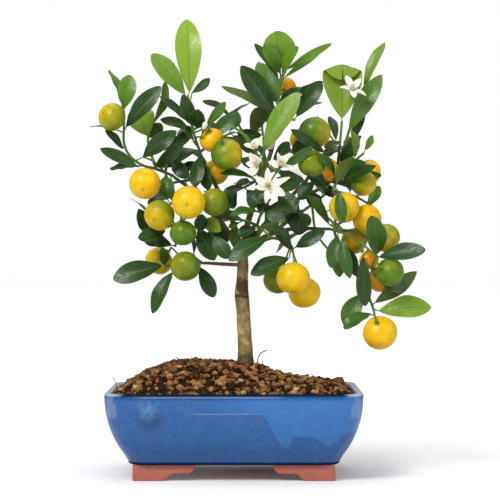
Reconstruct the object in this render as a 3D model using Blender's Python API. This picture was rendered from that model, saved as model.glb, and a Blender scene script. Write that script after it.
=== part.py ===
"""A citrus bonsai in flower and fruit, in its glazed pot, modelled at real size.

Metres, +Z up. X runs along the pot, and -Y is the front. Every place on the plant is read off
the front view as pixels across and down, with a depth in millimetres behind the pot's middle.
The origin is the middle of the bottom of the whole object's bounding box.
"""

import math
import random
from collections import namedtuple

import bmesh
import bpy
import numpy
from mathutils import Matrix, Vector, noise
from mathutils.bvhtree import BVHTree

MM = 0.001

# The front view: where the eye stands, and how large one pixel is at the pot's front face
PIXEL = 0.93 * MM
EYE_DISTANCE = 1700 * MM
EYE = Vector((15.2 * MM, -1790 * MM, 218.4 * MM))
PICTURE_MIDDLE = 250
PIXELS_PER_SLOPE = EYE_DISTANCE / PIXEL

# The pot
RIM_HEIGHT = 83.7 * MM
RIM_HALF_LENGTH = 122.5 * MM
RIM_HALF_WIDTH = 90 * MM
CORNER_RADIUS = 27 * MM
WALL = 7 * MM
FOOT_HEIGHT = 15 * MM
FLOOR_TOP = FOOT_HEIGHT + WALL
# How far the side stands in from the rim's outline, at each height
POT_SIDE = [
    (15.0, 22.9), (18.9, 21.4), (24.4, 18.3), (32.6, 12.9),
    (42.8, 7.8), (55.0, 3.5), (68.4, 0.8), (81.2, 0.0),
]
# The lip's outer edge as rings: how far in, and how far below the rim
LIP = ((0.6, 0.7), (2.2, 0.0))
LIP_ROUND = 2.2 * MM
# How far the floor's edge stands in from the wall, where the inside is rounded
FLOOR_ROUND = 4 * MM
DRAIN_RADIUS = 9 * MM
DRAIN_OFFSET = 52 * MM
DRAIN_SIDES = 14
# The heights of the rings that make the pot's inside
INSIDE_HEIGHTS = (68, 43, 25.5)
# How much of its inset a ring's corners lose from their radius, and the least radius that is left
CORNER_LOSS = 0.4
LEAST_CORNER = 6 * MM
# One foot's face, along the side and up from the table
FOOT_FACE = [
    (0.0, 0.0), (28.6, 0.0), (31.5, 1.9), (36.2, 6.3),
    (54.0, 6.8), (57.4, 10.2), (60.5, 16.0), (0.0, 16.0),
]
FOOT_THICKNESS = 11 * MM
FOOT_INSET = 26.6 * MM
# The side leg of a foot is set in by this much, so that no two faces lie in one plane
FOOT_STEP = 0.4 * MM
SIDE_FOOT_SHARE = 0.78

# What lies in the pot
GAP = 0.35 * MM
SOIL_EDGE = 78.2 * MM
MOUND_RISE = 28 * MM
# The mound is fuller on the left: how its slope leans, and a hump there
LEAN_MIDDLE, LEAN_PER_METRE = 1.4, 4.8
HUMP_PLACE, HUMP_RISE, HUMP_REACH = Vector((-46 * MM, -4 * MM, 0)), 1.6 * MM, 30 * MM
# How high the mound stands at shares of the way in, on its lower right half
RIGHT_SLOPE = ((0.0, 0.2, 0.4, 0.65, 0.8, 0.9, 1.0), (0.0, 0.27, 0.39, 0.54, 0.70, 0.89, 1.0))
RIGHT_FROM = 24 * MM
# Crumbs on the mound, as waves per metre and heights in mm
CRUMB_WAVES = ((110, 2.4), (260, 1.3))
MOUND_RINGS = 9
MOUND_SIDES = (2, 6, 4)
LOW_SOIL, MIDDLE_SOIL = 25.5 * MM, 42 * MM
LUMPS = 14
LUMP_SIZE = (3.5 * MM, 6.0 * MM)
LUMP_FIELD = (100 * MM, 72 * MM)
SOIL_TO_WALL = 0.5 * MM
TRUNK_FOOT = (245.6, 0.0)
STEM_HOLE_RADIUS = 9.2 * MM
STEM_RADIUS = 8.4 * MM
STEM_DEPTH = 30 * MM
MESH_SIZE = 25 * MM
MESH_BARS = 3
MESH_BAR = 1.1 * MM

# Leaves, stalks and blooms
BLADE = 0.75 * MM
BLADE_STATIONS = [(0.30, 0.88), (0.68, 0.92)]
PETIOLE_HALF = 0.6 * MM
TWIG_RADIUS = 1.5 * MM
STALK_RADIUS = 0.9 * MM
STEM_SIDES = 4
LIMB_SIDES = 5
TRUNK_SIDES = 8
ROOT_PITCH = 2.2 * MM
STALK_REACHES = (5, 8, 3.5, 12, 16)
SHORTEST_PETIOLE = 4 * MM
CALYX_RADIUS = 2.6 * MM
BLOOM_CALYX_RADIUS = 1.4 * MM
FRUIT_SQUASH = 0.94
CLEARANCE = 0.45 * MM
PETAL_WIDTH = 5.2 * MM

Leaf = namedtuple("Leaf", "base tip width roll")
Blade = namedtuple("Blade", "root base tip width axes arch fold")
Stem = namedtuple("Stem", "points radii")
Fruit = namedtuple("Fruit", "name spray across down depth size stem peel")
Bloom = namedtuple("Bloom", "name spray across down depth facing petal kind")

# The trunk, from under the soil up: across, down, depth, radius in millimetres
TRUNK = [
    (245.6, 362.0, 0, 8.4), (245.4, 356.0, 0, 7.6), (245.0, 345.0, 0, 7.1), (244.2, 330.0, 0, 6.9),
    (243.2, 312.0, 0, 6.8), (241.9, 298.0, 0, 7.0), (241.8, 291.0, 0, 6.6), (242.3, 280.0, 0, 5.6),
    (242.8, 266.0, 0, 5.5), (243.0, 256.0, 0, 5.0), (244.5, 240.0, 3, 3.9),
]
# The limbs: a route in across, down, depth, then the radius at each end in millimetres
LIMBS = {
    "left_low": ([(242, 265, 0), (222, 264, -3), (205, 263, -8)], 2.0, 1.5),
    "left_up": ([(243, 262, 0), (232, 240, -2), (215, 217, -8), (200, 200, -13)], 3.0, 1.6),
    "left_outer": ([(217, 220, -7), (196, 194, -6), (174, 177, -12)], 2.1, 1.5),
    "crown_left": ([(243, 258, 0), (234, 225, 6), (219, 192, 2), (207, 169, -7)], 3.2, 1.6),
    "crown_centre": ([(244, 246, 2), (248, 222, 9), (260, 185, 12), (271, 152, 9), (276, 131, 5)], 3.6, 1.6),
    "flowering": ([(252, 210, 9), (256, 196, -10), (257, 182, -26)], 2.0, 1.4),
    "crown_right": ([(243, 257, 1), (262, 228, 12), (286, 202, 15), (303, 184, 8)], 3.4, 1.6),
    "right_crest": ([(284, 204, 15), (312, 193, 12), (334, 178, 4)], 2.2, 1.5),
    "right": ([(243, 256, 0), (262, 238, 2), (292, 229, -5), (325, 229, -14)], 2.9, 1.6),
    "low": ([(257, 243, 1), (274, 238, -13), (289, 245, -23)], 1.8, 1.4),
    "inner": ([(246, 236, 4), (251, 228, -12), (256, 226, -25)], 1.8, 1.4),
    "back_left": ([(243, 255, 2), (226, 228, 28), (206, 200, 50)], 2.8, 1.5),
    "back_centre": ([(244, 248, 2), (250, 214, 30), (262, 176, 54)], 2.8, 1.5),
    "back_right": ([(244, 256, 2), (276, 230, 32), (310, 206, 56)], 2.8, 1.5),
}
# The green twigs of each spray. The first twig grows on from the limb of the same name.
TWIGS = {
    "left_low": [
        [(205, 263, -8), (192, 257, -14), (178, 261, -19), (167, 267, -24)],
    ],
    "left_up": [
        [(200, 200, -13), (192, 212, -20), (180, 222, -22), (165, 228, -20), (152, 231, -20)],
        [(192, 212, -20), (201, 219, -24), (206, 228, -24)],
        [(180, 222, -22), (178, 236, -20), (175, 247, -19)],
    ],
    "left_outer": [
        [(174, 177, -12), (156, 169, -18), (142, 165, -22), (130, 156, -22), (124, 143, -21),
         (124, 126, -20), (124, 111, -20)],
        [(156, 169, -18), (150, 150, -12), (148, 138, -11), (152, 126, -8)],
        [(165, 173, -15), (168, 160, -8), (170, 148, -2)],
    ],
    "crown_left": [
        [(207, 169, -7), (200, 152, -14), (194, 134, -16), (190, 114, -14), (188, 95, -12)],
        [(200, 152, -14), (211, 144, -8), (222, 137, -2), (234, 132, 2)],
    ],
    "crown_centre": [
        [(276, 131, 5), (277, 114, 2), (279, 96, 0), (281, 76, -4)],
        [(277, 121, 3), (287, 119, -3), (295, 120, -8)],
        [(278, 104, 1), (285, 96, -2), (290, 92, -3)],
    ],
    "flowering": [
        [(257, 182, -26), (261, 170, -38), (263, 160, -44), (264, 154, -46)],
        [(261, 170, -38), (271, 167, -45), (277, 173, -50)],
        [(257, 182, -26), (268, 192, -32), (277, 190, -40)],
        [(257, 182, -26), (247, 186, -20), (237, 190, -14)],
    ],
    "crown_right": [
        [(303, 184, 8), (311, 173, -2), (322, 160, -8), (329, 150, -10), (335, 141, -8)],
        [(311, 173, -2), (300, 161, 0), (292, 151, 4)],
        [(311, 173, -2), (320, 182, -14), (327, 188, -26)],
        [(311, 173, -2), (303, 188, -6), (298, 203, -10), (294, 213, -12)],
    ],
    "right_crest": [
        [(334, 178, 4), (338, 161, 0), (340, 143, -2), (342, 121, -4)],
        [(338, 161, 0), (344, 147, 2), (349, 131, 4), (356, 111, 6), (363, 92, 8)],
        [(334, 178, 4), (348, 167, -6), (357, 159, -10), (364, 153, -10)],
        [(334, 178, 4), (346, 178, 6), (354, 174, 10)],
        [(334, 178, 4), (343, 181, -6), (349, 179, -15)],
    ],
    "right": [
        [(325, 230, -14), (334, 230, -18), (350, 236, -30), (366, 247, -40), (378, 259, -44)],
        [(334, 230, -18), (352, 231, -22), (364, 236, -21), (371, 244, -20)],
        [(334, 230, -18), (340, 223, -20), (350, 220, -24)],
        [(334, 230, -18), (339, 246, -13), (352, 268, -10), (366, 291, -18), (373, 308, -26), (375, 317, -32)],
        [(334, 230, -18), (336, 214, -14), (337, 199, -12), (333, 191, -28), (334, 187, -44)],
    ],
    "low": [
        [(289, 245, -23), (293, 252, -28), (294, 258, -34)],
    ],
    "inner": [
        [(256, 226, -25), (263, 230, -33), (271, 237, -40)],
        [(256, 226, -25), (260, 216, -28), (264, 209, -30)],
        [(256, 226, -25), (246, 221, -21), (233, 219, -16), (223, 221, -12)],
    ],
    "back_left": [
        [(206, 200, 50), (190, 180, 66), (178, 160, 78), (172, 138, 82)],
        [(206, 200, 50), (184, 196, 60), (168, 206, 72)],
        [(206, 200, 50), (213, 176, 76), (213, 148, 90), (212, 124, 96)],
        [(206, 200, 50), (214, 222, 68), (212, 240, 82)],
        [(190, 180, 66), (168, 184, 60), (152, 192, 52)],
    ],
    "back_centre": [
        [(262, 176, 54), (264, 150, 72), (262, 122, 80), (264, 96, 76)],
        [(262, 176, 54), (256, 180, 84), (250, 176, 106)],
        [(264, 150, 72), (280, 134, 88), (292, 112, 92)],
        [(262, 176, 54), (268, 204, 74), (270, 226, 92)],
        [(264, 150, 72), (246, 136, 56), (236, 120, 44)],
    ],
    "back_right": [
        [(310, 206, 56), (330, 190, 68), (346, 172, 72), (354, 150, 70)],
        [(310, 206, 56), (326, 216, 72), (340, 230, 84)],
        [(310, 206, 56), (312, 182, 82), (318, 156, 96)],
        [(310, 206, 56), (316, 232, 66), (330, 252, 74)],
        [(330, 190, 68), (354, 196, 52), (372, 206, 40)],
    ],
}
# The leaves that the front view shows: base and tip in across, down, depth; width in mm; roll
LEAVES = {
    "left_low": [
        Leaf((162, 265.5, -24), (113.4, 279.5, -30), 22, 0),
        Leaf((172.5, 272, -24), (152, 313, -32), 15, 15),
        Leaf((199.5, 267, -12), (214, 297, -16), 15, 10),
        Leaf((165, 265, -26), (162, 248, -42), 11, 20),
    ],
    "left_up": [
        Leaf((198, 229, -28), (214.5, 260.5, -34), 20, 5),
        Leaf((205, 219, -27), (221, 231, -44), 13, 30),
        Leaf((208, 230, -22), (229, 241, -36), 13, -20),
        Leaf((146, 233, -20), (138, 208.5, -36), 14, 15),
        Leaf((165, 231, -26), (138.5, 238.4, -42), 14, -20),
        Leaf((174, 249, -18), (143, 240, -28), 17, 10),
        Leaf((202, 214, -28), (199.7, 231, -46), 13, 0),
        Leaf((213, 236, -44), (229.5, 258, -52), 15, 10),
    ],
    "left_outer": [
        Leaf((138, 167, -24), (100.5, 148.5, -32), 12, -10),
        Leaf((139, 166, -22), (109.8, 168.6, -32), 10, 30),
        Leaf((126, 127, -24), (160.8, 86.5, -32), 18, 5),
        Leaf((126, 111, -20), (129.5, 75, -22), 18, 5),
        Leaf((123, 110, -18), (109, 70, -12), 12, 50),
        Leaf((149, 141, -10), (136.5, 106.5, -2), 27, 0),
        Leaf((153, 124, -6), (166.5, 81.4, -2), 12, 55),
        Leaf((143, 157, -26), (176.7, 131, -38), 17, 15),
        Leaf((154, 166, -20), (183.8, 143.3, -34), 13, 45),
        Leaf((123, 149, -22), (106, 130, -28), 11, 25),
        Leaf((122, 132, -16), (90, 127.5, -8), 7, 55),
        Leaf((169, 158, -6), (189, 178, -18), 14, 25),
        Leaf((166, 170, -18), (168, 198, -26), 16, 5),
        Leaf((170, 176, -14), (174, 203, -20), 8, 40),
        Leaf((147, 138, -4), (162, 124, 2), 13, 20),
        Leaf((153, 150, -8), (180, 138, 2), 12, 30),
        Leaf((158, 167, -10), (183, 156, 4), 13, 20),
    ],
    "crown_left": [
        Leaf((189.5, 92, -12), (186.5, 18.9, -8), 26, 0),
        Leaf((185, 94, -12), (151.8, 54.3, -14), 21, 5),
        Leaf((192, 93, -10), (209.9, 78.5, -4), 9, 35),
        Leaf((193, 126, -20), (182.5, 94.2, -30), 14, 0),
        Leaf((188, 122, -12), (159.5, 96.7, -14), 14, 35),
        Leaf((206, 126, -10), (225.5, 102, -4), 10, 30),
        Leaf((198, 128, -18), (198.4, 109, -46), 17, 0),
        Leaf((190, 130, -14), (160, 119.7, -22), 14, 20),
        Leaf((194, 142, -18), (184, 130, -46), 17, 0),
        Leaf((210, 138, -16), (236.7, 114.6, -20), 15, 10),
        Leaf((199, 155, -16), (194.6, 187.3, -30), 14, 0),
        Leaf((203, 158, -12), (208, 190, -20), 13, 10),
        Leaf((236, 133, 2), (262, 136, -4), 13, 40),
        Leaf((228, 134, 0), (238, 112, 6), 12, 30),
        Leaf((202, 160, -8), (178, 176, -2), 14, 20),
        Leaf((197, 150, -10), (176, 161, -4), 13, 20),
        Leaf((193, 132, -8), (176, 146, 2), 14, 10),
        Leaf((206, 162.5, -3), (195, 182, 9), 15, 0),
        Leaf((220, 138, 0), (204, 122, 10), 14, 15),
    ],
    "crown_centre": [
        Leaf((274, 113, -2), (240.5, 66, -12), 22, 0),
        Leaf((272, 114, 6), (221, 87, 10), 15, 30),
        Leaf((280, 78, -4), (253.9, 43.8, -14), 13, 25),
        Leaf((277, 106, 2), (258, 62, 6), 21, 0),
        Leaf((280, 68, -4), (276.5, 30.5, -26), 33, 0),
        Leaf((286, 70, -4), (331.8, 43.5, 0), 8, 20),
        Leaf((284, 78, -2), (321.5, 51, 8), 7, 20),
        Leaf((296, 119, -8), (321.5, 82.7, -14), 17, 5),
        Leaf((291, 90, -3), (322.7, 81.5, 6), 11, 60),
        Leaf((279, 103, -6), (301, 89.4, -18), 13, 20),
        Leaf((280, 73, -12), (264, 47, -30), 15, 0),
        Leaf((282, 74, -12), (297, 47, -28), 14, 0),
    ],
    "flowering": [
        Leaf((263, 151, -46), (299, 92.2, -56), 22, 5),
        Leaf((257, 178, -32), (220.7, 172.6, -54), 13, 30),
        Leaf((273, 162, -44), (289, 142, -38), 12, 25),
        Leaf((279, 168, -46), (313, 147, -60), 10, 45),
        Leaf((258, 156, -40), (232.2, 123.5, -44), 8, 50),
        Leaf((277, 191, -41), (296, 211, -54), 18, 5),
        Leaf((272, 189, -36), (301, 181, -44), 11, 40),
        Leaf((262, 188, -28), (249, 206, -34), 15, 10),
        Leaf((246, 186, -22), (221, 197, -26), 12, 20),
        Leaf((246, 187, -16), (263, 207, -8), 15, 10),
        Leaf((238, 190, -12), (229, 208, -4), 14, 10),
        Leaf((254, 181, -25), (233, 183, -8), 12, 30),
        Leaf((278, 172, -46), (303, 180, -52), 12, 30),
        Leaf((262, 172, -30), (241, 158, -26), 15, 10),
        Leaf((266, 160, -36), (246, 142, -30), 14, 20),
        Leaf((270, 186, -38), (257, 203, -26), 14, 10),
    ],
    "crown_right": [
        Leaf((324.5, 152.5, -44), (290.6, 128.8, -56), 14, 0),
        Leaf((336, 140, -8), (330, 115.5, -4), 10, 20),
        Leaf((335, 177, -28), (315.5, 153, -62), 12, 10),
        Leaf((341, 142, -6), (325, 147, -14), 9, 20),
        Leaf((326, 186, -26), (307, 172, -34), 14, 30),
        Leaf((317, 178, -8), (338, 166, 0), 13, 20),
        Leaf((314, 178, -8), (300, 200, -14), 15, 20),
        Leaf((301, 210, -14), (298, 235, -14), 18, 5),
        Leaf((297, 205, -10), (281, 221, -4), 14, 10),
        Leaf((302, 190, -8), (321, 206, -8), 14, 10),
        Leaf((297, 203, -10), (291, 228, -6), 14, 10),
    ],
    "right_crest": [
        Leaf((342.5, 119, -4), (342, 66.5, -14), 37, 0),
        Leaf((349, 130, 0), (381.5, 74.8, 6), 19, 5),
        Leaf((360.5, 92, 8), (384, 42, 12), 12, -25),
        Leaf((354, 140, 8), (360, 104, 18), 14, 5),
        Leaf((340, 163, -4), (359, 140, -14), 13, 10),
        Leaf((363.5, 155, -10), (372.5, 135.5, -12), 8, 40),
        Leaf((352.5, 160, -10), (352, 130, -18), 9, 30),
        Leaf((337, 150, 2), (322, 156, 6), 12, 10),
        Leaf((340, 171, -2), (366, 163, -12), 13, 25),
        Leaf((343, 181, -6), (374, 166, -32), 14, 30),
        Leaf((356, 176, 0), (381.5, 175, -22), 9, 40),
        Leaf((352, 178, -20), (359.5, 201, -42), 13, 0),
    ],
    "right": [
        Leaf((336, 234, -22), (331, 267.5, -32), 15, 0),
        Leaf((339, 242, -12), (339.5, 277, -8), 14, 10),
        Leaf((342, 238, -26), (350, 278, -32), 13, 15),
        Leaf((346, 245, -18), (356, 276, -16), 13, 10),
        Leaf((363, 256, -36), (365, 306, -36), 15, 5),
        Leaf((362, 294, -22), (344, 324.5, -30), 19, 0),
        Leaf((371, 314, -30), (344, 327.5, -42), 15, 20),
        Leaf((379, 311, -30), (431, 307.5, -36), 23, 0),
        Leaf((373, 302, -24), (417, 271.5, -12), 16, 30),
        Leaf((379, 257, -46), (425.6, 250, -58), 18, 0),
        Leaf((377, 254, -36), (371.5, 217, -68), 20, 0),
        Leaf((371, 270, -30), (406.5, 290, -32), 20, 5),
        Leaf((338.5, 191, -50), (343, 222.5, -56), 12, 10),
        Leaf((329, 224, -20), (307.6, 195, -36), 13, 20),
        Leaf((337, 200, -10), (318, 186, -4), 14, 15),
        Leaf((367, 207, -8), (379.5, 186, 2), 11, 10),
    ],
    "low": [
        Leaf((292, 252, -30), (273.5, 225.5, -40), 16, 20),
        Leaf((296, 249, -26), (324.8, 231.4, -34), 14, 10),
        Leaf((289, 258, -34), (250.8, 273.5, -42), 18, 5),
    ],
    "inner": [
        Leaf((271, 239, -42), (229, 259.5, -54), 18, 5),
        Leaf((262, 209, -32), (230.3, 214.2, -48), 13, 30),
        Leaf((259, 229, -30), (238, 236, -40), 14, 20),
        Leaf((264, 206, -32), (285, 222, -46), 16, 15),
        Leaf((266, 210, -26), (296, 206, -20), 15, 20),
        Leaf((248, 221, -22), (214, 216, -10), 14, 25),
        Leaf((224, 221, -12), (210, 242, -6), 13, 10),
        Leaf((234, 221, -14), (237, 249, -6), 12, 25),
        Leaf((263, 231, -33), (244, 241, -24), 12, 20),
        Leaf((266, 208, -34), (275, 230, -28), 15, 0),
        Leaf((245, 222, -22), (229, 228, -18), 8, 30),
    ],
}
# The fruit: spray, centre across and down, depth, diameter in pixels, where the stem end points, peel
FRUITS = [
    Fruit("fruit_01", "left_outer", 112, 117, -34, 28, (0.6, -0.3, -0.7), "turning"),
    Fruit("fruit_02", "left_outer", 145, 183.6, -40, 31.8, (0.1, 0.42, -0.85), "yellow"),
    Fruit("fruit_03", "left_up", 159.5, 215.3, -46, 30.8, (0.3, 0.28, -0.85), "yellow"),
    Fruit("fruit_04", "left_up", 188.6, 202.4, -62, 33.6, (0.1, 0.16, -0.95), "yellow"),
    Fruit("fruit_05", "left_up", 214.4, 202.2, -40, 27.8, (-0.1, 0.15, -0.95), "green"),
    Fruit("fruit_06", "left_up", 183, 233, -48, 26.5, (-0.1, 0.9, 0.3), "green"),
    Fruit("fruit_07", "left_low", 185.3, 266.3, -42, 30, (0.2, 0.3, -0.9), "green"),
    Fruit("fruit_08", "left_low", 159, 261, -2, 28, (0.5, 0.5, -0.1), "turning"),
    Fruit("fruit_09", "crown_left", 212, 140, -24, 25, (-0.2, 0.7, 0.7), "orange"),
    Fruit("fruit_10", "crown_left", 226.6, 154, -50, 32, (-0.3, 0.7, 0.6), "turning"),
    Fruit("fruit_11", "crown_left", 216, 172, 10, 26, (-0.6, 0.2, 0.8), "green"),
    Fruit("fruit_12", "crown_centre", 286.5, 87.5, 12, 20, (-0.3, -0.4, 0.9), "orange"),
    Fruit("fruit_13", "crown_right", 314.8, 132.4, -35, 32, (0.2, 0.7, -0.6), "turning"),
    Fruit("fruit_14", "crown_right", 300.5, 139.5, -8, 22, (-0.4, 0.3, -0.8), "turning"),
    Fruit("fruit_15", "crown_right", 311.5, 163.3, -44, 28, (0.3, 0.7, -0.6), "green"),
    Fruit("fruit_16", "crown_right", 326, 169.5, -20, 25, (-0.2, 0.6, -0.7), "orange"),
    Fruit("fruit_17", "right_crest", 368.5, 172.5, 6, 26, (-0.7, 0.4, -0.3), "yellow"),
    Fruit("fruit_18", "right_crest", 363.8, 183.6, -20, 26, (-0.5, 0.7, -0.3), "yellow"),
    Fruit("fruit_19", "right", 344.2, 207.2, -32, 31, (-0.4, 0.6, -0.6), "yellow"),
    Fruit("fruit_20", "right", 367, 219.3, -48, 30, (-0.7, 0.0, -0.7), "yellow"),
    Fruit("fruit_21", "right", 354.3, 241, -26, 27, (-0.6, 0.6, -0.2), "turning"),
    Fruit("fruit_22", "right", 386.5, 238, -32, 28.5, (-0.8, 0.2, -0.2), "turning"),
    Fruit("fruit_23", "right", 389.7, 272.3, -48, 29, (-0.65, 0.35, 0.65), "green"),
    Fruit("fruit_24", "right", 381, 278.6, -14, 28, (-0.5, 0.7, -0.2), "orange"),
    Fruit("fruit_25", "right", 369, 260, -24, 20, (-0.6, 0.8, -0.1), "orange"),
    Fruit("fruit_26", "right", 380, 332.8, -42, 34.6, (-0.25, 0.65, 0.72), "yellow"),
    Fruit("fruit_27", "low", 293.2, 278.2, -50, 33.6, (0.05, 1.0, -0.5), "yellow"),
    Fruit("fruit_28", "low", 304.4, 292.6, -18, 32.4, (-0.2, 1.0, -0.2), "yellow"),
    Fruit("fruit_29", "low", 277, 280.6, -20, 27.5, (0.4, 0.9, -0.2), "green"),
    Fruit("fruit_30", "back_left", 188, 204, 90, 30, (-0.1, 0.9, -0.3), "yellow"),
    Fruit("fruit_31", "back_centre", 228, 157, 100, 29, (0.3, 0.8, -0.3), "orange"),
    Fruit("fruit_32", "back_right", 345, 209, 90, 29, (-0.4, 0.8, -0.3), "yellow"),
]
# The blooms: spray, base across and down, depth, which way the mouth faces, petal length, kind
BLOOMS = [
    Bloom("bloom_1", "flowering", 268, 186, -62, (0.05, -0.05, 1.0), 14.5, "open"),
    Bloom("bloom_2", "flowering", 280, 167, -62, (0.25, 0.75, 0.6), 14.0, "open"),
    Bloom("bloom_3", "flowering", 256, 150, -56, (-0.35, 0.85, 0.35), 12.5, "cup"),
    Bloom("bloom_4", "flowering", 259, 165, -54, (-0.6, 0.1, 0.8), 12.0, "cup"),
    Bloom("bloom_5", "flowering", 270, 152, -36, (0.27, 0.95, 0.0), 17.0, "bud"),
    Bloom("bloom_6", "right_crest", 352, 91, -18, (0.15, 0.75, 0.65), 14.0, "open"),
    Bloom("bloom_7", "crown_centre", 286, 68, -18, (0.2, 1.0, 0.1), 12.0, "bud"),
    Bloom("bloom_8", "crown_left", 203, 131, -36, (0.3, 0.9, 0.3), 10.0, "bud"),
]
PETALS = 5
# How wide each kind of bloom opens, in degrees from its axis
OPENING = {"open": 78, "cup": 42}

PEELS = {
    "yellow": (0.94, 0.52, 0.015),
    "orange": (0.90, 0.30, 0.008),
    "turning": (0.48, 0.42, 0.020),
    "green": (0.12, 0.23, 0.012),
}
LEAF_GREEN = (0.045, 0.14, 0.025)
# How much of the way from a leaf's root to the blade's wide part may touch its own spray
FOOT_SHARE = 0.42
FILL_PER_TWIG = 2
FILL_LENGTH = (34 * MM, 46 * MM)
FILL_SHARE = 0.42
# The round of the crown that filling leaves keep to, in pixels of the front view
CROWN_MIDDLE, CROWN_REACH = (247, 160), (128, 98)
# Sprays that have every leaf that they need from the table
FULL_SPRAYS = ("left_outer", "crown_centre", "right_crest", "low")
GOLDEN_ANGLE = math.radians(137.5)
GUIDE = Vector((0.31, 0.77, 0.55))
SEED = 11
FLAT_ANGLE = math.radians(0.5)


def seen(across, down, depth):
    """The point on the sight line through a pixel of the front view, at a depth in millimetres."""
    step = (depth * MM - EYE.y) / PIXELS_PER_SLOPE
    middle = PICTURE_MIDDLE
    return Vector((EYE.x + (across - middle) * step, depth * MM, EYE.z + (middle - down) * step))


def lofted(rings):
    """Vertices and faces of the closed skin through rings of points. A ring of one point is a pole."""
    points = [p for ring in rings for p in ring]
    starts = [sum(len(r) for r in rings[:k]) for k in range(len(rings))]
    faces = []
    for k, (low, high) in enumerate(zip(rings, rings[1:])):
        a, b, n = starts[k], starts[k + 1], max(len(low), len(high))
        for i in range(n):
            j = (i + 1) % n
            if len(low) == 1:
                faces.append((a, b + i, b + j))
            elif len(high) == 1:
                faces.append((a + j, a + i, b))
            else:
                faces.append((a + j, a + i, b + i))
                faces.append((a + j, b + i, b + j))
    if len(rings[0]) > 1:
        faces.append(tuple(range(len(rings[0]))))
    if len(rings[-1]) > 1:
        faces.append(tuple(starts[-1] + i for i in reversed(range(len(rings[-1])))))
    return points, faces


def circle(centre, axis, radius, sides, guide=GUIDE):
    """A ring of points round an axis, the first of them on the guide's side."""
    axis = axis.normalized()
    u = (guide - axis * guide.dot(axis)).normalized()
    v = axis.cross(u)
    turns = [math.tau * k / sides for k in range(sides)]
    return [centre + (u * math.cos(t) + v * math.sin(t)) * radius for t in turns]


def tube(points, radii, sides):
    """A round stem through points, closed at both ends."""
    rings = []
    guide = GUIDE
    for k, point in enumerate(points):
        axis = points[min(k + 1, len(points) - 1)] - points[max(k - 1, 0)]
        rings.append(circle(point, axis, radii[k], sides, guide))
        guide = (rings[-1][0] - point).normalized()
    return lofted(rings)


def tapered(points, first, last):
    """A stem that changes evenly from one radius to another along a route."""
    share = [k / (len(points) - 1) for k in range(len(points))]
    return Stem(points, [first + (last - first) * s for s in share])


def leaf_axes(base, tip, roll):
    """Unit vectors of a leaf: along it, across it, and up off its face, which turns to the front."""
    along = (tip - base).normalized()
    towards = Vector((0.0, -1.0, 0.45))
    face = (towards - along * towards.dot(along)).normalized()
    face = Matrix.Rotation(math.radians(roll), 3, along) @ face
    return along, along.cross(face).normalized(), face


def blade_rings(leaf, grow=0.0):
    """A placed leaf's four cross-sections: at its root, at two places along the blade, at its tip."""
    along, across, face = leaf.axes
    length = (leaf.tip - leaf.base).length
    thick = face * (BLADE / 2 + grow)
    rows = [(leaf.root, PETIOLE_HALF + grow, 0.0)]
    for t, share in BLADE_STATIONS:
        rib = leaf.base + along * length * t + face * leaf.arch * length * 4 * t * (1 - t)
        rows.append((rib, leaf.width / 2 * share + grow, leaf.fold))
    rows.append((leaf.tip + along * grow, 0.25 * MM + grow, 0.0))
    rings = []
    for middle, half, fold in rows:
        side, edge = across * half, face * fold * half
        upper = [middle - side + edge + thick, middle + thick, middle + side + edge + thick]
        rings.append([*upper, *[p - thick * 2 for p in reversed(upper)]])
    return rings


def leaf_solid(leaf):
    """A citrus leaf as a closed thin solid: a stalk from the root, then an arched, folded blade."""
    root, near, far, tip = blade_rings(leaf)
    points = [root[0], root[2], root[4] - (root[1] - root[4]) * 0.3, *near, *far, tip[1], tip[4]]
    s, q, e = 3, 9, 15
    faces = [(0, 2, 1)]
    faces += [(0, s + 1, s), (0, 1, s + 1), (1, s + 2, s + 1), (1, s + 3, s + 2), (1, 2, s + 3)]
    faces += [(2, s + 4, s + 3), (2, s + 5, s + 4), (2, 0, s + 5), (0, s, s + 5)]
    for k in range(6):
        j = (k + 1) % 6
        faces += [(s + k, s + j, q + k), (s + j, q + j, q + k)]
    faces += [(q, q + 1, e), (q + 1, q + 2, e), (q + 2, q + 3, e), (q + 3, e + 1, e)]
    faces += [(q + 3, q + 4, e + 1), (q + 4, q + 5, e + 1), (q + 5, q, e + 1), (q, e, e + 1)]
    return points, faces


def tree_of(shape):
    return BVHTree.FromPolygons([tuple(p) for p in shape[0]], [tuple(f) for f in shape[1]])


class Room:
    """What has been placed so far, each as a search tree with a sphere round it."""

    def __init__(self):
        self.placed = []

    def add(self, shape, owner, kind):
        centre = sum(shape[0], Vector()) / len(shape[0])
        reach = max((p - centre).length for p in shape[0])
        self.placed.append((tree_of(shape), centre, reach, owner, kind))

    def is_clear(self, shape, owner=None, skipped=()):
        """True if the shape touches nothing, apart from the kinds skipped of its own spray."""
        centre = sum(shape[0], Vector()) / len(shape[0])
        reach = max((p - centre).length for p in shape[0])
        tree = tree_of(shape)
        for other, middle, span, other_owner, kind in self.placed:
            if other_owner == owner and kind in skipped:
                continue
            if (middle - centre).length > span + reach:
                continue
            inside = kind == "fruit" and any((p - middle).length < span * 0.9 for p in shape[0])
            if inside or tree.overlap(other):
                return False
        return True


def fruit_direction(stem):
    """A stem end's direction, given as right, up and towards the front."""
    return Vector((stem[0], -stem[2], stem[1])).normalized()


def fruit_shape(centre, radius, stem, sectors=8):
    """A slightly flat round fruit with a dimple at each end. Its axis runs to its stem."""
    rings = [[centre + stem * radius * (FRUIT_SQUASH - 0.03)]]
    for angle in (30, 70, 110, 150):
        a = math.radians(angle)
        middle = centre + stem * radius * FRUIT_SQUASH * math.cos(a)
        rings.append(circle(middle, stem, radius * math.sin(a), sectors))
    rings.append([centre - stem * radius * (FRUIT_SQUASH - 0.02)])
    return lofted(rings)


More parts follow.
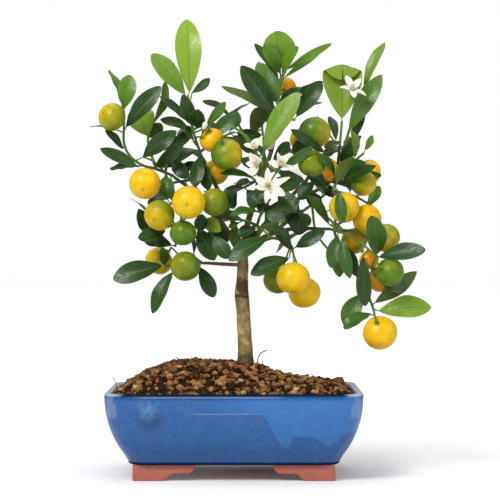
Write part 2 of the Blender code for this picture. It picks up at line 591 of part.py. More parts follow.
def placed_fruits():
    """Each fruit's centre, radius and stem direction. One that would press on another steps back."""
    placed = {}
    for fruit in FRUITS:
        depth = fruit.depth
        while True:
            centre = seen(fruit.across, fruit.down, depth)
            radius = fruit.size / 2 * (depth * MM - EYE.y) / PIXELS_PER_SLOPE
            pressed = [
                1 for c, r, _ in placed.values() if (c - centre).length < r + radius + CLEARANCE
            ]
            if not pressed:
                break
            depth += 1
        placed[fruit.name] = (centre, radius, fruit_direction(fruit.stem))
    return placed


def twig_routes(spray):
    """A spray's twigs as routes. The first grows on from its limb's end, just clear of it."""
    limb = [seen(*p) for p in LIMBS[spray][0]]
    end, way = limb[-1], (limb[-1] - limb[-2]).normalized()
    routes = [[seen(*p) for p in route] for route in TWIGS[spray]]
    sprout = end + way * 3 * MM
    routes[0] = [end + way * GAP, sprout] + [p for p in routes[0] if (p - end).length > 5 * MM]
    for route in routes[1:]:
        if (route[0] - end).length < 3 * MM:
            route[0] = sprout
    return routes


def places_on(routes):
    """Places to grow from, spaced along every twig."""
    places = []
    for route in routes:
        for a, b in zip(route, route[1:]):
            count = max(1, round((b - a).length / ROOT_PITCH))
            places += [a.lerp(b, (k + 0.5) / count) for k in range(count)]
    return places


def grown_stalk(room, spray, places, end, arrival, cap):
    """A stalk that reaches an end clear of the rest, from the nearest place that allows one."""
    starts = sorted(places[spray], key=lambda p: (p - end - arrival * 6 * MM).length)
    radii = [STALK_RADIUS, STALK_RADIUS, cap, cap]
    for reach in STALK_REACHES:
        for start in starts:
            points = [start, end + arrival * reach * MM, end + arrival * 1.5 * MM, end]
            thick = tube(points, [r + CLEARANCE * 0.6 for r in radii[:-1]] + [cap], STEM_SIDES)
            if room.is_clear(thick, spray, ("twig",)):
                room.add(tube(points, radii, STEM_SIDES), spray, "stalk")
                return [Stem(points, radii)]
    return []


def tried_turns():
    """Small changes to try in order: the tip's depth, the roll, the width."""
    for shrink in (1.0, 0.86, 0.74):
        for turn in (0, -14, 14, -28, 28, -42, 42):
            for tip_shift in (0, -2, 2, -4, 4, -6, 6, -9, 9, -12, 12, -16, 16, -20, 20):
                yield tip_shift * MM, turn, shrink


def settled_leaf(room, spray, places, leaf, rng):
    """The leaf once it is turned clear of what is placed already, or None."""
    base, tip = seen(*leaf.base), seen(*leaf.tip)
    arch, fold = rng.uniform(0.03, 0.09), rng.uniform(0.12, 0.30)
    roots = sorted(places, key=lambda p: (p - base).length)[:7]
    for allowed in (("twig",), ("twig", "foot", "stalk")):
        for tip_shift, turn, shrink in tried_turns():
            end = tip + (tip - EYE).normalized() * tip_shift
            for root in roots:
                start = base
                if (base - root).length < SHORTEST_PETIOLE:
                    start = root + (end - root).normalized() * SHORTEST_PETIOLE
                axes = leaf_axes(start, end, leaf.roll + turn)
                placed = Blade(root, start, end, leaf.width * MM * shrink, axes, arch, fold)
                if fits(room, spray, placed, allowed):
                    return placed
    return None


def fits(room, spray, leaf, allowed=("twig",)):
    """True if the leaf is clear of everything, apart from what its foot may touch in its own spray."""
    foot, blade = leaf_halves(leaf, CLEARANCE)
    return room.is_clear(foot, spray, allowed) and room.is_clear(blade)


def leaf_halves(leaf, grow=0.0):
    """A leaf's foot and its blade beyond, as two solids."""
    root, near, far, tip = blade_rings(leaf, grow)
    middle = [a.lerp(b, FOOT_SHARE) for a, b in zip(root, near)]
    return lofted([root, middle]), lofted([middle, near, far, tip])


def settle(room, spray, leaf):
    """Takes up a leaf's room."""
    foot, blade = leaf_halves(leaf)
    room.add(foot, spray, "foot")
    room.add(blade, spray, "leaf")


def filling_leaves(room, spray, routes, rng):
    """Leaves set round each twig by the golden angle, wherever one has room."""
    found = []
    for route in routes:
        azimuth = rng.uniform(0, math.tau)
        for k in range(FILL_PER_TWIG):
            azimuth += GOLDEN_ANGLE
            spot = (k + 0.8) / FILL_PER_TWIG * (len(route) - 1)
            low = min(int(spot), len(route) - 2)
            place = route[low].lerp(route[low + 1], spot - low)
            along = (route[low + 1] - route[low]).normalized()
            leaf = filling_leaf(room, spray, place, along, azimuth, rng)
            if leaf:
                found.append(leaf)
                settle(room, spray, leaf)
    return found


def in_crown(point):
    """True if the front view shows a point inside the crown's round."""
    step = (point.y - EYE.y) / PIXELS_PER_SLOPE
    across = PICTURE_MIDDLE + (point.x - EYE.x) / step
    down = PICTURE_MIDDLE - (point.z - EYE.z) / step
    (x, y), (half, rise) = CROWN_MIDDLE, CROWN_REACH
    return ((across - x) / half) ** 2 + ((down - y) / rise) ** 2 < 1


def filling_leaf(room, spray, place, along, azimuth, rng):
    """One leaf from a place on a twig, turned and shortened until it has room, or None."""
    length = rng.uniform(*FILL_LENGTH)
    arch, fold = rng.uniform(0.03, 0.10), rng.uniform(0.12, 0.30)
    for k in range(14):
        turn = azimuth + k * 0.45 * (1 if k % 2 else -1)
        size = length * (1 - 0.02 * k)
        side = Matrix.Rotation(turn, 3, along) @ circle(Vector(), along, 1.0, 3)[0]
        heading = (along * 0.55 + side + Vector((0, 0, 0.15))).normalized()
        base = place + heading * 6 * MM
        tip = base + heading * size - Vector((0, 0, 0.12 * size))
        forward = (tip - base).normalized()
        up = Vector((0, 0, 1)) + side * 0.8
        face = (up - forward * up.dot(forward)).normalized()
        axes = (forward, forward.cross(face).normalized(), face)
        leaf = Blade(place, base, tip, size * FILL_SHARE, axes, arch, fold)
        if in_crown(tip) and fits(room, spray, leaf):
            return leaf
    return None


def petal(base, direction, face, length):
    """A strap petal as a closed thin solid, curled back a little at its tip."""
    across = direction.cross(face).normalized()
    rings = []
    for t, share, bend in ((0.0, 0.26, 0.0), (0.55, 1.0, 0.04), (1.0, 0.4, -0.08)):
        middle = base + direction * length * t + face * bend * length
        half = across * PETAL_WIDTH / 2 * share
        thick = face * BLADE / 2
        rings.append([middle - half + thick, middle + half + thick, middle + half - thick, middle - half - thick])
    return lofted(rings)


def bloom_shapes(bloom):
    """The closed solids of one bloom or bud, which overlap at its middle."""
    base = seen(bloom.across, bloom.down, bloom.depth)
    axis = fruit_direction(bloom.facing)
    length = bloom.petal * MM
    if bloom.kind == "bud":
        points = [base + axis * length * t for t in (0.0, 0.18, 0.45, 0.78, 1.0)]
        return [tube(points, [r * MM for r in (1.0, 1.9, 2.7, 2.4, 0.7)], 7)]
    heights = (0.0, 0.8, 2.6, 6.5)
    column = tube([base + axis * h * MM for h in heights], [r * MM for r in (1.4, 2.2, 2.2, 1.5)], 5)
    opening = math.radians(OPENING[bloom.kind])
    shapes = [column]
    for spoke in circle(Vector(), axis, 1.0, PETALS):
        start = base + axis * 1.7 * MM + spoke * 1.2 * MM
        way = axis * math.cos(opening) + spoke * math.sin(opening)
        face = axis * math.sin(opening) - spoke * math.cos(opening)
        shapes.append(petal(start, way, face, length))
    return shapes


def grown_plant():
    """Works out the whole plant: shapes of the wood, fruit and blooms, and each spray's parts."""
    rng = random.Random(SEED)
    room = Room()
    fruits = placed_fruits()
    for name, (centre, radius, stem) in fruits.items():
        room.add(fruit_shape(centre, radius, stem), name, "fruit")
    wood = wood_shapes()
    for shape in wood:
        room.add(shape, "wood", "wood")
    blooms = {bloom.name: bloom_shapes(bloom) for bloom in BLOOMS}
    for name, shapes in blooms.items():
        for shape in shapes:
            room.add(shape, name, "bloom")
    routes = {spray: twig_routes(spray) for spray in TWIGS}
    places = {spray: places_on(paths) for spray, paths in routes.items()}
    stems = {spray: [] for spray in TWIGS}
    for spray, paths in routes.items():
        for k, path in enumerate(paths):
            first = LIMBS[spray][2] * MM if k == 0 else TWIG_RADIUS
            twig = tapered(path, first, TWIG_RADIUS * 0.75)
            stems[spray].append(twig)
            room.add(tube(*twig, STEM_SIDES), spray, "twig")
    for fruit in FRUITS:
        centre, radius, stem = fruits[fruit.name]
        end = centre + stem * (radius * (FRUIT_SQUASH - 0.03) + GAP + 0.25 * MM)
        stems[fruit.spray] += grown_stalk(room, fruit.spray, places, end, stem, CALYX_RADIUS)
    for bloom in BLOOMS:
        axis = fruit_direction(bloom.facing)
        end = seen(bloom.across, bloom.down, bloom.depth) - axis * GAP
        stems[bloom.spray] += grown_stalk(room, bloom.spray, places, end, -axis, BLOOM_CALYX_RADIUS)
    leaves = {spray: [] for spray in TWIGS}
    for spray, rows in LEAVES.items():
        for leaf in rows:
            placed = settled_leaf(room, spray, places[spray], leaf, rng)
            if placed:
                leaves[spray].append(placed)
                settle(room, spray, placed)
    for spray in TWIGS:
        if spray not in FULL_SPRAYS:
            leaves[spray] += filling_leaves(room, spray, routes[spray], rng)
    return wood, fruits, blooms, stems, leaves


def trunk_foot():
    """The middle of the trunk where it enters the soil."""
    place = seen(TRUNK_FOOT[0], 360, TRUNK_FOOT[1])
    return Vector((place.x, place.y, 0))


def wood_shapes():
    """The trunk and the limbs, as closed stems that overlap where they fork."""
    above = [seen(a, d, y) for a, d, y, _ in TRUNK]
    radii = [r * MM for *_, r in TRUNK]
    below = trunk_foot() + Vector((0, 0, mound_top() - STEM_DEPTH + GAP))
    points = [below, Vector((below.x, below.y, above[0].z - 6 * MM)), *above]
    shapes = [tube(points, [STEM_RADIUS, STEM_RADIUS, *radii], TRUNK_SIDES)]
    for route, first, last in LIMBS.values():
        shapes.append(tube(*tapered([seen(*p) for p in route], first * MM, last * MM), LIMB_SIDES))
    return shapes


def mound_top():
    return SOIL_EDGE + MOUND_RISE


QUARTERS = ((1, 1), (-1, 1), (-1, -1), (1, -1))


def rounded_rectangle(half_length, half_width, radius, height, sides):
    """A ring round a rectangle with round corners, with the steps in a corner, a long and a short side."""
    corner, long_side, short_side = sides
    x, y = half_length - radius, half_width - radius
    middles = [Vector((sx * x, sy * y, height)) for sx, sy in QUARTERS]
    points = []
    for k, middle in enumerate(middles):
        turns = [math.tau / 4 * (k + step / corner) for step in range(corner + 1)]
        arms = [Vector((math.cos(turn), math.sin(turn), 0)) * radius for turn in turns]
        points += [middle + arm for arm in arms]
        start, end = points[-1], middles[(k + 1) % 4] + arms[-1]
        run = short_side if k % 2 else long_side
        points += [start.lerp(end, step / run) for step in range(1, run)]
    return points


def pot_ring(inset, height, sides=(4, 1, 1)):
    """The pot's outline at a height, set in from the rim's."""
    radius = max(CORNER_RADIUS - inset * CORNER_LOSS, LEAST_CORNER)
    return rounded_rectangle(RIM_HALF_LENGTH - inset, RIM_HALF_WIDTH - inset, radius, height, sides)


def side_inset(height):
    """How far the pot's outside stands in from the rim's outline at a height."""
    rows = [(z * MM, inset * MM) for z, inset in POT_SIDE]
    for (z0, a), (z1, b) in zip(rows, rows[1:]):
        if height <= z1:
            return a + (b - a) * max(0.0, (height - z0) / (z1 - z0))
    return rows[-1][1]


def new_object(name, shape, material=None):
    mesh = bpy.data.meshes.new(name)
    mesh.from_pydata([tuple(p) for p in shape[0]], [], [tuple(f) for f in shape[1]])
    bm = bmesh.new()
    bm.from_mesh(mesh)
    bmesh.ops.recalc_face_normals(bm, faces=bm.faces)
    bm.to_mesh(mesh)
    bm.free()
    obj = bpy.data.objects.new(name, mesh)
    bpy.context.scene.collection.objects.link(obj)
    if material:
        mesh.materials.append(material)
    return obj


def finish_of(name, colour, roughness, metallic=0.0):
    material = bpy.data.materials.get(name) or bpy.data.materials.new(name)
    material.use_nodes = True
    shader = material.node_tree.nodes["Principled BSDF"]
    shader.inputs["Base Color"].default_value = (*colour, 1.0)
    shader.inputs["Roughness"].default_value = roughness
    shader.inputs["Metallic"].default_value = metallic
    return material


def apply_boolean(obj, operation, others, solver="EXACT"):
    """Joins or cuts obj with other objects, which are then removed."""
    group = bpy.data.collections.new(obj.name + "_tools")
    for other in others:
        group.objects.link(other)
    modifier = obj.modifiers.new(operation, "BOOLEAN")
    modifier.operation = operation
    modifier.operand_type = "COLLECTION"
    modifier.collection = group
    modifier.solver = solver
    graph = bpy.context.evaluated_depsgraph_get()
    mesh = bpy.data.meshes.new_from_object(obj.evaluated_get(graph))
    obj.modifiers.clear()
    obj.data = mesh
    for other in others:
        bpy.data.objects.remove(other)
    bpy.data.collections.remove(group)
    return flattened(obj)


def flattened(obj):
    """Merges the flat faces that a Boolean has split, and divides them into triangles again."""
    bm = bmesh.new()
    bm.from_mesh(obj.data)
    bmesh.ops.dissolve_limit(bm, angle_limit=FLAT_ANGLE, verts=bm.verts, edges=bm.edges)
    bmesh.ops.triangulate(bm, faces=bm.faces)
    bm.to_mesh(obj.data)
    bm.free()
    return obj


def fused(name, shapes, material):
    """One solid from closed shapes that overlap."""
    first = new_object(name, shapes[0], material)
    others = [new_object(f"{name}_piece_{k}", shape, material) for k, shape in enumerate(shapes[1:])]
    return apply_boolean(first, "UNION", others, "MANIFOLD") if others else first


def box_shape(low, high):
    corners = [Vector((x, y, z)) for z in (low[2], high[2]) for x, y in
               ((low[0], low[1]), (high[0], low[1]), (high[0], high[1]), (low[0], high[1]))]
    return lofted([corners[:4], corners[4:]])


def foot_shapes(sx, sy):
    """The two legs of one bracket foot, at one corner of the pot."""
    x0, y0 = RIM_HALF_LENGTH - FOOT_INSET, RIM_HALF_WIDTH - FOOT_INSET
    t = FOOT_THICKNESS
    along = [[Vector((sx * (x0 - a * MM), sy * y, b * MM)) for a, b in FOOT_FACE] for y in (y0, y0 - t)]
    share = SIDE_FOOT_SHARE
    aside = [
        [Vector((sx * x, sy * (y0 - FOOT_STEP - a * share * MM), b * MM)) for a, b in FOOT_FACE]
        for x in (x0 - FOOT_STEP, x0 - t)
    ]
    return [lofted(along), lofted(aside)]


def build_pot(glaze):
    """The pot, fired in one piece: its walls, floor, drain holes and four bracket feet."""
    outer = [pot_ring(inset * MM, z * MM) for z, inset in POT_SIDE]
    lip = [pot_ring(inset * MM, RIM_HEIGHT - drop * MM) for inset, drop in LIP]
    lip.append(pot_ring(WALL - LIP_ROUND, RIM_HEIGHT))
    lip.append(pot_ring(WALL, RIM_HEIGHT - LIP_ROUND))
    inner = [pot_ring(side_inset(z * MM) + WALL, z * MM) for z in INSIDE_HEIGHTS]
    floor = pot_ring(side_inset(FLOOR_TOP) + WALL + FLOOR_ROUND, FLOOR_TOP)
    pot = new_object("pot", lofted([*outer, *lip, *inner, floor]), glaze)
    feet = [shape for sx in (1, -1) for sy in (1, -1) for shape in foot_shapes(sx, sy)]
    apply_boolean(pot, "UNION", [new_object(f"foot_{k}", s) for k, s in enumerate(feet)], "EXACT")
    holes = []
    for side in (-1, 1):
        low, high = Vector((side * DRAIN_OFFSET, 0, 0)), Vector((side * DRAIN_OFFSET, 0, FLOOR_TOP + WALL))
        holes.append(new_object(f"hole_{side}", tube([low, high], [DRAIN_RADIUS] * 2, DRAIN_SIDES)))
    return apply_boolean(pot, "DIFFERENCE", holes)


def mound_height(point, inward):
    """The soil's height at a share of the way in from the wall, fuller on the left, with crumbs."""
    lean = LEAN_MIDDLE - LEAN_PER_METRE * point.x
    rise = math.sin(min(1.0, inward * lean) * math.pi / 2)
    right = max(0.0, min(1.0, point.x / RIGHT_FROM))
    rise += (float(numpy.interp(inward, *RIGHT_SLOPE)) - rise) * right
    hump = HUMP_RISE * math.exp(-((point - HUMP_PLACE).xy.length / HUMP_REACH) ** 2)
    flat = Vector((point.x, point.y, 0))
    crumbs = sum(noise.noise(flat * waves) * height for waves, height in CRUMB_WAVES)
    fade = min(1.0, inward * 12) * min(1.0, (1 - inward) * 10)
    return SOIL_EDGE + MOUND_RISE * rise + (hump + crumbs * MM) * fade


def mound_rings():
    """The soil's rings, from its underside up the wall, over the mound and down into the stem's hole."""
    inset = WALL + SOIL_TO_WALL
    bottom = FLOOR_TOP + GAP
    edge = pot_ring(inset, SOIL_EDGE, MOUND_SIDES)
    rings = [
        pot_ring(side_inset(bottom) + inset + FLOOR_ROUND + 1 * MM, bottom, MOUND_SIDES),
        pot_ring(side_inset(LOW_SOIL) + inset + GAP, LOW_SOIL, MOUND_SIDES),
        pot_ring(side_inset(MIDDLE_SOIL) + inset, MIDDLE_SOIL, MOUND_SIDES),
        edge,
    ]
    foot = trunk_foot()
    for k in range(1, MOUND_RINGS + 1):
        inward = k / MOUND_RINGS
        ring = []
        for p in edge:
            flat = Vector((p.x, p.y, 0))
            spot = flat.lerp(foot + (flat - foot).normalized() * STEM_HOLE_RADIUS, inward)
            ring.append(Vector((spot.x, spot.y, mound_height(spot, inward))))
        rings.append(ring)
    rings.append([Vector((p.x, p.y, mound_top() - STEM_DEPTH)) for p in rings[-1]])
    return rings


def soil_lump(k, rng):
    """One of the larger lumps, six-sided, which lie round the mound by the golden angle."""
    reach = 0.25 + 0.62 * math.sqrt((k + 0.5) / LUMPS)
    x, y = [f(k * GOLDEN_ANGLE) * reach * field for f, field in zip((math.cos, math.sin), LUMP_FIELD)]
    place = Vector((x, y, mound_height(Vector((x, y, 0)), 1 - reach)))
    size = rng.uniform(*LUMP_SIZE)
    tilt = Vector((rng.uniform(-0.4, 0.4), rng.uniform(-0.4, 0.4), 1))
    low = circle(place - tilt * size * 0.2, tilt, size, 6)
    high = circle(place + tilt * size * 0.3, tilt, size * 0.8, 6)
    return lofted([[place - tilt * size * 0.6], low, high, [place + tilt * size * 0.5]])


def build_soil(earth):
    """The soil: it fills the pot, heaps up to the trunk and leaves a hole for the stem."""
    soil = new_object("soil", lofted(mound_rings()), earth)
    rng = random.Random(SEED)
    apply_boolean(soil, "UNION", [new_object(f"lump_{k}", soil_lump(k, rng)) for k in range(LUMPS)])
    spread = MESH_SIZE / 2 + GAP
    recesses = []
    for side in (-1, 1):
        low = (side * DRAIN_OFFSET - spread, -spread, 0)
        high = (side * DRAIN_OFFSET + spread, spread, FLOOR_TOP + GAP * 2 + MESH_BAR)
        recesses.append(new_object(f"recess_{side}", box_shape(low, high)))
    return apply_boolean(soil, "DIFFERENCE", recesses)


def build_drain_mesh(name, side, plastic):
    """The square of plastic mesh that lies over a drain hole, under the soil."""
    low, high = FLOOR_TOP + GAP, FLOOR_TOP + GAP + MESH_BAR
    half, x = MESH_SIZE / 2, side * DRAIN_OFFSET
    pitch = (MESH_SIZE - MESH_BAR) / (MESH_BARS - 1)
    bars = []
    for k in range(MESH_BARS):
        a = -half + k * pitch
        bars.append(box_shape((x - half, a, low), (x + half, a + MESH_BAR, high)))
        bars.append(box_shape((x + a, -half, low), (x + a + MESH_BAR, half, high)))
    first = new_object(name, bars[0], plastic)
    return apply_boolean(first, "UNION", [new_object(f"{name}_{k}", b) for k, b in enumerate(bars[1:])])


def shaded(obj, angle):
    """Shades an object smooth, with its edges sharper than an angle left crisp."""
    obj.data.shade_smooth()
    obj.data.set_sharp_from_angle(angle=math.radians(angle))
    return obj


def build_fruit(name, place, peel):
    """One fruit: modelled about its own middle, and placed where it hangs."""
    centre, radius, stem = place
    fruit = new_object(name, fruit_shape(Vector(), radius, stem), peel)
    fruit.location = centre
    return shaded(fruit, 60)


def stand_on_origin(objects):
    """Hangs everything on one empty, placed so that the middle of the box's bottom is the origin."""
    points = [obj.location + v.co for obj in objects for v in obj.data.vertices]
    low = Vector([min(p[k] for p in points) for k in range(3)])
    high = Vector([max(p[k] for p in points) for k in range(3)])
    stand = bpy.data.objects.new("bonsai", None)
    stand.location = (-(low.x + high.x) / 2, -(low.y + high.y) / 2, -low.z)
    bpy.context.scene.collection.objects.link(stand)
    for obj in objects:
        obj.parent = stand
    bpy.context.view_layer.update()


def main():
    for obj in list(bpy.data.objects):
        bpy.data.objects.remove(obj)
    glaze = finish_of("blue_glaze", (0.035, 0.13, 0.50), 0.12)
    earth = finish_of("soil", (0.10, 0.055, 0.03), 0.9)
    plastic = finish_of("black_plastic", (0.02, 0.02, 0.02), 0.6)
    bark = finish_of("bark", (0.22, 0.16, 0.10), 0.8)
    leaf = finish_of("leaf", LEAF_GREEN, 0.35)
    peels = {name: finish_of("peel_" + name, colour, 0.3) for name, colour in PEELS.items()}
    petals = finish_of("petal", (0.86, 0.84, 0.76), 0.5)
    built = [
        shaded(build_pot(glaze), 30),
        build_soil(earth),
        build_drain_mesh("drain_mesh_left", -1, plastic),
        build_drain_mesh("drain_mesh_right", 1, plastic),
    ]
    wood, fruits, blooms, stems, leaves = grown_plant()
    built.append(shaded(fused("trunk_and_limbs", wood, bark), 50))
    built += [build_fruit(fruit.name, fruits[fruit.name], peels[fruit.peel]) for fruit in FRUITS]
    built += [fused(name, shapes, petals) for name, shapes in blooms.items()]
    for spray in TWIGS:
        shapes = [tube(*stem, STEM_SIDES) for stem in stems[spray]]
        shapes += [leaf_solid(blade) for blade in leaves[spray]]
        built.append(fused("spray_" + spray, shapes, leaf))
    stand_on_origin(built)


main()
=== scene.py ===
"""Dresses a potted citrus bonsai in its finishes: glaze, clay, soil, bark, leaves, peel and petals.

The plant is worked out in the pot's own frame: metres, +Z up, X along the pot, -Y to the front, and
the origin under the middle of the pot. Every finished piece is then moved to where the pot stands.
"""

import math
import random
from collections import namedtuple

import bmesh
import bpy
import numpy
from bpy.props import FloatProperty, FloatVectorProperty, IntProperty, PointerProperty
from mathutils import Matrix, Vector, noise
from mathutils.bvhtree import BVHTree


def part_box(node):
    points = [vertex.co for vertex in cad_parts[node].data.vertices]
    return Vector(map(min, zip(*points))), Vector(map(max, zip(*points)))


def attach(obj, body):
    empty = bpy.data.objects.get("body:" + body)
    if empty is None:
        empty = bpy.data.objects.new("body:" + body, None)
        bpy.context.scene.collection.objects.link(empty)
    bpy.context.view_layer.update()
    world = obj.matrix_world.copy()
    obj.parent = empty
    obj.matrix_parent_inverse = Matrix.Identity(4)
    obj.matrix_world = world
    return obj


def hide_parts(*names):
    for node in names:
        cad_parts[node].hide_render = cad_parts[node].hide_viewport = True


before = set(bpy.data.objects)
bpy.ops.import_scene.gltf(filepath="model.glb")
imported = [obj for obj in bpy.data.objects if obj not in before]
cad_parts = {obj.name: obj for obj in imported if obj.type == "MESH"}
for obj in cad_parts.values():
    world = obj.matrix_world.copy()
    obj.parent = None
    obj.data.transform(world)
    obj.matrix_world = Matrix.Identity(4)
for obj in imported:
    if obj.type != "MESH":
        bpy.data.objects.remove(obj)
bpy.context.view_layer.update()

bl_info = {
    "name": "Citrus bonsai",
    "version": (1, 0, 0),
    "blender": (4, 5, 0),
    "location": "3D View > Sidebar > Bonsai",
    "description": "Dresses a potted citrus bonsai in fine leaves, fruit, blooms, bark, soil and glaze",
    "category": "Object",
}

MM = 0.001
POT_LOW, POT_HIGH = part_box("pot")
# Where the middle of the pot's underside stands
STAND = Vector(((POT_LOW.x + POT_HIGH.x) / 2, (POT_LOW.y + POT_HIGH.y) / 2, POT_LOW.z))

# The front view: where the eye stands, and how large one pixel is at the pot's front face
PIXEL = 0.93 * MM
EYE_DISTANCE = 1700 * MM
EYE = Vector((15.2 * MM, -1790 * MM, 218.4 * MM))
PICTURE_MIDDLE = 250
PIXELS_PER_SLOPE = EYE_DISTANCE / PIXEL

# Sizes of the plant and its pot
RIM_HEIGHT = 83.7 * MM
RIM_HALF_LENGTH = 122.5 * MM
RIM_HALF_WIDTH = 90 * MM
CORNER_RADIUS = 27 * MM
CORNER_LOSS = 0.4
WALL = 7 * MM
FOOT_HEIGHT = 15 * MM
FLOOR_TOP = FOOT_HEIGHT + WALL
POT_SIDE = [
    (15.0, 22.9), (18.9, 21.4), (24.4, 18.3), (32.6, 12.9),
    (42.8, 7.8), (55.0, 3.5), (68.4, 0.8), (81.2, 0.0),
]
FLOOR_ROUND = 4 * MM
DRAIN_RADIUS = 9 * MM
DRAIN_OFFSET = 52 * MM
FOOT_FACE = [
    (0.0, 0.0), (28.6, 0.0), (31.5, 1.9), (36.2, 6.3),
    (54.0, 6.8), (57.4, 10.2), (60.5, 16.0), (0.0, 16.0),
]
FOOT_STEP = 0.4 * MM
LEAN_MIDDLE, LEAN_PER_METRE = 1.4, 4.8
HUMP_PLACE, HUMP_RISE, HUMP_REACH = Vector((-46 * MM, -4 * MM, 0)), 1.6 * MM, 30 * MM
CRUMB_WAVES = ((110, 2.4), (260, 1.3))
RIGHT_SLOPE = ((0.0, 0.2, 0.4, 0.65, 0.8, 0.9, 1.0), (0.0, 0.27, 0.39, 0.54, 0.70, 0.89, 1.0))
RIGHT_FROM = 24 * MM
FOOT_THICKNESS = 11 * MM
FOOT_INSET = 26.6 * MM
SIDE_FOOT_SHARE = 0.78
GAP = 0.35 * MM
SOIL_EDGE = 78.2 * MM
MOUND_RISE = 28 * MM
SOIL_TO_WALL = 0.5 * MM
TRUNK_FOOT = (245.6, 0.0)
STEM_HOLE_RADIUS = 9.2 * MM
STEM_RADIUS = 8.4 * MM
STEM_DEPTH = 30 * MM
BLADE = 0.75 * MM
BLADE_STATIONS = [(0.30, 0.88), (0.68, 0.92)]
PETIOLE_HALF = 0.6 * MM
TWIG_RADIUS = 1.5 * MM
STALK_RADIUS = 0.9 * MM
STEM_SIDES = 4
LIMB_SIDES = 5
TRUNK_SIDES = 8
ROOT_PITCH = 2.2 * MM
STALK_REACHES = (5, 8, 3.5, 12, 16)
TRIED_WIDTHS = (1.0, 0.86, 0.74)
TRIED_ROLLS = (0, -14, 14, -28, 28, -42, 42)
TRIED_SHIFTS = (0, -2, 2, -4, 4, -6, 6, -9, 9, -12, 12, -16, 16, -20, 20)
SHORTEST_PETIOLE = 4 * MM
ROOTS_TRIED = 7
LEAF_ARCH, LEAF_FOLD = (0.03, 0.09), (0.12, 0.30)
# A twig's first point off its limb's end, and how near that end its drawn points are left out
SPROUT_LENGTH, SPROUT_REACH = 3 * MM, 5 * MM
TWIG_TAPER = 0.75
CALYX_RADIUS = 2.6 * MM
BLOOM_CALYX_RADIUS = 1.4 * MM
FRUIT_SQUASH = 0.94
# The solid fruit's rings, as angles from its stem's axis in degrees, and the sides of each
FRUIT_ANGLES, FRUIT_SIDES = (30, 70, 110, 150), 8
SHORTEST_STEP = 0.3 * MM
CLEARANCE = 0.45 * MM
PETAL_WIDTH = 5.2 * MM
PETALS = 5
# A petal's sections: share of its length, share of its full width, how far it bends off its line
PETAL_STATIONS = ((0.0, 0.26, 0.0), (0.55, 1.0, 0.04), (1.0, 0.4, -0.08))
# The solid bud and the solid middle of a bloom: places on the axis, as shares of its length and in mm,
# and radii in mm
SOLID_BUD = (0.0, 0.18, 0.45, 0.78, 1.0), (1.0, 1.9, 2.7, 2.4, 0.7)
SOLID_MIDDLE = (0.0, 0.8, 2.6, 6.5), (1.4, 2.2, 2.2, 1.5)
OPENING = {"open": 78, "cup": 42}
FOOT_SHARE = 0.42
FILL_PER_TWIG = 2
FILL_LENGTH = (34 * MM, 46 * MM)
FILL_SHARE = 0.42
FILL_ARCH, FILL_FOLD = (0.03, 0.10), (0.12, 0.30)
# A filling leaf's tries: how many, how far each turns it round the twig, and by what share each shortens it
FILL_TRIES, FILL_TURN, FILL_SHRINK = 14, 0.45, 0.02
FILL_PETIOLE, FILL_DROOP = 6 * MM, 0.12
GOLDEN_ANGLE = math.radians(137.5)
GUIDE = Vector((0.31, 0.77, 0.55))
SEED = 11
CROWN_MIDDLE, CROWN_REACH = (247, 160), (128, 98)
FULL_SPRAYS = ("left_outer", "crown_centre", "right_crest", "low")

Leaf = namedtuple("Leaf", "base tip width roll tone")
Blade = namedtuple("Blade", "root base tip width axes arch fold")
Stem = namedtuple("Stem", "points radii")
Fruit = namedtuple("Fruit", "name spray across down depth size stem peel")
Bloom = namedtuple("Bloom", "name spray across down depth facing petal kind")
Plant = namedtuple("Plant", "fruits twigs stalks leaves")

# The trunk, from under the soil up: across, down, depth, radius in millimetres
TRUNK = [
    (245.6, 362.0, 0, 8.4), (245.4, 356.0, 0, 7.6), (245.0, 345.0, 0, 7.1), (244.2, 330.0, 0, 6.9),
    (243.2, 312.0, 0, 6.8), (241.9, 298.0, 0, 7.0), (241.8, 291.0, 0, 6.6), (242.3, 280.0, 0, 5.6),
    (242.8, 266.0, 0, 5.5), (243.0, 256.0, 0, 5.0), (244.5, 240.0, 3, 3.9),
]
# The limbs: a route in across, down, depth, then the radius at each end in millimetres
LIMBS = {
    "left_low": ([(242, 265, 0), (222, 264, -3), (205, 263, -8)], 2.0, 1.5),
    "left_up": ([(243, 262, 0), (232, 240, -2), (215, 217, -8), (200, 200, -13)], 3.0, 1.6),
    "left_outer": ([(217, 220, -7), (196, 194, -6), (174, 177, -12)], 2.1, 1.5),
    "crown_left": ([(243, 258, 0), (234, 225, 6), (219, 192, 2), (207, 169, -7)], 3.2, 1.6),
    "crown_centre": ([(244, 246, 2), (248, 222, 9), (260, 185, 12), (271, 152, 9), (276, 131, 5)], 3.6, 1.6),
    "flowering": ([(252, 210, 9), (256, 196, -10), (257, 182, -26)], 2.0, 1.4),
    "crown_right": ([(243, 257, 1), (262, 228, 12), (286, 202, 15), (303, 184, 8)], 3.4, 1.6),
    "right_crest": ([(284, 204, 15), (312, 193, 12), (334, 178, 4)], 2.2, 1.5),
    "right": ([(243, 256, 0), (262, 238, 2), (292, 229, -5), (325, 229, -14)], 2.9, 1.6),
    "low": ([(257, 243, 1), (274, 238, -13), (289, 245, -23)], 1.8, 1.4),
    "inner": ([(246, 236, 4), (251, 228, -12), (256, 226, -25)], 1.8, 1.4),
    "back_left": ([(243, 255, 2), (226, 228, 28), (206, 200, 50)], 2.8, 1.5),
    "back_centre": ([(244, 248, 2), (250, 214, 30), (262, 176, 54)], 2.8, 1.5),
    "back_right": ([(244, 256, 2), (276, 230, 32), (310, 206, 56)], 2.8, 1.5),
}
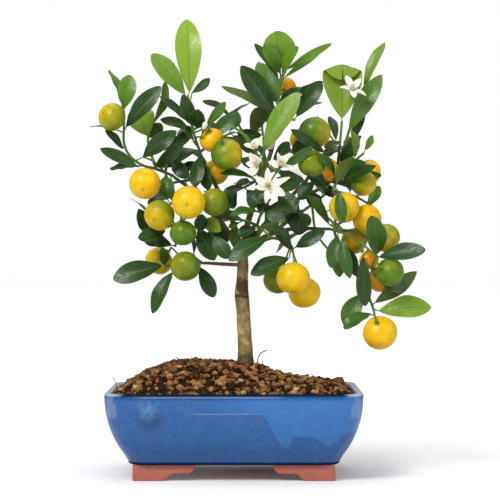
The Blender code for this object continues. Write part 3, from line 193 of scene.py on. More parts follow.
# The green twigs of each spray. The first twig grows on from the limb of the same name.
TWIGS = {
    "left_low": [
        [(205, 263, -8), (192, 257, -14), (178, 261, -19), (167, 267, -24)],
    ],
    "left_up": [
        [(200, 200, -13), (192, 212, -20), (180, 222, -22), (165, 228, -20), (152, 231, -20)],
        [(192, 212, -20), (201, 219, -24), (206, 228, -24)],
        [(180, 222, -22), (178, 236, -20), (175, 247, -19)],
    ],
    "left_outer": [
        [(174, 177, -12), (156, 169, -18), (142, 165, -22), (130, 156, -22), (124, 143, -21),
         (124, 126, -20), (124, 111, -20)],
        [(156, 169, -18), (150, 150, -12), (148, 138, -11), (152, 126, -8)],
        [(165, 173, -15), (168, 160, -8), (170, 148, -2)],
    ],
    "crown_left": [
        [(207, 169, -7), (200, 152, -14), (194, 134, -16), (190, 114, -14), (188, 95, -12)],
        [(200, 152, -14), (211, 144, -8), (222, 137, -2), (234, 132, 2)],
    ],
    "crown_centre": [
        [(276, 131, 5), (277, 114, 2), (279, 96, 0), (281, 76, -4)],
        [(277, 121, 3), (287, 119, -3), (295, 120, -8)],
        [(278, 104, 1), (285, 96, -2), (290, 92, -3)],
    ],
    "flowering": [
        [(257, 182, -26), (261, 170, -38), (263, 160, -44), (264, 154, -46)],
        [(261, 170, -38), (271, 167, -45), (277, 173, -50)],
        [(257, 182, -26), (268, 192, -32), (277, 190, -40)],
        [(257, 182, -26), (247, 186, -20), (237, 190, -14)],
    ],
    "crown_right": [
        [(303, 184, 8), (311, 173, -2), (322, 160, -8), (329, 150, -10), (335, 141, -8)],
        [(311, 173, -2), (300, 161, 0), (292, 151, 4)],
        [(311, 173, -2), (320, 182, -14), (327, 188, -26)],
        [(311, 173, -2), (303, 188, -6), (298, 203, -10), (294, 213, -12)],
    ],
    "right_crest": [
        [(334, 178, 4), (338, 161, 0), (340, 143, -2), (342, 121, -4)],
        [(338, 161, 0), (344, 147, 2), (349, 131, 4), (356, 111, 6), (363, 92, 8)],
        [(334, 178, 4), (348, 167, -6), (357, 159, -10), (364, 153, -10)],
        [(334, 178, 4), (346, 178, 6), (354, 174, 10)],
        [(334, 178, 4), (343, 181, -6), (349, 179, -15)],
    ],
    "right": [
        [(325, 230, -14), (334, 230, -18), (350, 236, -30), (366, 247, -40), (378, 259, -44)],
        [(334, 230, -18), (352, 231, -22), (364, 236, -21), (371, 244, -20)],
        [(334, 230, -18), (340, 223, -20), (350, 220, -24)],
        [
            (334, 230, -18), (339, 246, -13), (352, 268, -10), (366, 291, -18), (373, 308, -26),
            (375, 317, -32),
        ],
        [(334, 230, -18), (336, 214, -14), (337, 199, -12), (333, 191, -28), (334, 187, -44)],
    ],
    "low": [
        [(289, 245, -23), (293, 252, -28), (294, 258, -34)],
    ],
    "inner": [
        [(256, 226, -25), (263, 230, -33), (271, 237, -40)],
        [(256, 226, -25), (260, 216, -28), (264, 209, -30)],
        [(256, 226, -25), (246, 221, -21), (233, 219, -16), (223, 221, -12)],
    ],
    "back_left": [
        [(206, 200, 50), (190, 180, 66), (178, 160, 78), (172, 138, 82)],
        [(206, 200, 50), (184, 196, 60), (168, 206, 72)],
        [(206, 200, 50), (213, 176, 76), (213, 148, 90), (212, 124, 96)],
        [(206, 200, 50), (214, 222, 68), (212, 240, 82)],
        [(190, 180, 66), (168, 184, 60), (152, 192, 52)],
    ],
    "back_centre": [
        [(262, 176, 54), (264, 150, 72), (262, 122, 80), (264, 96, 76)],
        [(262, 176, 54), (256, 180, 84), (250, 176, 106)],
        [(264, 150, 72), (280, 134, 88), (292, 112, 92)],
        [(262, 176, 54), (268, 204, 74), (270, 226, 92)],
        [(264, 150, 72), (246, 136, 56), (236, 120, 44)],
    ],
    "back_right": [
        [(310, 206, 56), (330, 190, 68), (346, 172, 72), (354, 150, 70)],
        [(310, 206, 56), (326, 216, 72), (340, 230, 84)],
        [(310, 206, 56), (312, 182, 82), (318, 156, 96)],
        [(310, 206, 56), (316, 232, 66), (330, 252, 74)],
        [(330, 190, 68), (354, 196, 52), (372, 206, 40)],
    ],
}
# The leaves that the front view shows: base and tip in across, down, depth; width in mm; roll; tone
LEAVES = {
    "left_low": [
        Leaf((162, 265.5, -24), (113.4, 279.5, -30), 22, 0, "dark"),
        Leaf((172.5, 272, -24), (152, 313, -32), 15, 15, "painted_sheen"),
        Leaf((199.5, 267, -12), (214, 297, -16), 15, 10, "dark"),
        Leaf((165, 265, -26), (162, 248, -42), 11, 20, "mid"),
    ],
    "left_up": [
        Leaf((198, 229, -28), (214.5, 260.5, -34), 20, 5, "painted_sheen"),
        Leaf((205, 219, -27), (221, 231, -44), 13, 30, "pale"),
        Leaf((208, 230, -22), (229, 241, -36), 13, -20, "dark"),
        Leaf((146, 233, -20), (138, 208.5, -36), 14, 15, "dark"),
        Leaf((165, 231, -26), (138.5, 238.4, -42), 14, -20, "dark"),
        Leaf((174, 249, -18), (143, 240, -28), 17, 10, "dark"),
        Leaf((202, 214, -28), (199.7, 231, -46), 13, 0, "dark"),
        Leaf((213, 236, -44), (229.5, 258, -52), 15, 10, "dark"),
    ],
    "left_outer": [
        Leaf((138, 167, -24), (100.5, 148.5, -32), 12, -10, "dark"),
        Leaf((139, 166, -22), (109.8, 168.6, -32), 10, 30, "dark"),
        Leaf((126, 127, -24), (160.8, 86.5, -32), 18, 5, "dark"),
        Leaf((126, 111, -20), (129.5, 75, -22), 18, 5, "fresh"),
        Leaf((123, 110, -18), (109, 70, -12), 12, 50, "young"),
        Leaf((149, 141, -10), (136.5, 106.5, -2), 27, 0, "light"),
        Leaf((153, 124, -6), (166.5, 81.4, -2), 12, 55, "young"),
        Leaf((143, 157, -26), (176.7, 131, -38), 17, 15, "dark"),
        Leaf((154, 166, -20), (183.8, 143.3, -34), 13, 45, "dark"),
        Leaf((123, 149, -22), (106, 130, -28), 11, 25, "dark"),
        Leaf((122, 132, -16), (90, 127.5, -8), 7, 55, "mid"),
        Leaf((169, 158, -6), (189, 178, -18), 14, 25, "dark"),
        Leaf((166, 170, -18), (168, 198, -26), 16, 5, "mid"),
        Leaf((170, 176, -14), (174, 203, -20), 8, 40, "young"),
        Leaf((147, 138, -4), (162, 124, 2), 13, 20, "olive"),
        Leaf((153, 150, -8), (180, 138, 2), 12, 30, "dark"),
        Leaf((158, 167, -10), (183, 156, 4), 13, 20, "dark"),
    ],
    "crown_left": [
        Leaf((189.5, 92, -12), (186.5, 18.9, -8), 26, 0, "pale"),
        Leaf((185, 94, -12), (151.8, 54.3, -14), 21, 5, "young"),
        Leaf((192, 93, -10), (209.9, 78.5, -4), 9, 35, "mid"),
        Leaf((193, 126, -20), (182.5, 94.2, -30), 14, 0, "dark"),
        Leaf((188, 122, -12), (159.5, 96.7, -14), 14, 35, "dark"),
        Leaf((206, 126, -10), (225.5, 102, -4), 10, 30, "fresh"),
        Leaf((198, 128, -18), (198.4, 109, -46), 17, 0, "dark"),
        Leaf((190, 130, -14), (160, 119.7, -22), 14, 20, "dark"),
        Leaf((194, 142, -18), (184, 130, -46), 17, 0, "dark"),
        Leaf((210, 138, -16), (236.7, 114.6, -20), 15, 10, "mid"),
        Leaf((199, 155, -16), (194.6, 187.3, -30), 14, 0, "dark"),
        Leaf((203, 158, -12), (208, 190, -20), 13, 10, "dark"),
        Leaf((236, 133, 2), (262, 136, -4), 13, 40, "dark"),
        Leaf((228, 134, 0), (238, 112, 6), 12, 30, "mid"),
        Leaf((202, 160, -8), (178, 176, -2), 14, 20, "dark"),
        Leaf((197, 150, -10), (176, 161, -4), 13, 20, "dark"),
        Leaf((193, 132, -8), (176, 146, 2), 14, 10, "dark"),
        Leaf((206, 162.5, -3), (195, 182, 9), 15, 0, "dark"),
        Leaf((220, 138, 0), (204, 122, 10), 14, 15, "dark"),
    ],
    "crown_centre": [
        Leaf((274, 113, -2), (240.5, 66, -12), 22, 0, "dark"),
        Leaf((272, 114, 6), (221, 87, 10), 15, 30, "olive"),
        Leaf((280, 78, -4), (253.9, 43.8, -14), 13, 25, "mid"),
        Leaf((277, 106, 2), (258, 62, 6), 21, 0, "fresh"),
        Leaf((280, 68, -4), (276.5, 30.5, -26), 33, 0, "light"),
        Leaf((286, 70, -4), (331.8, 43.5, 0), 8, 20, "young"),
        Leaf((284, 78, -2), (321.5, 51, 8), 7, 20, "young"),
        Leaf((296, 119, -8), (321.5, 82.7, -14), 17, 5, "dark"),
        Leaf((291, 90, -3), (322.7, 81.5, 6), 11, 60, "mid"),
        Leaf((279, 103, -6), (301, 89.4, -18), 13, 20, "dark"),
        Leaf((280, 73, -12), (264, 47, -30), 15, 0, "fresh"),
        Leaf((282, 74, -12), (297, 47, -28), 14, 0, "young"),
    ],
    "flowering": [
        Leaf((263, 151, -46), (299, 92.2, -56), 22, 5, "light"),
        Leaf((257, 178, -32), (220.7, 172.6, -54), 13, 30, "mid"),
        Leaf((273, 162, -44), (289, 142, -38), 12, 25, "dark"),
        Leaf((279, 168, -46), (313, 147, -60), 10, 45, "mid"),
        Leaf((258, 156, -40), (232.2, 123.5, -44), 8, 50, "young"),
        Leaf((277, 191, -41), (296, 211, -54), 18, 5, "dark"),
        Leaf((272, 189, -36), (301, 181, -44), 11, 40, "mid"),
        Leaf((262, 188, -28), (249, 206, -34), 15, 10, "dark"),
        Leaf((246, 186, -22), (221, 197, -26), 12, 20, "dark"),
        Leaf((246, 187, -16), (263, 207, -8), 15, 10, "dark"),
        Leaf((238, 190, -12), (229, 208, -4), 14, 10, "dark"),
        Leaf((254, 181, -25), (233, 183, -8), 12, 30, "dark"),
        Leaf((278, 172, -46), (303, 180, -52), 12, 30, "dark"),
        Leaf((262, 172, -30), (241, 158, -26), 15, 10, "dark"),
        Leaf((266, 160, -36), (246, 142, -30), 14, 20, "dark"),
        Leaf((270, 186, -38), (257, 203, -26), 14, 10, "dark"),
    ],
    "crown_right": [
        Leaf((324.5, 152.5, -44), (290.6, 128.8, -56), 14, 0, "dark"),
        Leaf((336, 140, -8), (330, 115.5, -4), 10, 20, "dark"),
        Leaf((335, 177, -28), (315.5, 153, -62), 12, 10, "mid"),
        Leaf((341, 142, -6), (325, 147, -14), 9, 20, "olive"),
        Leaf((326, 186, -26), (307, 172, -34), 14, 30, "dark"),
        Leaf((317, 178, -8), (338, 166, 0), 13, 20, "dark"),
        Leaf((314, 178, -8), (300, 200, -14), 15, 20, "dark"),
        Leaf((301, 210, -14), (298, 235, -14), 18, 5, "dark"),
        Leaf((297, 205, -10), (281, 221, -4), 14, 10, "dark"),
        Leaf((302, 190, -8), (321, 206, -8), 14, 10, "dark"),
        Leaf((297, 203, -10), (291, 228, -6), 14, 10, "dark"),
    ],
    "right_crest": [
        Leaf((342.5, 119, -4), (342, 66.5, -14), 37, 0, "pale"),
        Leaf((349, 130, 0), (381.5, 74.8, 6), 19, 5, "fresh"),
        Leaf((360.5, 92, 8), (384, 42, 12), 12, -25, "light"),
        Leaf((354, 140, 8), (360, 104, 18), 14, 5, "dark"),
        Leaf((340, 163, -4), (359, 140, -14), 13, 10, "dark"),
        Leaf((363.5, 155, -10), (372.5, 135.5, -12), 8, 40, "young"),
        Leaf((352.5, 160, -10), (352, 130, -18), 9, 30, "young"),
        Leaf((337, 150, 2), (322, 156, 6), 12, 10, "dark"),
        Leaf((340, 171, -2), (366, 163, -12), 13, 25, "mid"),
        Leaf((343, 181, -6), (374, 166, -32), 14, 30, "dark"),
        Leaf((356, 176, 0), (381.5, 175, -22), 9, 40, "mid"),
        Leaf((352, 178, -20), (359.5, 201, -42), 13, 0, "mid"),
    ],
    "right": [
        Leaf((336, 234, -22), (331, 267.5, -32), 15, 0, "mid"),
        Leaf((339, 242, -12), (339.5, 277, -8), 14, 10, "olive"),
        Leaf((342, 238, -26), (350, 278, -32), 13, 15, "mid"),
        Leaf((346, 245, -18), (356, 276, -16), 13, 10, "dark"),
        Leaf((363, 256, -36), (365, 306, -36), 15, 5, "dark"),
        Leaf((362, 294, -22), (344, 324.5, -30), 19, 0, "mid"),
        Leaf((371, 314, -30), (344, 327.5, -42), 15, 20, "mid"),
        Leaf((379, 311, -30), (431, 307.5, -36), 23, 0, "light"),
        Leaf((373, 302, -24), (417, 271.5, -12), 16, 30, "olive"),
        Leaf((379, 257, -46), (425.6, 250, -58), 18, 0, "dark"),
        Leaf((377, 254, -36), (371.5, 217, -68), 20, 0, "mid"),
        Leaf((371, 270, -30), (406.5, 290, -32), 20, 5, "painted_sheen"),
        Leaf((338.5, 191, -50), (343, 222.5, -56), 12, 10, "mid"),
        Leaf((329, 224, -20), (307.6, 195, -36), 13, 20, "mid"),
        Leaf((337, 200, -10), (318, 186, -4), 14, 15, "dark"),
        Leaf((367, 207, -8), (379.5, 186, 2), 11, 10, "young"),
    ],
    "low": [
        Leaf((292, 252, -30), (273.5, 225.5, -40), 16, 20, "dark"),
        Leaf((296, 249, -26), (324.8, 231.4, -34), 14, 10, "dark"),
        Leaf((289, 258, -34), (250.8, 273.5, -42), 18, 5, "painted_sheen"),
    ],
    "inner": [
        Leaf((271, 239, -42), (229, 259.5, -54), 18, 5, "painted_sheen"),
        Leaf((262, 209, -32), (230.3, 214.2, -48), 13, 30, "mid"),
        Leaf((259, 229, -30), (238, 236, -40), 14, 20, "dark"),
        Leaf((264, 206, -32), (285, 222, -46), 16, 15, "dark"),
        Leaf((266, 210, -26), (296, 206, -20), 15, 20, "dark"),
        Leaf((248, 221, -22), (214, 216, -10), 14, 25, "olive"),
        Leaf((224, 221, -12), (210, 242, -6), 13, 10, "dark"),
        Leaf((234, 221, -14), (237, 249, -6), 12, 25, "olive"),
        Leaf((263, 231, -33), (244, 241, -24), 12, 20, "mid"),
        Leaf((266, 208, -34), (275, 230, -28), 15, 0, "dark"),
        Leaf((245, 222, -22), (229, 228, -18), 8, 30, "young"),
    ],
}
# The fruit: spray, centre across and down, depth, diameter in pixels, where the stem end points, peel
FRUITS = [
    Fruit("fruit_01", "left_outer", 112, 117, -34, 28, (0.6, -0.3, -0.7), "turning"),
    Fruit("fruit_02", "left_outer", 145, 183.6, -40, 31.8, (0.1, 0.42, -0.85), "yellow"),
    Fruit("fruit_03", "left_up", 159.5, 215.3, -46, 30.8, (0.3, 0.28, -0.85), "yellow"),
    Fruit("fruit_04", "left_up", 188.6, 202.4, -62, 33.6, (0.1, 0.16, -0.95), "yellow"),
    Fruit("fruit_05", "left_up", 214.4, 202.2, -40, 27.8, (-0.1, 0.15, -0.95), "green"),
    Fruit("fruit_06", "left_up", 183, 233, -48, 26.5, (-0.1, 0.9, 0.3), "green"),
    Fruit("fruit_07", "left_low", 185.3, 266.3, -42, 30, (0.2, 0.3, -0.9), "green"),
    Fruit("fruit_08", "left_low", 159, 261, -2, 28, (0.5, 0.5, -0.1), "turning"),
    Fruit("fruit_09", "crown_left", 212, 140, -24, 25, (-0.2, 0.7, 0.7), "orange"),
    Fruit("fruit_10", "crown_left", 226.6, 154, -50, 32, (-0.3, 0.7, 0.6), "turning"),
    Fruit("fruit_11", "crown_left", 216, 172, 10, 26, (-0.6, 0.2, 0.8), "green"),
    Fruit("fruit_12", "crown_centre", 286.5, 87.5, 12, 20, (-0.3, -0.4, 0.9), "orange"),
    Fruit("fruit_13", "crown_right", 314.8, 132.4, -35, 32, (0.2, 0.7, -0.6), "turning"),
    Fruit("fruit_14", "crown_right", 300.5, 139.5, -8, 22, (-0.4, 0.3, -0.8), "turning"),
    Fruit("fruit_15", "crown_right", 311.5, 163.3, -44, 28, (0.3, 0.7, -0.6), "green"),
    Fruit("fruit_16", "crown_right", 326, 169.5, -20, 25, (-0.2, 0.6, -0.7), "orange"),
    Fruit("fruit_17", "right_crest", 368.5, 172.5, 6, 26, (-0.7, 0.4, -0.3), "yellow"),
    Fruit("fruit_18", "right_crest", 363.8, 183.6, -20, 26, (-0.5, 0.7, -0.3), "yellow"),
    Fruit("fruit_19", "right", 344.2, 207.2, -32, 31, (-0.4, 0.6, -0.6), "yellow"),
    Fruit("fruit_20", "right", 367, 219.3, -48, 30, (-0.7, 0.0, -0.7), "yellow"),
    Fruit("fruit_21", "right", 354.3, 241, -26, 27, (-0.6, 0.6, -0.2), "turning"),
    Fruit("fruit_22", "right", 386.5, 238, -32, 28.5, (-0.8, 0.2, -0.2), "turning"),
    Fruit("fruit_23", "right", 389.7, 272.3, -48, 29, (-0.65, 0.35, 0.65), "green"),
    Fruit("fruit_24", "right", 381, 278.6, -14, 28, (-0.5, 0.7, -0.2), "orange"),
    Fruit("fruit_25", "right", 369, 260, -24, 20, (-0.6, 0.8, -0.1), "orange"),
    Fruit("fruit_26", "right", 380, 332.8, -42, 34.6, (-0.25, 0.65, 0.72), "yellow"),
    Fruit("fruit_27", "low", 293.2, 278.2, -50, 33.6, (0.05, 1.0, -0.5), "yellow"),
    Fruit("fruit_28", "low", 304.4, 292.6, -18, 32.4, (-0.2, 1.0, -0.2), "yellow"),
    Fruit("fruit_29", "low", 277, 280.6, -20, 27.5, (0.4, 0.9, -0.2), "green"),
    Fruit("fruit_30", "back_left", 188, 204, 90, 30, (-0.1, 0.9, -0.3), "yellow"),
    Fruit("fruit_31", "back_centre", 228, 157, 100, 29, (0.3, 0.8, -0.3), "orange"),
    Fruit("fruit_32", "back_right", 345, 209, 90, 29, (-0.4, 0.8, -0.3), "yellow"),
]
# The blooms: spray, base across and down, depth, which way the mouth faces, petal length, kind
BLOOMS = [
    Bloom("bloom_1", "flowering", 268, 186, -62, (0.05, -0.05, 1.0), 14.5, "open"),
    Bloom("bloom_2", "flowering", 280, 167, -62, (0.25, 0.75, 0.6), 14.0, "open"),
    Bloom("bloom_3", "flowering", 256, 150, -56, (-0.35, 0.85, 0.35), 12.5, "cup"),
    Bloom("bloom_4", "flowering", 259, 165, -54, (-0.6, 0.1, 0.8), 12.0, "cup"),
    Bloom("bloom_5", "flowering", 270, 152, -36, (0.27, 0.95, 0.0), 17.0, "bud"),
    Bloom("bloom_6", "right_crest", 352, 91, -18, (0.15, 0.75, 0.65), 14.0, "open"),
    Bloom("bloom_7", "crown_centre", 286, 68, -18, (0.2, 1.0, 0.1), 12.0, "bud"),
    Bloom("bloom_8", "crown_left", 203, 131, -36, (0.3, 0.9, 0.3), 10.0, "bud"),
]


def colour_setting(name, description, default):
    """A colour that a user may change."""
    return FloatVectorProperty(
        name=name, description=description, default=default, subtype="COLOR", size=3, min=0.0, max=1.0
    )


def size_setting(name, description, default):
    """A length that a user may change."""
    return FloatProperty(
        name=name, description=description, default=default, subtype="DISTANCE", unit="LENGTH"
    )


def share_setting(name, description, default):
    """A share from nought to one that a user may change."""
    return FloatProperty(
        name=name, description=description, default=default, subtype="FACTOR", min=0.0, max=1.0
    )


def count_setting(name, description, default, least=0):
    """A number of pieces that a user may change."""
    return IntProperty(name=name, description=description, default=default, min=least)


def power_setting(name, description, default):
    """A light's power that a user may change."""
    return FloatProperty(name=name, description=description, default=default, unit="POWER")


class PotSettings(bpy.types.PropertyGroup):
    glaze: colour_setting("Glaze", "Deep blue of the glazed body", (0.004, 0.084, 0.315))
    run: colour_setting("Run", "Lighter blue where the second dip of glaze ran down", (0.016, 0.150, 0.455))
    # The rim colour is a painted reflection on the rim and inside the wall, and also colours the painted
    # highlight lines on the front
    rim: colour_setting("Rim", "Pale grey-blue where the glaze is thin on the rim", (0.47, 0.51, 0.55))
    edge: colour_setting("Edge", "Near-black blue where the glaze breaks over an edge", (0.006, 0.014, 0.05))
    bloom: colour_setting("Bloom", "Milky blue that clouds the glaze", (0.110, 0.245, 0.470))
    clay: colour_setting("Clay", "Unglazed red clay of the feet", (0.43, 0.125, 0.088))
    gloss: share_setting("Gloss roughness", "Roughness of the glaze", 0.12)
    run_thickness: size_setting("Run thickness", "How proud the run of glaze stands", 0.35 * MM)


class SoilSettings(bpy.types.PropertyGroup):
    earth: colour_setting("Earth", "Dark humus between the granules", (0.018, 0.008, 0.003))
    bark_chip: colour_setting("Bark chip", "Red-brown bark and coir", (0.170, 0.054, 0.016))
    granule: colour_setting("Granule", "Tan baked granules", (0.335, 0.160, 0.050))
    chips: count_setting("Chips", "How many loose pieces are tried on the mound", 3300)
    chip_size: size_setting("Chip size", "Largest half-width of a common chip", 4.2 * MM)
    fibres: count_setting("Fibres", "How many loose coir fibres are tried on the mound", 150)


class WoodSettings(bpy.types.PropertyGroup):
    bark: colour_setting("Bark", "Grey-tan bark of the trunk", (0.56, 0.385, 0.170))
    moss: colour_setting("Moss", "Olive bloom on the lower trunk", (0.200, 0.178, 0.066))
    scar: colour_setting("Scar", "Dark brown band at the old graft", (0.085, 0.038, 0.020))
    twig: colour_setting("Young wood", "Green bark of the limbs", (0.055, 0.095, 0.020))
    relief: size_setting("Relief", "Depth of the bark's furrows", 0.35 * MM)


class LeafSettings(bpy.types.PropertyGroup):
    dark: colour_setting("Old leaf", "Deep green of a leaf in its second year", (0.009, 0.038, 0.006))
    middle: colour_setting("Grown leaf", "Green of a grown leaf", (0.036, 0.105, 0.011))
    young: colour_setting("Young leaf", "Light green of a young leaf", (0.120, 0.255, 0.010))
    pale: colour_setting("New leaf", "Yellow-green of a leaf just opened", (0.245, 0.375, 0.028))
    back: colour_setting("Underside", "Greyed olive of a leaf's underside", (0.120, 0.165, 0.035))
    twig: colour_setting("Twig", "Green of the twigs and stalks", (0.095, 0.195, 0.018))
    thickness: size_setting("Thickness", "Thickness of a blade", 0.42 * MM)
    veins: count_setting("Side veins", "Pairs of side veins in a leaf", 9, least=1)


class FruitSettings(bpy.types.PropertyGroup):
    green: colour_setting("Green", "Peel before it turns", (0.060, 0.120, 0.004))
    turning: colour_setting("Turning", "Olive peel half way", (0.290, 0.280, 0.004))
    yellow: colour_setting("Yellow", "Ripe peel", (0.810, 0.515, 0.003))
    orange: colour_setting("Orange", "Fully ripe peel", (0.820, 0.225, 0.003))
    scar: colour_setting("Scar", "Brown scar at the blossom end", (0.180, 0.090, 0.020))
    pore: size_setting("Pores", "Distance between the peel's oil glands", 0.95 * MM)


class BloomSettings(bpy.types.PropertyGroup):
    petal: colour_setting("Petal", "White of the petals", (0.820, 0.800, 0.710))
    throat: colour_setting("Throat", "Faint green at a petal's foot", (0.600, 0.640, 0.340))
    anther: colour_setting("Anther", "Yellow tips of the stamens", (0.800, 0.640, 0.250))
    stamens: count_setting("Stamens", "Stamens in a bloom", 14, least=1)
    thickness: size_setting("Thickness", "Thickness of a petal", 0.6 * MM)


class StageSettings(bpy.types.PropertyGroup):
    floor: colour_setting("Floor", "Pale floor and backdrop", (0.86, 0.86, 0.86))
    world: FloatProperty(name="Sky", description="Strength of the sky's light", default=0.40, min=0.0)
    key: power_setting("Key light", "Power of the large soft light", 31.0)
    fill: power_setting("Fill light", "Power of the light that fills shadows", 8.0)


# The strength of a coat that shows through its whole mask
FULL = 1.0


def node(tree, kind, inputs=None, **settings):
    """A new node with its settings made and its inputs set or wired."""
    made = tree.nodes.new(kind)
    for name, value in settings.items():
        setattr(made, name, value)
    for name, value in (inputs or {}).items():
        if isinstance(value, bpy.types.NodeSocket):
            tree.links.new(value, made.inputs[name])
        else:
            made.inputs[name].default_value = value
    return made


def maths(tree, operation, *values, clamp=False):
    """The result of one sum."""
    settings = {"operation": operation, "use_clamp": clamp}
    return node(tree, "ShaderNodeMath", dict(enumerate(values)), **settings).outputs[0]


def times(tree, first, second, clamp=False):
    """The product of two values."""
    return maths(tree, "MULTIPLY", first, second, clamp=clamp)


def spread(tree, value, low, high, to_low=0.0, to_high=1.0):
    """A value's smooth step from one range to another."""
    rows = {"Value": value, "From Min": low, "From Max": high, "To Min": to_low, "To Max": to_high}
    return node(tree, "ShaderNodeMapRange", rows, interpolation_type="SMOOTHSTEP").outputs["Result"]


def mixed(tree, amount, first, second):
    """Two colours mixed by an amount."""
    pair = [c if isinstance(c, bpy.types.NodeSocket) else (*c, 1.0) for c in (first, second)]
    return node(tree, "ShaderNodeMix", {0: amount, 6: pair[0], 7: pair[1]}, data_type="RGBA").outputs[2]


def coated(tree, own, coats):
    """A colour with others laid over it: each a colour, the mask it shows through, and its strength."""
    for shade, mask, strength in coats:
        amount = mask if strength == FULL else times(tree, mask, strength)
        own = mixed(tree, amount, own, shade)
    return own


def scaled(shade, factor):
    """A colour made darker or lighter."""
    return [min(1.0, v * factor) for v in shade]


def blended(first, second, share):
    """The colour that lies a share of the way from one to another."""
    return [a * (1 - share) + b * share for a, b in zip(first, second)]


def ramped(tree, value, stops):
    """A colour read off a ramp of (place, colour)."""
    made = node(tree, "ShaderNodeValToRGB", {"Fac": value})
    elements = made.color_ramp.elements
    for _ in range(len(stops) - len(elements)):
        elements.new(0.5)
    for element, (place, shade) in zip(elements, stops):
        element.position = place
        element.color = (*shade, 1.0)
    return made.outputs["Color"]


def noisy(tree, vector, scale, detail=3.0):
    """Even noise about one half."""
    rows = {"Vector": vector, "Scale": scale, "Detail": detail, "Roughness": 0.55}
    return node(tree, "ShaderNodeTexNoise", rows).outputs["Fac"]


def attribute(tree, name):
    """A value that the mesh carries for each of its points."""
    return node(tree, "ShaderNodeAttribute", attribute_name=name).outputs["Fac"]


def new_group(name, inputs, outputs):
    """A node group with named sockets, each given as name, kind and default."""
    group = bpy.data.node_groups.new(name, "ShaderNodeTree")
    for title, kind, default in inputs:
        socket = group.interface.new_socket(title, in_out="INPUT", socket_type=kind)
        if default is not None:
            socket.default_value = default
    for title, kind in outputs:
        group.interface.new_socket(title, in_out="OUTPUT", socket_type=kind)
    return group, group.nodes.new("NodeGroupInput").outputs, group.nodes.new("NodeGroupOutput").inputs


def mottle_group():
    """Cloudy patches and fine specks, as two masks from 0 to 1."""
    sockets = [("Vector", "NodeSocketVector", None), ("Scale", "NodeSocketFloat", 100.0)]
    outputs = [("Cloud", "NodeSocketFloat"), ("Speck", "NodeSocketFloat")]
    group, given, result = new_group("Mottle", sockets, outputs)
    broad = noisy(group, given["Vector"], given["Scale"], 4.0)
    fine = noisy(group, given["Vector"], times(group, given["Scale"], 9.0), 2.0)
    group.links.new(spread(group, broad, 0.3, 0.7), result["Cloud"])
    group.links.new(spread(group, fine, 0.5, 0.72), result["Speck"])
    return group


def vein_group():
    """A leaf's midrib and its side veins, from a UV that runs across and along the blade."""
    sockets = [("UV", "NodeSocketVector", None), ("Pairs", "NodeSocketFloat", 9.0)]
    outputs = [(title, "NodeSocketFloat") for title in ("Midrib", "Veins", "Edge")]
    group, given, result = new_group("Leaf veins", sockets, outputs)
    place = node(group, "ShaderNodeSeparateXYZ", {0: given["UV"]}).outputs
    off_middle = maths(group, "ABSOLUTE", maths(group, "MULTIPLY_ADD", place["X"], 2.0, -1.0))
    row = times(group, place["Y"], given["Pairs"])
    slant = times(group, maths(group, "POWER", off_middle, 1.25), 2.4)
    line = maths(group, "PINGPONG", maths(group, "SUBTRACT", row, slant), 0.5)
    veins = spread(group, line, 0.02, 0.13, 1.0, 0.0)
    near_edge = spread(group, off_middle, 0.7, 0.98, 1.0, 0.0)
    thin = spread(group, place["Y"], 0.0, 1.0, 0.11, 0.045)
    midrib = spread(group, maths(group, "DIVIDE", off_middle, thin), 0.35, 1.0, 1.0, 0.0)
    group.links.new(midrib, result["Midrib"])
    group.links.new(times(group, veins, near_edge), result["Veins"])
    group.links.new(spread(group, off_middle, 0.84, 1.0), result["Edge"])
    return group


def pitted_group():
    """Small round pits, as a height and a mask."""
    sockets = [("Vector", "NodeSocketVector", None), ("Scale", "NodeSocketFloat", 1000.0)]
    outputs = [("Height", "NodeSocketFloat"), ("Pit", "NodeSocketFloat")]
    group, given, result = new_group("Pits", sockets, outputs)
    cells = node(group, "ShaderNodeTexVoronoi", {"Vector": given["Vector"], "Scale": given["Scale"]})
    pit = spread(group, cells.outputs["Distance"], 0.08, 0.42, 1.0, 0.0)
    group.links.new(times(group, pit, -1.0), result["Height"])
    group.links.new(pit, result["Pit"])
    return group


def group_in(tree, name, **inputs):
    """The outputs of a node group that more than one finish uses. The group is built the first time."""
    makers = {"Mottle": mottle_group, "Leaf veins": vein_group, "Pits": pitted_group}
    group = bpy.data.node_groups.get(name) or makers[name]()
    return node(tree, "ShaderNodeGroup", inputs, node_tree=group).outputs


def mottled(tree, place, *scales):
    """The clouds and specks at each of some scales."""
    found = [group_in(tree, "Mottle", Vector=place, Scale=float(scale)) for scale in scales]
    return found if len(found) > 1 else found[0]


def new_finish(name, **values):
    """A material with one Principled shader, whose plain values are set by socket name."""
    material = bpy.data.materials.new(name)
    material.use_nodes = True
    tree = material.node_tree
    shader = tree.nodes["Principled BSDF"]
    for title, value in values.items():
        shader.inputs[title.replace("_", " ")].default_value = value
    return material, tree, shader, node(tree, "ShaderNodeTexCoord").outputs


def wired(tree, shader, **sources):
    """Wires values to the shader's sockets, by socket name."""
    for title, source in sources.items():
        tree.links.new(source, shader.inputs[title.replace("_", " ")])


def from_pot(tree, given):
    """A place as measured from the middle of the pot's underside."""
    return node(tree, "ShaderNodeMapping", {"Vector": given["Object"], "Location": -STAND}).outputs[0]


def raised(tree, shader, height, distance, strength=1.0):
    """Relief on a finish, from a height between 0 and 1 that stands for a distance."""
    rows = {"Height": height, "Distance": distance, "Strength": strength}
    tree.links.new(node(tree, "ShaderNodeBump", rows).outputs["Normal"], shader.inputs["Normal"])


# The glaze's run on the front: the height in mm of its lower edge at places along the pot in mm
RUN_EDGE = [
    (-125, 88), (-60, 66), (-20, 65), (12, 64), (24, 63), (32, 56), (37, 45), (43, 36.6), (50, 32),
    (53, 34.7), (57, 41.3), (69, 42), (81, 38.5), (88, 33.3), (94.5, 36.6), (102, 43), (125, 52),
]
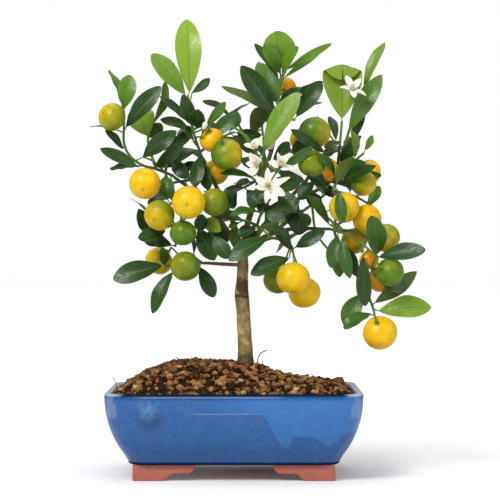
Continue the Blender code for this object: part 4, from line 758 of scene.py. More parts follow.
# The dark blemish of the glaze on the front, and the milky patch above it: middle and reach
BLEMISH, BLEMISH_REACH = Vector((-77 * MM, -86 * MM, 62 * MM)), 21 * MM
MILK, MILK_REACH = BLEMISH + Vector((-2 * MM, 0, 8 * MM)), 15 * MM
# Painted highlights: pale lines on the front, under the lip and along the run's edge: from, to and height in
# mm, half-width, strength
PAINTED_HIGHLIGHT_LINES = [(-92, 44, 81.0, 0.9, 0.75), (-40, 22, 65.4, 0.7, 0.35)]
# Where the front ends, along the pot's depth in metres
FRONT_ENDS = (-0.075, -0.055)


def glaze_finish(sizes):
    """Blue glaze: milky clouds, a lighter run with drips to the front right, dark broken edges, painted shade
    low down, a painted reflection on the rim and painted highlight lines on the front.
    """
    material, tree, shader, given = new_finish("Blue glaze", Coat_Roughness=0.05)
    place = from_pot(tree, given)
    across, deep, high = node(tree, "ShaderNodeSeparateXYZ", {0: place}).outputs
    clouds, grain, fine = mottled(tree, place, 26, 95, 170)
    front = spread(tree, deep, *FRONT_ENDS, 1.0, 0.0)
    run = run_mask(tree, place, across, front, high)
    thick = times(tree, run, spread(tree, across, -0.04, 0.035, 0.10, 1.0))
    broken = attribute(tree, "edge")
    own = coated(tree, sizes.glaze, [
        (sizes.bloom, clouds["Cloud"], 0.05),
        (sizes.run, thick, FULL),
        # darker towards the bottom, a painted shade where the body turns under
        (scaled(sizes.glaze, 0.5), spread(tree, high, 0.020, 0.048, 0.38, 0.0), FULL),
        (sizes.bloom, fine["Cloud"], 0.10),
        (sizes.bloom, grain["Speck"], 0.22),
        (scaled(sizes.glaze, 0.6), grain["Cloud"], 0.16),
        (sizes.edge, times(tree, round_patch(tree, place, BLEMISH, BLEMISH_REACH), clouds["Cloud"]), 0.75),
        (sizes.bloom, times(tree, round_patch(tree, place, MILK, MILK_REACH), fine["Cloud"]), 0.75),
        # painted highlight lines on the front, in the rim's colour
        (sizes.rim, painted_highlight_lines(tree, across, front, high), FULL),
        (sizes.edge, times(tree, broken, spread(tree, fine["Cloud"], -0.9, 0.15)), FULL),
        # painted reflection on the rim's top, round its corners and faintly inside the wall
        (sizes.rim, attribute(tree, "rim"), FULL),
    ])
    own_gloss = spread(tree, grain["Speck"], 0.0, 1.0, sizes.gloss, sizes.gloss + 0.10)
    wired(
        tree, shader, Base_Color=own, Roughness=maths(tree, "MULTIPLY_ADD", broken, 0.55, own_gloss),
        Coat_Weight=spread(tree, broken, 0.0, 0.85, 0.25, 0.0),
        Specular_IOR_Level=spread(tree, broken, 0.0, 0.85, 0.34, 0.0),
    )
    ripple = maths(tree, "MULTIPLY_ADD", clouds["Cloud"], 0.35, times(tree, fine["Cloud"], 0.06))
    raised(tree, shader, maths(tree, "ADD", ripple, thick), sizes.run_thickness)
    return material


def run_mask(tree, place, across, front, high):
    """Where the lighter glaze lies: above a drawn edge on the front, a wavy one on the other sides."""
    length, height = 250, 100
    value = maths(tree, "MULTIPLY_ADD", across, 1 / (length * MM), 0.5)
    curve = node(tree, "ShaderNodeFloatCurve", {"Value": value})
    points = curve.mapping.curves[0].points
    for _ in range(len(RUN_EDGE) - len(points)):
        points.new(0.5, 0.5)
    for point, (x, z) in zip(points, RUN_EDGE):
        point.location = (x / length + 0.5, z / height)
    curve.mapping.update()
    drawn = times(tree, curve.outputs[0], height * MM)
    wavy = maths(tree, "MULTIPLY_ADD", noisy(tree, place, 34.0, 1.0), 0.05, 0.022)
    edge = node(tree, "ShaderNodeMix", {0: front, 2: wavy, 3: drawn}).outputs[0]
    ragged = maths(tree, "MULTIPLY_ADD", noisy(tree, place, 260.0, 2.0), 0.0012, edge)
    return spread(tree, maths(tree, "SUBTRACT", high, ragged), 0.0, 0.0011)


def painted_highlight_lines(tree, across, front, high):
    """Painted highlights: the pale lines under the lip and along the run's edge, on the front only."""
    before, within = 8, 12
    lines = 0.0
    for first, last, height, half, strength in PAINTED_HIGHLIGHT_LINES:
        off = maths(tree, "ABSOLUTE", maths(tree, "SUBTRACT", high, height * MM))
        line = spread(tree, off, half * 0.2 * MM, half * MM, strength, 0.0)
        starts = spread(tree, across, (first - before) * MM, (first + within) * MM)
        ends = spread(tree, across, (last - within) * MM, (last + before) * MM, 1.0, 0.0)
        lines = maths(tree, "ADD", times(tree, times(tree, line, starts), ends), lines)
    return times(tree, lines, front, clamp=True)


def round_patch(tree, place, middle, radius):
    """A soft round patch about a point."""
    ends = {0: place, 1: middle}
    away = node(tree, "ShaderNodeVectorMath", ends, operation="DISTANCE").outputs["Value"]
    return spread(tree, away, radius * 0.15, radius, 1.0, 0.0)


def clay_finish(sizes):
    """Unglazed red clay, with pale dust and fine grit."""
    material, tree, shader, given = new_finish("Red clay", Roughness=0.82)
    patches, grit = mottled(tree, given["Object"], 70, 420)
    own = coated(tree, sizes.clay, [
        ((0.30, 0.072, 0.048), patches["Cloud"], 0.35),
        ((0.60, 0.25, 0.19), grit["Speck"], 0.30),
    ])
    wired(tree, shader, Base_Color=own)
    raised(tree, shader, grit["Cloud"], 0.25 * MM)
    return material


def plastic_finish():
    """Black plastic mesh, dulled by soil."""
    material, tree, shader, given = new_finish("Mesh plastic")
    dust = mottled(tree, given["Object"], 300)["Cloud"]
    own = coated(tree, (0.012, 0.012, 0.012), [((0.07, 0.05, 0.035), dust, 0.4)])
    wired(tree, shader, Base_Color=own, Roughness=spread(tree, dust, 0.0, 1.0, 0.4, 0.75))
    return material


def soil_finish(sizes):
    """Earth, bark and baked granules, told apart by each piece's own hue."""
    material, tree, shader, given = new_finish("Soil", Specular_IOR_Level=0.12)
    own = ramped(tree, attribute(tree, "hue"), [
        (0.0, scaled(sizes.earth, 0.35)), (0.22, sizes.earth), (0.42, sizes.bark_chip),
        (0.62, blended(sizes.bark_chip, sizes.granule, 0.5)), (0.85, sizes.granule),
        (1.0, (0.66, 0.43, 0.19)),
    ])
    crumbs = mottled(tree, given["Object"], 240)
    own = coated(tree, own, [
        (sizes.earth, crumbs["Cloud"], 0.45),
        (sizes.granule, crumbs["Speck"], 0.25),
    ])
    wired(tree, shader, Base_Color=own, Roughness=spread(tree, crumbs["Cloud"], 0.0, 1.0, 0.72, 0.95))
    raised(tree, shader, crumbs["Cloud"], 0.5 * MM)
    return material


def bark_finish(sizes):
    """Grey-tan bark with long furrows, an olive bloom low down, the dark band of the graft, and painted shade
    above it under the crown.
    """
    material, tree, shader, given = new_finish("Bark", Specular_IOR_Level=0.3)
    place = from_pot(tree, given)
    drawn_out = {"Vector": place, "Scale": (1.0, 1.0, 0.16)}
    furrows = mottled(tree, node(tree, "ShaderNodeMapping", drawn_out).outputs[0], 420)
    patches, grain = mottled(tree, place, 95, 520)
    uneven = maths(tree, "MULTIPLY_ADD", patches["Cloud"], 0.5, -0.25)
    scar = spread(tree, maths(tree, "ADD", attribute(tree, "scar"), uneven), 0.35, 0.7)
    own = coated(tree, sizes.bark, [
        (sizes.moss, times(tree, attribute(tree, "moss"), spread(tree, patches["Cloud"], 0.0, 0.7)), FULL),
        (scaled(sizes.bark, 0.30), furrows["Cloud"], 0.55),
        (scaled(sizes.bark, 1.8), grain["Speck"], 0.35),
        (sizes.scar, group_in(tree, "Pits", Vector=place, Scale=150.0)["Pit"], 0.35),
        # painted shade: the trunk above the graft and every limb darkened, where the crown shades them
        (scaled(sizes.bark, 0.22), attribute(tree, "upper"), 0.75),
        (sizes.scar, scar, 0.92),
        (sizes.twig, attribute(tree, "green"), FULL),
        (scaled(sizes.scar, 0.3), attribute(tree, "damp"), FULL),
    ])
    wired(tree, shader, Base_Color=own, Roughness=spread(tree, furrows["Cloud"], 0.0, 1.0, 0.62, 0.9))
    raised(tree, shader, maths(tree, "MULTIPLY_ADD", grain["Cloud"], 0.3, furrows["Cloud"]), sizes.relief)
    return material


def twig_finish(sizes):
    """Green twigs and stalks: browner where they are old, with pale specks."""
    material, tree, shader, given = new_finish("Green twig", Roughness=0.45)
    specks = mottled(tree, given["Object"], 260)
    own = ramped(tree, attribute(tree, "tone"), [
        (0.0, (0.085, 0.060, 0.025)), (0.3, scaled(sizes.twig, 0.42)), (0.65, sizes.twig),
        (1.0, scaled(sizes.twig, 1.9)),
    ])
    wired(tree, shader, Base_Color=coated(tree, own, [(sizes.pale, specks["Speck"], 0.3)]))
    raised(tree, shader, specks["Cloud"], 0.15 * MM)
    return material


# How a leaf's face and its back differ: name, shine, strength of the side veins, roughness, and whether
# the veins stand out or lie in
LeafSide = namedtuple("LeafSide", "name shine veins roughness relief")
LEAF_SIDES = [
    LeafSide("Leaf face", 0.36, 0.12, (0.28, 0.40), -1.0),
    LeafSide("Leaf back", 0.20, 0.26, (0.50, 0.66), 1.0),
]


def leaf_finish(sizes, side):
    """A leaf's glossy face, or its dull back, with a painted highlight along its margin. Each leaf carries
    its own age as a tone, one of which is a painted sheen.
    """
    material, tree, shader, given = new_finish(side.name, Specular_IOR_Level=side.shine)
    tone = attribute(tree, "tone")
    cloud, fine = mottled(tree, given["Object"], 95, 520)
    shift = maths(tree, "MULTIPLY_ADD", cloud["Cloud"], 0.07, -0.035)
    own = ramped(tree, maths(tree, "ADD", tone, shift, clamp=True), [
        (0.0, sizes.dark), (0.18, blended(sizes.dark, sizes.middle, 0.45)), (0.4, sizes.middle),
        (0.72, sizes.young), (1.0, sizes.pale),
    ])
    if side.relief > 0:
        own = mixed(tree, spread(tree, tone, 0.0, 1.0, 0.72, 0.30), own, sizes.back)
    own = coated(tree, own, [(scaled(sizes.middle, 0.55), attribute(tree, "chance"), 0.25)])
    veins = group_in(tree, "Leaf veins", UV=given["UV"], Pairs=float(sizes.veins))
    light = mixed(tree, 0.45, own, sizes.pale)
    rib = mixed(tree, spread(tree, tone, 0.55, 0.9), light, scaled(sizes.young, 0.62))
    # the lighter margin (Edge) is a painted highlight; the midrib and side veins are the leaf's own colours
    own = coated(tree, own, [
        (rib, veins["Midrib"], 0.45), (rib, veins["Veins"], side.veins), (light, veins["Edge"], 0.22),
    ])
    wired(tree, shader, Base_Color=own, Roughness=spread(tree, fine["Cloud"], 0.0, 1.0, *side.roughness))
    lift = maths(tree, "ADD", veins["Midrib"], times(tree, veins["Veins"], 0.45))
    height = maths(tree, "MULTIPLY_ADD", fine["Cloud"], 0.02, times(tree, lift, side.relief))
    raised(tree, shader, height, 0.22 * MM)
    return material


def peel_finish(sizes):
    """Peel from green to orange by how ripe each place is, with oil glands and a blossom scar."""
    material, tree, shader, given = new_finish(
        "Citrus peel", Specular_IOR_Level=0.26, Subsurface_Weight=0.08, Subsurface_Scale=0.6 * MM,
        Subsurface_Radius=(1.0, 0.45, 0.08),
    )
    cloud, fine = mottled(tree, given["Object"], 120, 640)
    pits = group_in(tree, "Pits", Vector=given["Object"], Scale=0.62 / sizes.pore)
    shift = maths(tree, "MULTIPLY_ADD", cloud["Cloud"], 0.10, -0.05)
    ripe = maths(tree, "ADD", attribute(tree, "ripe"), shift)
    ripe = maths(tree, "ADD", ripe, maths(tree, "MULTIPLY_ADD", pits["Pit"], -0.05, 0.02), clamp=True)
    own = ramped(tree, ripe, [
        (0.0, sizes.green), (0.22, scaled(sizes.green, 1.5)), (0.45, sizes.turning),
        (0.64, blended(sizes.turning, sizes.yellow, 2 / 3)), (0.8, sizes.yellow), (1.0, sizes.orange),
    ])
    own = coated(tree, own, [
        (scaled(sizes.turning, 0.6), fine["Speck"], 0.10),
        (sizes.scar, attribute(tree, "scar"), FULL),
    ])
    wired(tree, shader, Base_Color=own, Roughness=spread(tree, fine["Cloud"], 0.0, 1.0, 0.22, 0.36))
    height = maths(tree, "MULTIPLY_ADD", cloud["Cloud"], 0.5, pits["Height"])
    raised(tree, shader, height, 0.16 * MM, 0.8)
    return material


def petal_finish(sizes):
    """Thick white petals, faintly green at the foot, with fine lines along them."""
    material, tree, shader, given = new_finish(
        "White petal", Roughness=0.45, Subsurface_Weight=0.2, Subsurface_Scale=0.5 * MM
    )
    across, along, _ = node(tree, "ShaderNodeSeparateXYZ", {0: given["UV"]}).outputs
    bruise = mottled(tree, given["Object"], 320)["Cloud"]
    own = coated(tree, sizes.petal, [
        (sizes.throat, spread(tree, along, 0.0, 0.32, 0.75, 0.0), FULL),
        ((0.66, 0.58, 0.36), bruise, 0.22),
    ])
    wired(tree, shader, Base_Color=own)
    line = maths(tree, "PINGPONG", times(tree, across, 5.0), 0.5)
    raised(tree, shader, maths(tree, "MULTIPLY_ADD", bruise, 0.5, line), 0.12 * MM)
    return material


def anther_finish(sizes):
    """Grainy yellow tips of the stamens."""
    material, tree, shader, given = new_finish("Anther", Roughness=0.7)
    grains = mottled(tree, given["Object"], 900)["Cloud"]
    wired(tree, shader, Base_Color=coated(tree, sizes.anther, [(scaled(sizes.anther, 0.55), grains, FULL)]))
    raised(tree, shader, grains, 0.2 * MM)
    return material


def clamped(value):
    """A value held between nought and one."""
    return max(0.0, min(1.0, value))


def seen(across, down, depth):
    """The point on the sight line through a pixel of the front view, at a depth in millimetres."""
    step = (depth * MM - EYE.y) / PIXELS_PER_SLOPE
    middle = PICTURE_MIDDLE
    return Vector((EYE.x + (across - middle) * step, depth * MM, EYE.z + (middle - down) * step))


def lofted(rings):
    """Vertices and faces of the closed skin through rings of points. A ring of one point is a pole."""
    points = [p for ring in rings for p in ring]
    starts = [sum(len(r) for r in rings[:k]) for k in range(len(rings))]
    faces = []
    for k, (low, high) in enumerate(zip(rings, rings[1:])):
        a, b, n = starts[k], starts[k + 1], max(len(low), len(high))
        for i in range(n):
            j = (i + 1) % n
            if len(low) == 1:
                faces.append((a, b + i, b + j))
            elif len(high) == 1:
                faces.append((a + j, a + i, b))
            else:
                faces.append((a + j, a + i, b + i))
                faces.append((a + j, b + i, b + j))
    if len(rings[0]) > 1:
        faces.append(tuple(range(len(rings[0]))))
    if len(rings[-1]) > 1:
        faces.append(tuple(starts[-1] + i for i in reversed(range(len(rings[-1])))))
    return points, faces


def circle(centre, axis, radius, sides, guide=GUIDE):
    """A ring of points round an axis, the first of them on the guide's side."""
    axis = axis.normalized()
    u = (guide - axis * guide.dot(axis)).normalized()
    v = axis.cross(u)
    turns = [math.tau * k / sides for k in range(sides)]
    return [centre + (u * math.cos(t) + v * math.sin(t)) * radius for t in turns]


def tube(points, radii, sides):
    """A round stem through points, closed at both ends."""
    rings = []
    guide = GUIDE
    for k, point in enumerate(points):
        axis = points[min(k + 1, len(points) - 1)] - points[max(k - 1, 0)]
        rings.append(circle(point, axis, radii[k], sides, guide))
        guide = (rings[-1][0] - point).normalized()
    return lofted(rings)


def tapered(points, first, last):
    """A stem that changes evenly from one radius to another along a route."""
    share = [k / (len(points) - 1) for k in range(len(points))]
    return Stem(points, [first + (last - first) * s for s in share])


def leaf_axes(base, tip, roll):
    """Unit vectors of a leaf: along it, across it, and up off its face, which turns to the front."""
    along = (tip - base).normalized()
    towards = Vector((0.0, -1.0, 0.45))
    face = (towards - along * towards.dot(along)).normalized()
    face = Matrix.Rotation(math.radians(roll), 3, along) @ face
    return along, along.cross(face).normalized(), face


def blade_rings(leaf, grow=0.0):
    """A placed leaf's four cross-sections: at its root, at two places along the blade, at its tip."""
    along, across, face = leaf.axes
    length = (leaf.tip - leaf.base).length
    thick = face * (BLADE / 2 + grow)
    rows = [(leaf.root, PETIOLE_HALF + grow, 0.0)]
    for t, share in BLADE_STATIONS:
        rib = leaf.base + along * length * t + face * leaf.arch * length * 4 * t * (1 - t)
        rows.append((rib, leaf.width / 2 * share + grow, leaf.fold))
    rows.append((leaf.tip + along * grow, 0.25 * MM + grow, 0.0))
    rings = []
    for middle, half, fold in rows:
        side, edge = across * half, face * fold * half
        upper = [middle - side + edge + thick, middle + thick, middle + side + edge + thick]
        rings.append([*upper, *[p - thick * 2 for p in reversed(upper)]])
    return rings


def tree_of(shape):
    """A search tree of a shape's faces."""
    return BVHTree.FromPolygons([tuple(p) for p in shape[0]], [tuple(f) for f in shape[1]])


class Room:
    """What has been placed so far, each as a search tree with a sphere round it."""

    def __init__(self):
        self.placed = []

    @staticmethod
    def sphere_round(shape):
        """The middle of a shape's points, and how far off the farthest lies."""
        centre = sum(shape[0], Vector()) / len(shape[0])
        return centre, max((p - centre).length for p in shape[0])

    def add(self, shape, owner, kind):
        """Takes up a shape's room."""
        self.placed.append((tree_of(shape), *self.sphere_round(shape), owner, kind))

    def is_clear(self, shape, owner=None, skipped=()):
        """True if the shape touches nothing, apart from the kinds skipped of its own spray."""
        centre, reach = self.sphere_round(shape)
        tree = tree_of(shape)
        for other, middle, span, other_owner, kind in self.placed:
            if other_owner == owner and kind in skipped:
                continue
            if (middle - centre).length > span + reach:
                continue
            inside = kind == "fruit" and any((p - middle).length < span * 0.9 for p in shape[0])
            if inside or tree.overlap(other):
                return False
        return True


def fruit_direction(stem):
    """A stem end's direction, given as right, up and towards the front."""
    return Vector((stem[0], -stem[2], stem[1])).normalized()


def fruit_shape(centre, radius, stem):
    """A slightly flat round fruit with a dimple at each end. Its axis runs to its stem."""
    rings = [[centre + stem * radius * (FRUIT_SQUASH - 0.03)]]
    for angle in FRUIT_ANGLES:
        a = math.radians(angle)
        middle = centre + stem * radius * FRUIT_SQUASH * math.cos(a)
        rings.append(circle(middle, stem, radius * math.sin(a), FRUIT_SIDES))
    rings.append([centre - stem * radius * (FRUIT_SQUASH - 0.02)])
    return lofted(rings)


def placed_fruits():
    """Each fruit's centre, radius and stem direction. One that would press on another steps back."""
    placed = {}
    for fruit in FRUITS:
        depth = fruit.depth
        while True:
            centre = seen(fruit.across, fruit.down, depth)
            radius = fruit.size / 2 * (depth * MM - EYE.y) / PIXELS_PER_SLOPE
            if all((c - centre).length >= r + radius + CLEARANCE for c, r, _ in placed.values()):
                break
            depth += 1
        placed[fruit.name] = (centre, radius, fruit_direction(fruit.stem))
    return placed


def twig_routes(spray):
    """A spray's twigs as routes. The first grows on from its limb's end, just clear of it."""
    limb = [seen(*p) for p in LIMBS[spray][0]]
    end, way = limb[-1], (limb[-1] - limb[-2]).normalized()
    routes = [[seen(*p) for p in route] for route in TWIGS[spray]]
    sprout = end + way * SPROUT_LENGTH
    routes[0] = [end + way * GAP, sprout] + [p for p in routes[0] if (p - end).length > SPROUT_REACH]
    for route in routes[1:]:
        if (route[0] - end).length < SPROUT_LENGTH:
            route[0] = sprout
    return routes


def places_on(routes):
    """Places to grow from, spaced along every twig."""
    places = []
    for route in routes:
        for a, b in zip(route, route[1:]):
            count = max(1, round((b - a).length / ROOT_PITCH))
            places += [a.lerp(b, (k + 0.5) / count) for k in range(count)]
    return places


def grown_stalk(room, spray, places, end, arrival, cap):
    """A stalk that reaches an end clear of the rest, from the nearest place that allows one."""
    starts = sorted(places[spray], key=lambda p: (p - end - arrival * 6 * MM).length)
    radii = [STALK_RADIUS, STALK_RADIUS, cap, cap]
    for reach in STALK_REACHES:
        for start in starts:
            points = [start, end + arrival * reach * MM, end + arrival * 1.5 * MM, end]
            thick = tube(points, [r + CLEARANCE * 0.6 for r in radii[:-1]] + [cap], STEM_SIDES)
            if room.is_clear(thick, spray, ("twig",)):
                room.add(tube(points, radii, STEM_SIDES), spray, "stalk")
                return [Stem(points, radii)]
    return []


def tried_turns():
    """Small changes to try in order: the tip's depth, the roll, the width."""
    for shrink in TRIED_WIDTHS:
        for turn in TRIED_ROLLS:
            for tip_shift in TRIED_SHIFTS:
                yield tip_shift * MM, turn, shrink


def settled_leaf(room, spray, places, leaf, rng):
    """The leaf once it is turned clear of what is placed already, or None."""
    base, tip = seen(*leaf.base), seen(*leaf.tip)
    arch, fold = rng.uniform(*LEAF_ARCH), rng.uniform(*LEAF_FOLD)
    roots = sorted(places, key=lambda p: (p - base).length)[:ROOTS_TRIED]
    for allowed in (("twig",), ("twig", "foot", "stalk")):
        for tip_shift, turn, shrink in tried_turns():
            end = tip + (tip - EYE).normalized() * tip_shift
            for root in roots:
                start = base
                if (base - root).length < SHORTEST_PETIOLE:
                    start = root + (end - root).normalized() * SHORTEST_PETIOLE
                axes = leaf_axes(start, end, leaf.roll + turn)
                placed = Blade(root, start, end, leaf.width * MM * shrink, axes, arch, fold)
                if fits(room, spray, placed, allowed):
                    return placed
    return None


def fits(room, spray, leaf, allowed=("twig",)):
    """True if the leaf is clear of everything, apart from what its foot may touch in its own spray."""
    foot, blade = leaf_halves(leaf, CLEARANCE)
    return room.is_clear(foot, spray, allowed) and room.is_clear(blade)


def leaf_halves(leaf, grow=0.0):
    """A leaf's foot and its blade beyond, as two solids."""
    root, near, far, tip = blade_rings(leaf, grow)
    middle = [a.lerp(b, FOOT_SHARE) for a, b in zip(root, near)]
    return lofted([root, middle]), lofted([middle, near, far, tip])


def settle(room, spray, leaf):
    """Takes up a leaf's room."""
    foot, blade = leaf_halves(leaf)
    room.add(foot, spray, "foot")
    room.add(blade, spray, "leaf")


def filling_leaves(room, spray, routes, rng):
    """Leaves set round each twig by the golden angle, wherever one has room."""
    found = []
    for route in routes:
        azimuth = rng.uniform(0, math.tau)
        for k in range(FILL_PER_TWIG):
            azimuth += GOLDEN_ANGLE
            spot = (k + 0.8) / FILL_PER_TWIG * (len(route) - 1)
            low = min(int(spot), len(route) - 2)
            place = route[low].lerp(route[low + 1], spot - low)
            along = (route[low + 1] - route[low]).normalized()
            leaf = filling_leaf(room, spray, place, along, azimuth, rng)
            if leaf:
                found.append(leaf)
                settle(room, spray, leaf)
    return found


def in_crown(point):
    """True if the front view shows a point inside the crown's round."""
    step = (point.y - EYE.y) / PIXELS_PER_SLOPE
    across = PICTURE_MIDDLE + (point.x - EYE.x) / step
    down = PICTURE_MIDDLE - (point.z - EYE.z) / step
    (x, y), (half, rise) = CROWN_MIDDLE, CROWN_REACH
    return ((across - x) / half) ** 2 + ((down - y) / rise) ** 2 < 1


def filling_leaf(room, spray, place, along, azimuth, rng):
    """One leaf from a place on a twig, turned and shortened until it has room, or None."""
    length = rng.uniform(*FILL_LENGTH)
    arch, fold = rng.uniform(*FILL_ARCH), rng.uniform(*FILL_FOLD)
    for k in range(FILL_TRIES):
        turn = azimuth + k * FILL_TURN * (1 if k % 2 else -1)
        size = length * (1 - FILL_SHRINK * k)
        side = Matrix.Rotation(turn, 3, along) @ circle(Vector(), along, 1.0, 3)[0]
        heading = (along * 0.55 + side + Vector((0, 0, 0.15))).normalized()
        base = place + heading * FILL_PETIOLE
        tip = base + heading * size - Vector((0, 0, FILL_DROOP * size))
        forward = (tip - base).normalized()
        up = Vector((0, 0, 1)) + side * 0.8
        face = (up - forward * up.dot(forward)).normalized()
        axes = (forward, forward.cross(face).normalized(), face)
        leaf = Blade(place, base, tip, size * FILL_SHARE, axes, arch, fold)
        if in_crown(tip) and fits(room, spray, leaf):
            return leaf
    return None


def petal(base, direction, face, length):
    """A strap petal as a closed thin solid, curled back a little at its tip."""
    across = direction.cross(face).normalized()
    rings = []
    for t, share, bend in PETAL_STATIONS:
        middle = base + direction * length * t + face * bend * length
        half = across * PETAL_WIDTH / 2 * share
        thick = face * BLADE / 2
        upper = [middle - half + thick, middle + half + thick]
        rings.append([*upper, middle + half - thick, middle - half - thick])
    return lofted(rings)


def petal_axes(axis, spoke, opening):
    """Which way a petal runs when it opens by an angle from the bloom's axis, and its face's direction."""
    way = axis * math.cos(opening) + spoke * math.sin(opening)
    return way, axis * math.sin(opening) - spoke * math.cos(opening)


def bloom_shapes(bloom):
    """The closed solids of one bloom or bud, which overlap at its middle."""
    base = seen(bloom.across, bloom.down, bloom.depth)
    axis = fruit_direction(bloom.facing)
    length = bloom.petal * MM
    if bloom.kind == "bud":
        shares, radii = SOLID_BUD
        return [tube([base + axis * length * t for t in shares], [r * MM for r in radii], 7)]
    opening = math.radians(OPENING[bloom.kind])
    shapes = [turned_form(base, axis, SOLID_MIDDLE, 5)]
    for spoke in circle(Vector(), axis, 1.0, PETALS):
        start = base + axis * 1.7 * MM + spoke * 1.2 * MM
        shapes.append(petal(start, *petal_axes(axis, spoke, opening), length))
    return shapes


def trunk_foot():
    """The middle of the trunk where it enters the soil."""
    place = seen(TRUNK_FOOT[0], 360, TRUNK_FOOT[1])
    return Vector((place.x, place.y, 0))


def trunk_stem():
    """The trunk's knots, from its foot under the soil up, and its radius at each."""
    above = [seen(a, d, y) for a, d, y, _ in TRUNK]
    below = trunk_foot() + Vector((0, 0, mound_top() - STEM_DEPTH + GAP))
    knots = [below, Vector((below.x, below.y, above[0].z - 6 * MM)), *above]
    return Stem(knots, [STEM_RADIUS, STEM_RADIUS, *(r * MM for *_, r in TRUNK)])


def wood_shapes():
    """The trunk and the limbs, as closed stems that overlap where they fork."""
    shapes = [tube(*trunk_stem(), TRUNK_SIDES)]
    for route, first, last in LIMBS.values():
        shapes.append(tube(*tapered([seen(*p) for p in route], first * MM, last * MM), LIMB_SIDES))
    return shapes


def mound_top():
    """The height of the mound round the trunk."""
    return SOIL_EDGE + MOUND_RISE


def side_inset(height):
    """How far the pot's outside stands in from the rim's outline at a height."""
    rows = [(z * MM, inset * MM) for z, inset in POT_SIDE]
    for (z0, a), (z1, b) in zip(rows, rows[1:]):
        if height <= z1:
            return a + (b - a) * max(0.0, (height - z0) / (z1 - z0))
    return rows[-1][1]


def mound_height(point, inward):
    """The soil's height at a share of the way in from the wall, fuller on the left, with crumbs."""
    lean = LEAN_MIDDLE - LEAN_PER_METRE * point.x
    rise = math.sin(min(1.0, inward * lean) * math.pi / 2)
    right = clamped(point.x / RIGHT_FROM)
    rise += (float(numpy.interp(inward, *RIGHT_SLOPE)) - rise) * right
    hump = HUMP_RISE * math.exp(-((point - HUMP_PLACE).xy.length / HUMP_REACH) ** 2)
    flat = Vector((point.x, point.y, 0))
    crumbs = sum(noise.noise(flat * waves) * height for waves, height in CRUMB_WAVES)
    fade = min(1.0, inward * 12) * min(1.0, (1 - inward) * 10)
    return SOIL_EDGE + MOUND_RISE * rise + (hump + crumbs * MM) * fade


def grown_plant():
    """Works out where every fruit, twig, stalk and leaf of the plant lies."""
    rng = random.Random(SEED)
    room = Room()
    fruits = placed_fruits()
    for name, (centre, radius, stem) in fruits.items():
        room.add(fruit_shape(centre, radius, stem), name, "fruit")
    for shape in wood_shapes():
        room.add(shape, "wood", "wood")
    for bloom in BLOOMS:
        for shape in bloom_shapes(bloom):
            room.add(shape, bloom.name, "bloom")
    routes = {spray: twig_routes(spray) for spray in TWIGS}
    places = {spray: places_on(paths) for spray, paths in routes.items()}
    twigs, stalks = {spray: [] for spray in TWIGS}, {spray: [] for spray in TWIGS}
    for spray, paths in routes.items():
        for k, path in enumerate(paths):
            first = LIMBS[spray][2] * MM if k == 0 else TWIG_RADIUS
            twig = tapered(path, first, TWIG_RADIUS * TWIG_TAPER)
            twigs[spray].append(twig)
            room.add(tube(*twig, STEM_SIDES), spray, "twig")
    for fruit in FRUITS:
        centre, radius, stem = fruits[fruit.name]
        end = centre + stem * (radius * (FRUIT_SQUASH - 0.03) + GAP + 0.25 * MM)
        stalks[fruit.spray] += grown_stalk(room, fruit.spray, places, end, stem, CALYX_RADIUS)
    for bloom in BLOOMS:
        axis = fruit_direction(bloom.facing)
        end = seen(bloom.across, bloom.down, bloom.depth) - axis * GAP
        stalks[bloom.spray] += grown_stalk(room, bloom.spray, places, end, -axis, BLOOM_CALYX_RADIUS)
    leaves = {spray: [] for spray in TWIGS}
    for spray, rows in LEAVES.items():
        for leaf in rows:
            placed = settled_leaf(room, spray, places[spray], leaf, rng)
            if placed:
                leaves[spray].append((placed, leaf.tone))
                settle(room, spray, placed)
    for spray in TWIGS:
        if spray not in FULL_SPRAYS:
            filling = filling_leaves(room, spray, routes[spray], rng)
            leaves[spray] += [(leaf, "dark") for leaf in filling]
    return Plant(fruits, twigs, stalks, leaves)


GROWN = []


def plant():
    """The plant, worked out once."""
    if not GROWN:
        GROWN.append(grown_plant())
    return GROWN[0]


def start_clean():
    """Object mode with nothing selected, so that an operator acts only on what it adds."""
    if bpy.context.object and bpy.context.object.mode != "OBJECT":
        bpy.ops.object.mode_set(mode="OBJECT")
    bpy.ops.object.select_all(action="DESELECT")


def pick(obj, *others):
    """Makes an object the active one, selected with any others."""
    start_clean()
    for one in (obj, *others):
        one.select_set(True)
    bpy.context.view_layer.objects.active = obj


def joined(obj, *others):
    """Several objects made one, under the name of the first."""
    pick(obj, *others)
    bpy.ops.object.join()
    return bpy.context.object


def worked(obj, kind, **settings):
    """Puts an object through a modifier."""
    pick(obj)
    bpy.ops.object.modifier_add(type=kind)
    modifier = obj.modifiers[-1]
    for name, value in settings.items():
        setattr(modifier, name, value)
    bpy.ops.object.modifier_apply(modifier=modifier.name)


def faced_outwards(obj):
    """Turns every face of an object outwards."""
    pick(obj)
    bpy.ops.object.mode_set(mode="EDIT")
    bpy.ops.mesh.select_all(action="SELECT")
    bpy.ops.mesh.normals_make_consistent(inside=False)
    bpy.ops.object.mode_set(mode="OBJECT")


def blank(add, **rows):
    """The points, faces and UVs of a primitive, as the start of a shape that repeats."""
    start_clean()
    add(**rows)
    obj = bpy.context.object
    mesh = obj.data
    points = [v.co.copy() for v in mesh.vertices]
    faces = [tuple(p.vertices) for p in mesh.polygons]
    layer = mesh.uv_layers.active
    uvs = [[tuple(layer.data[k].uv) for k in p.loop_indices] for p in mesh.polygons] if layer else None
    bpy.data.objects.remove(obj)
    bpy.data.meshes.remove(mesh)
    return points, faces, uvs


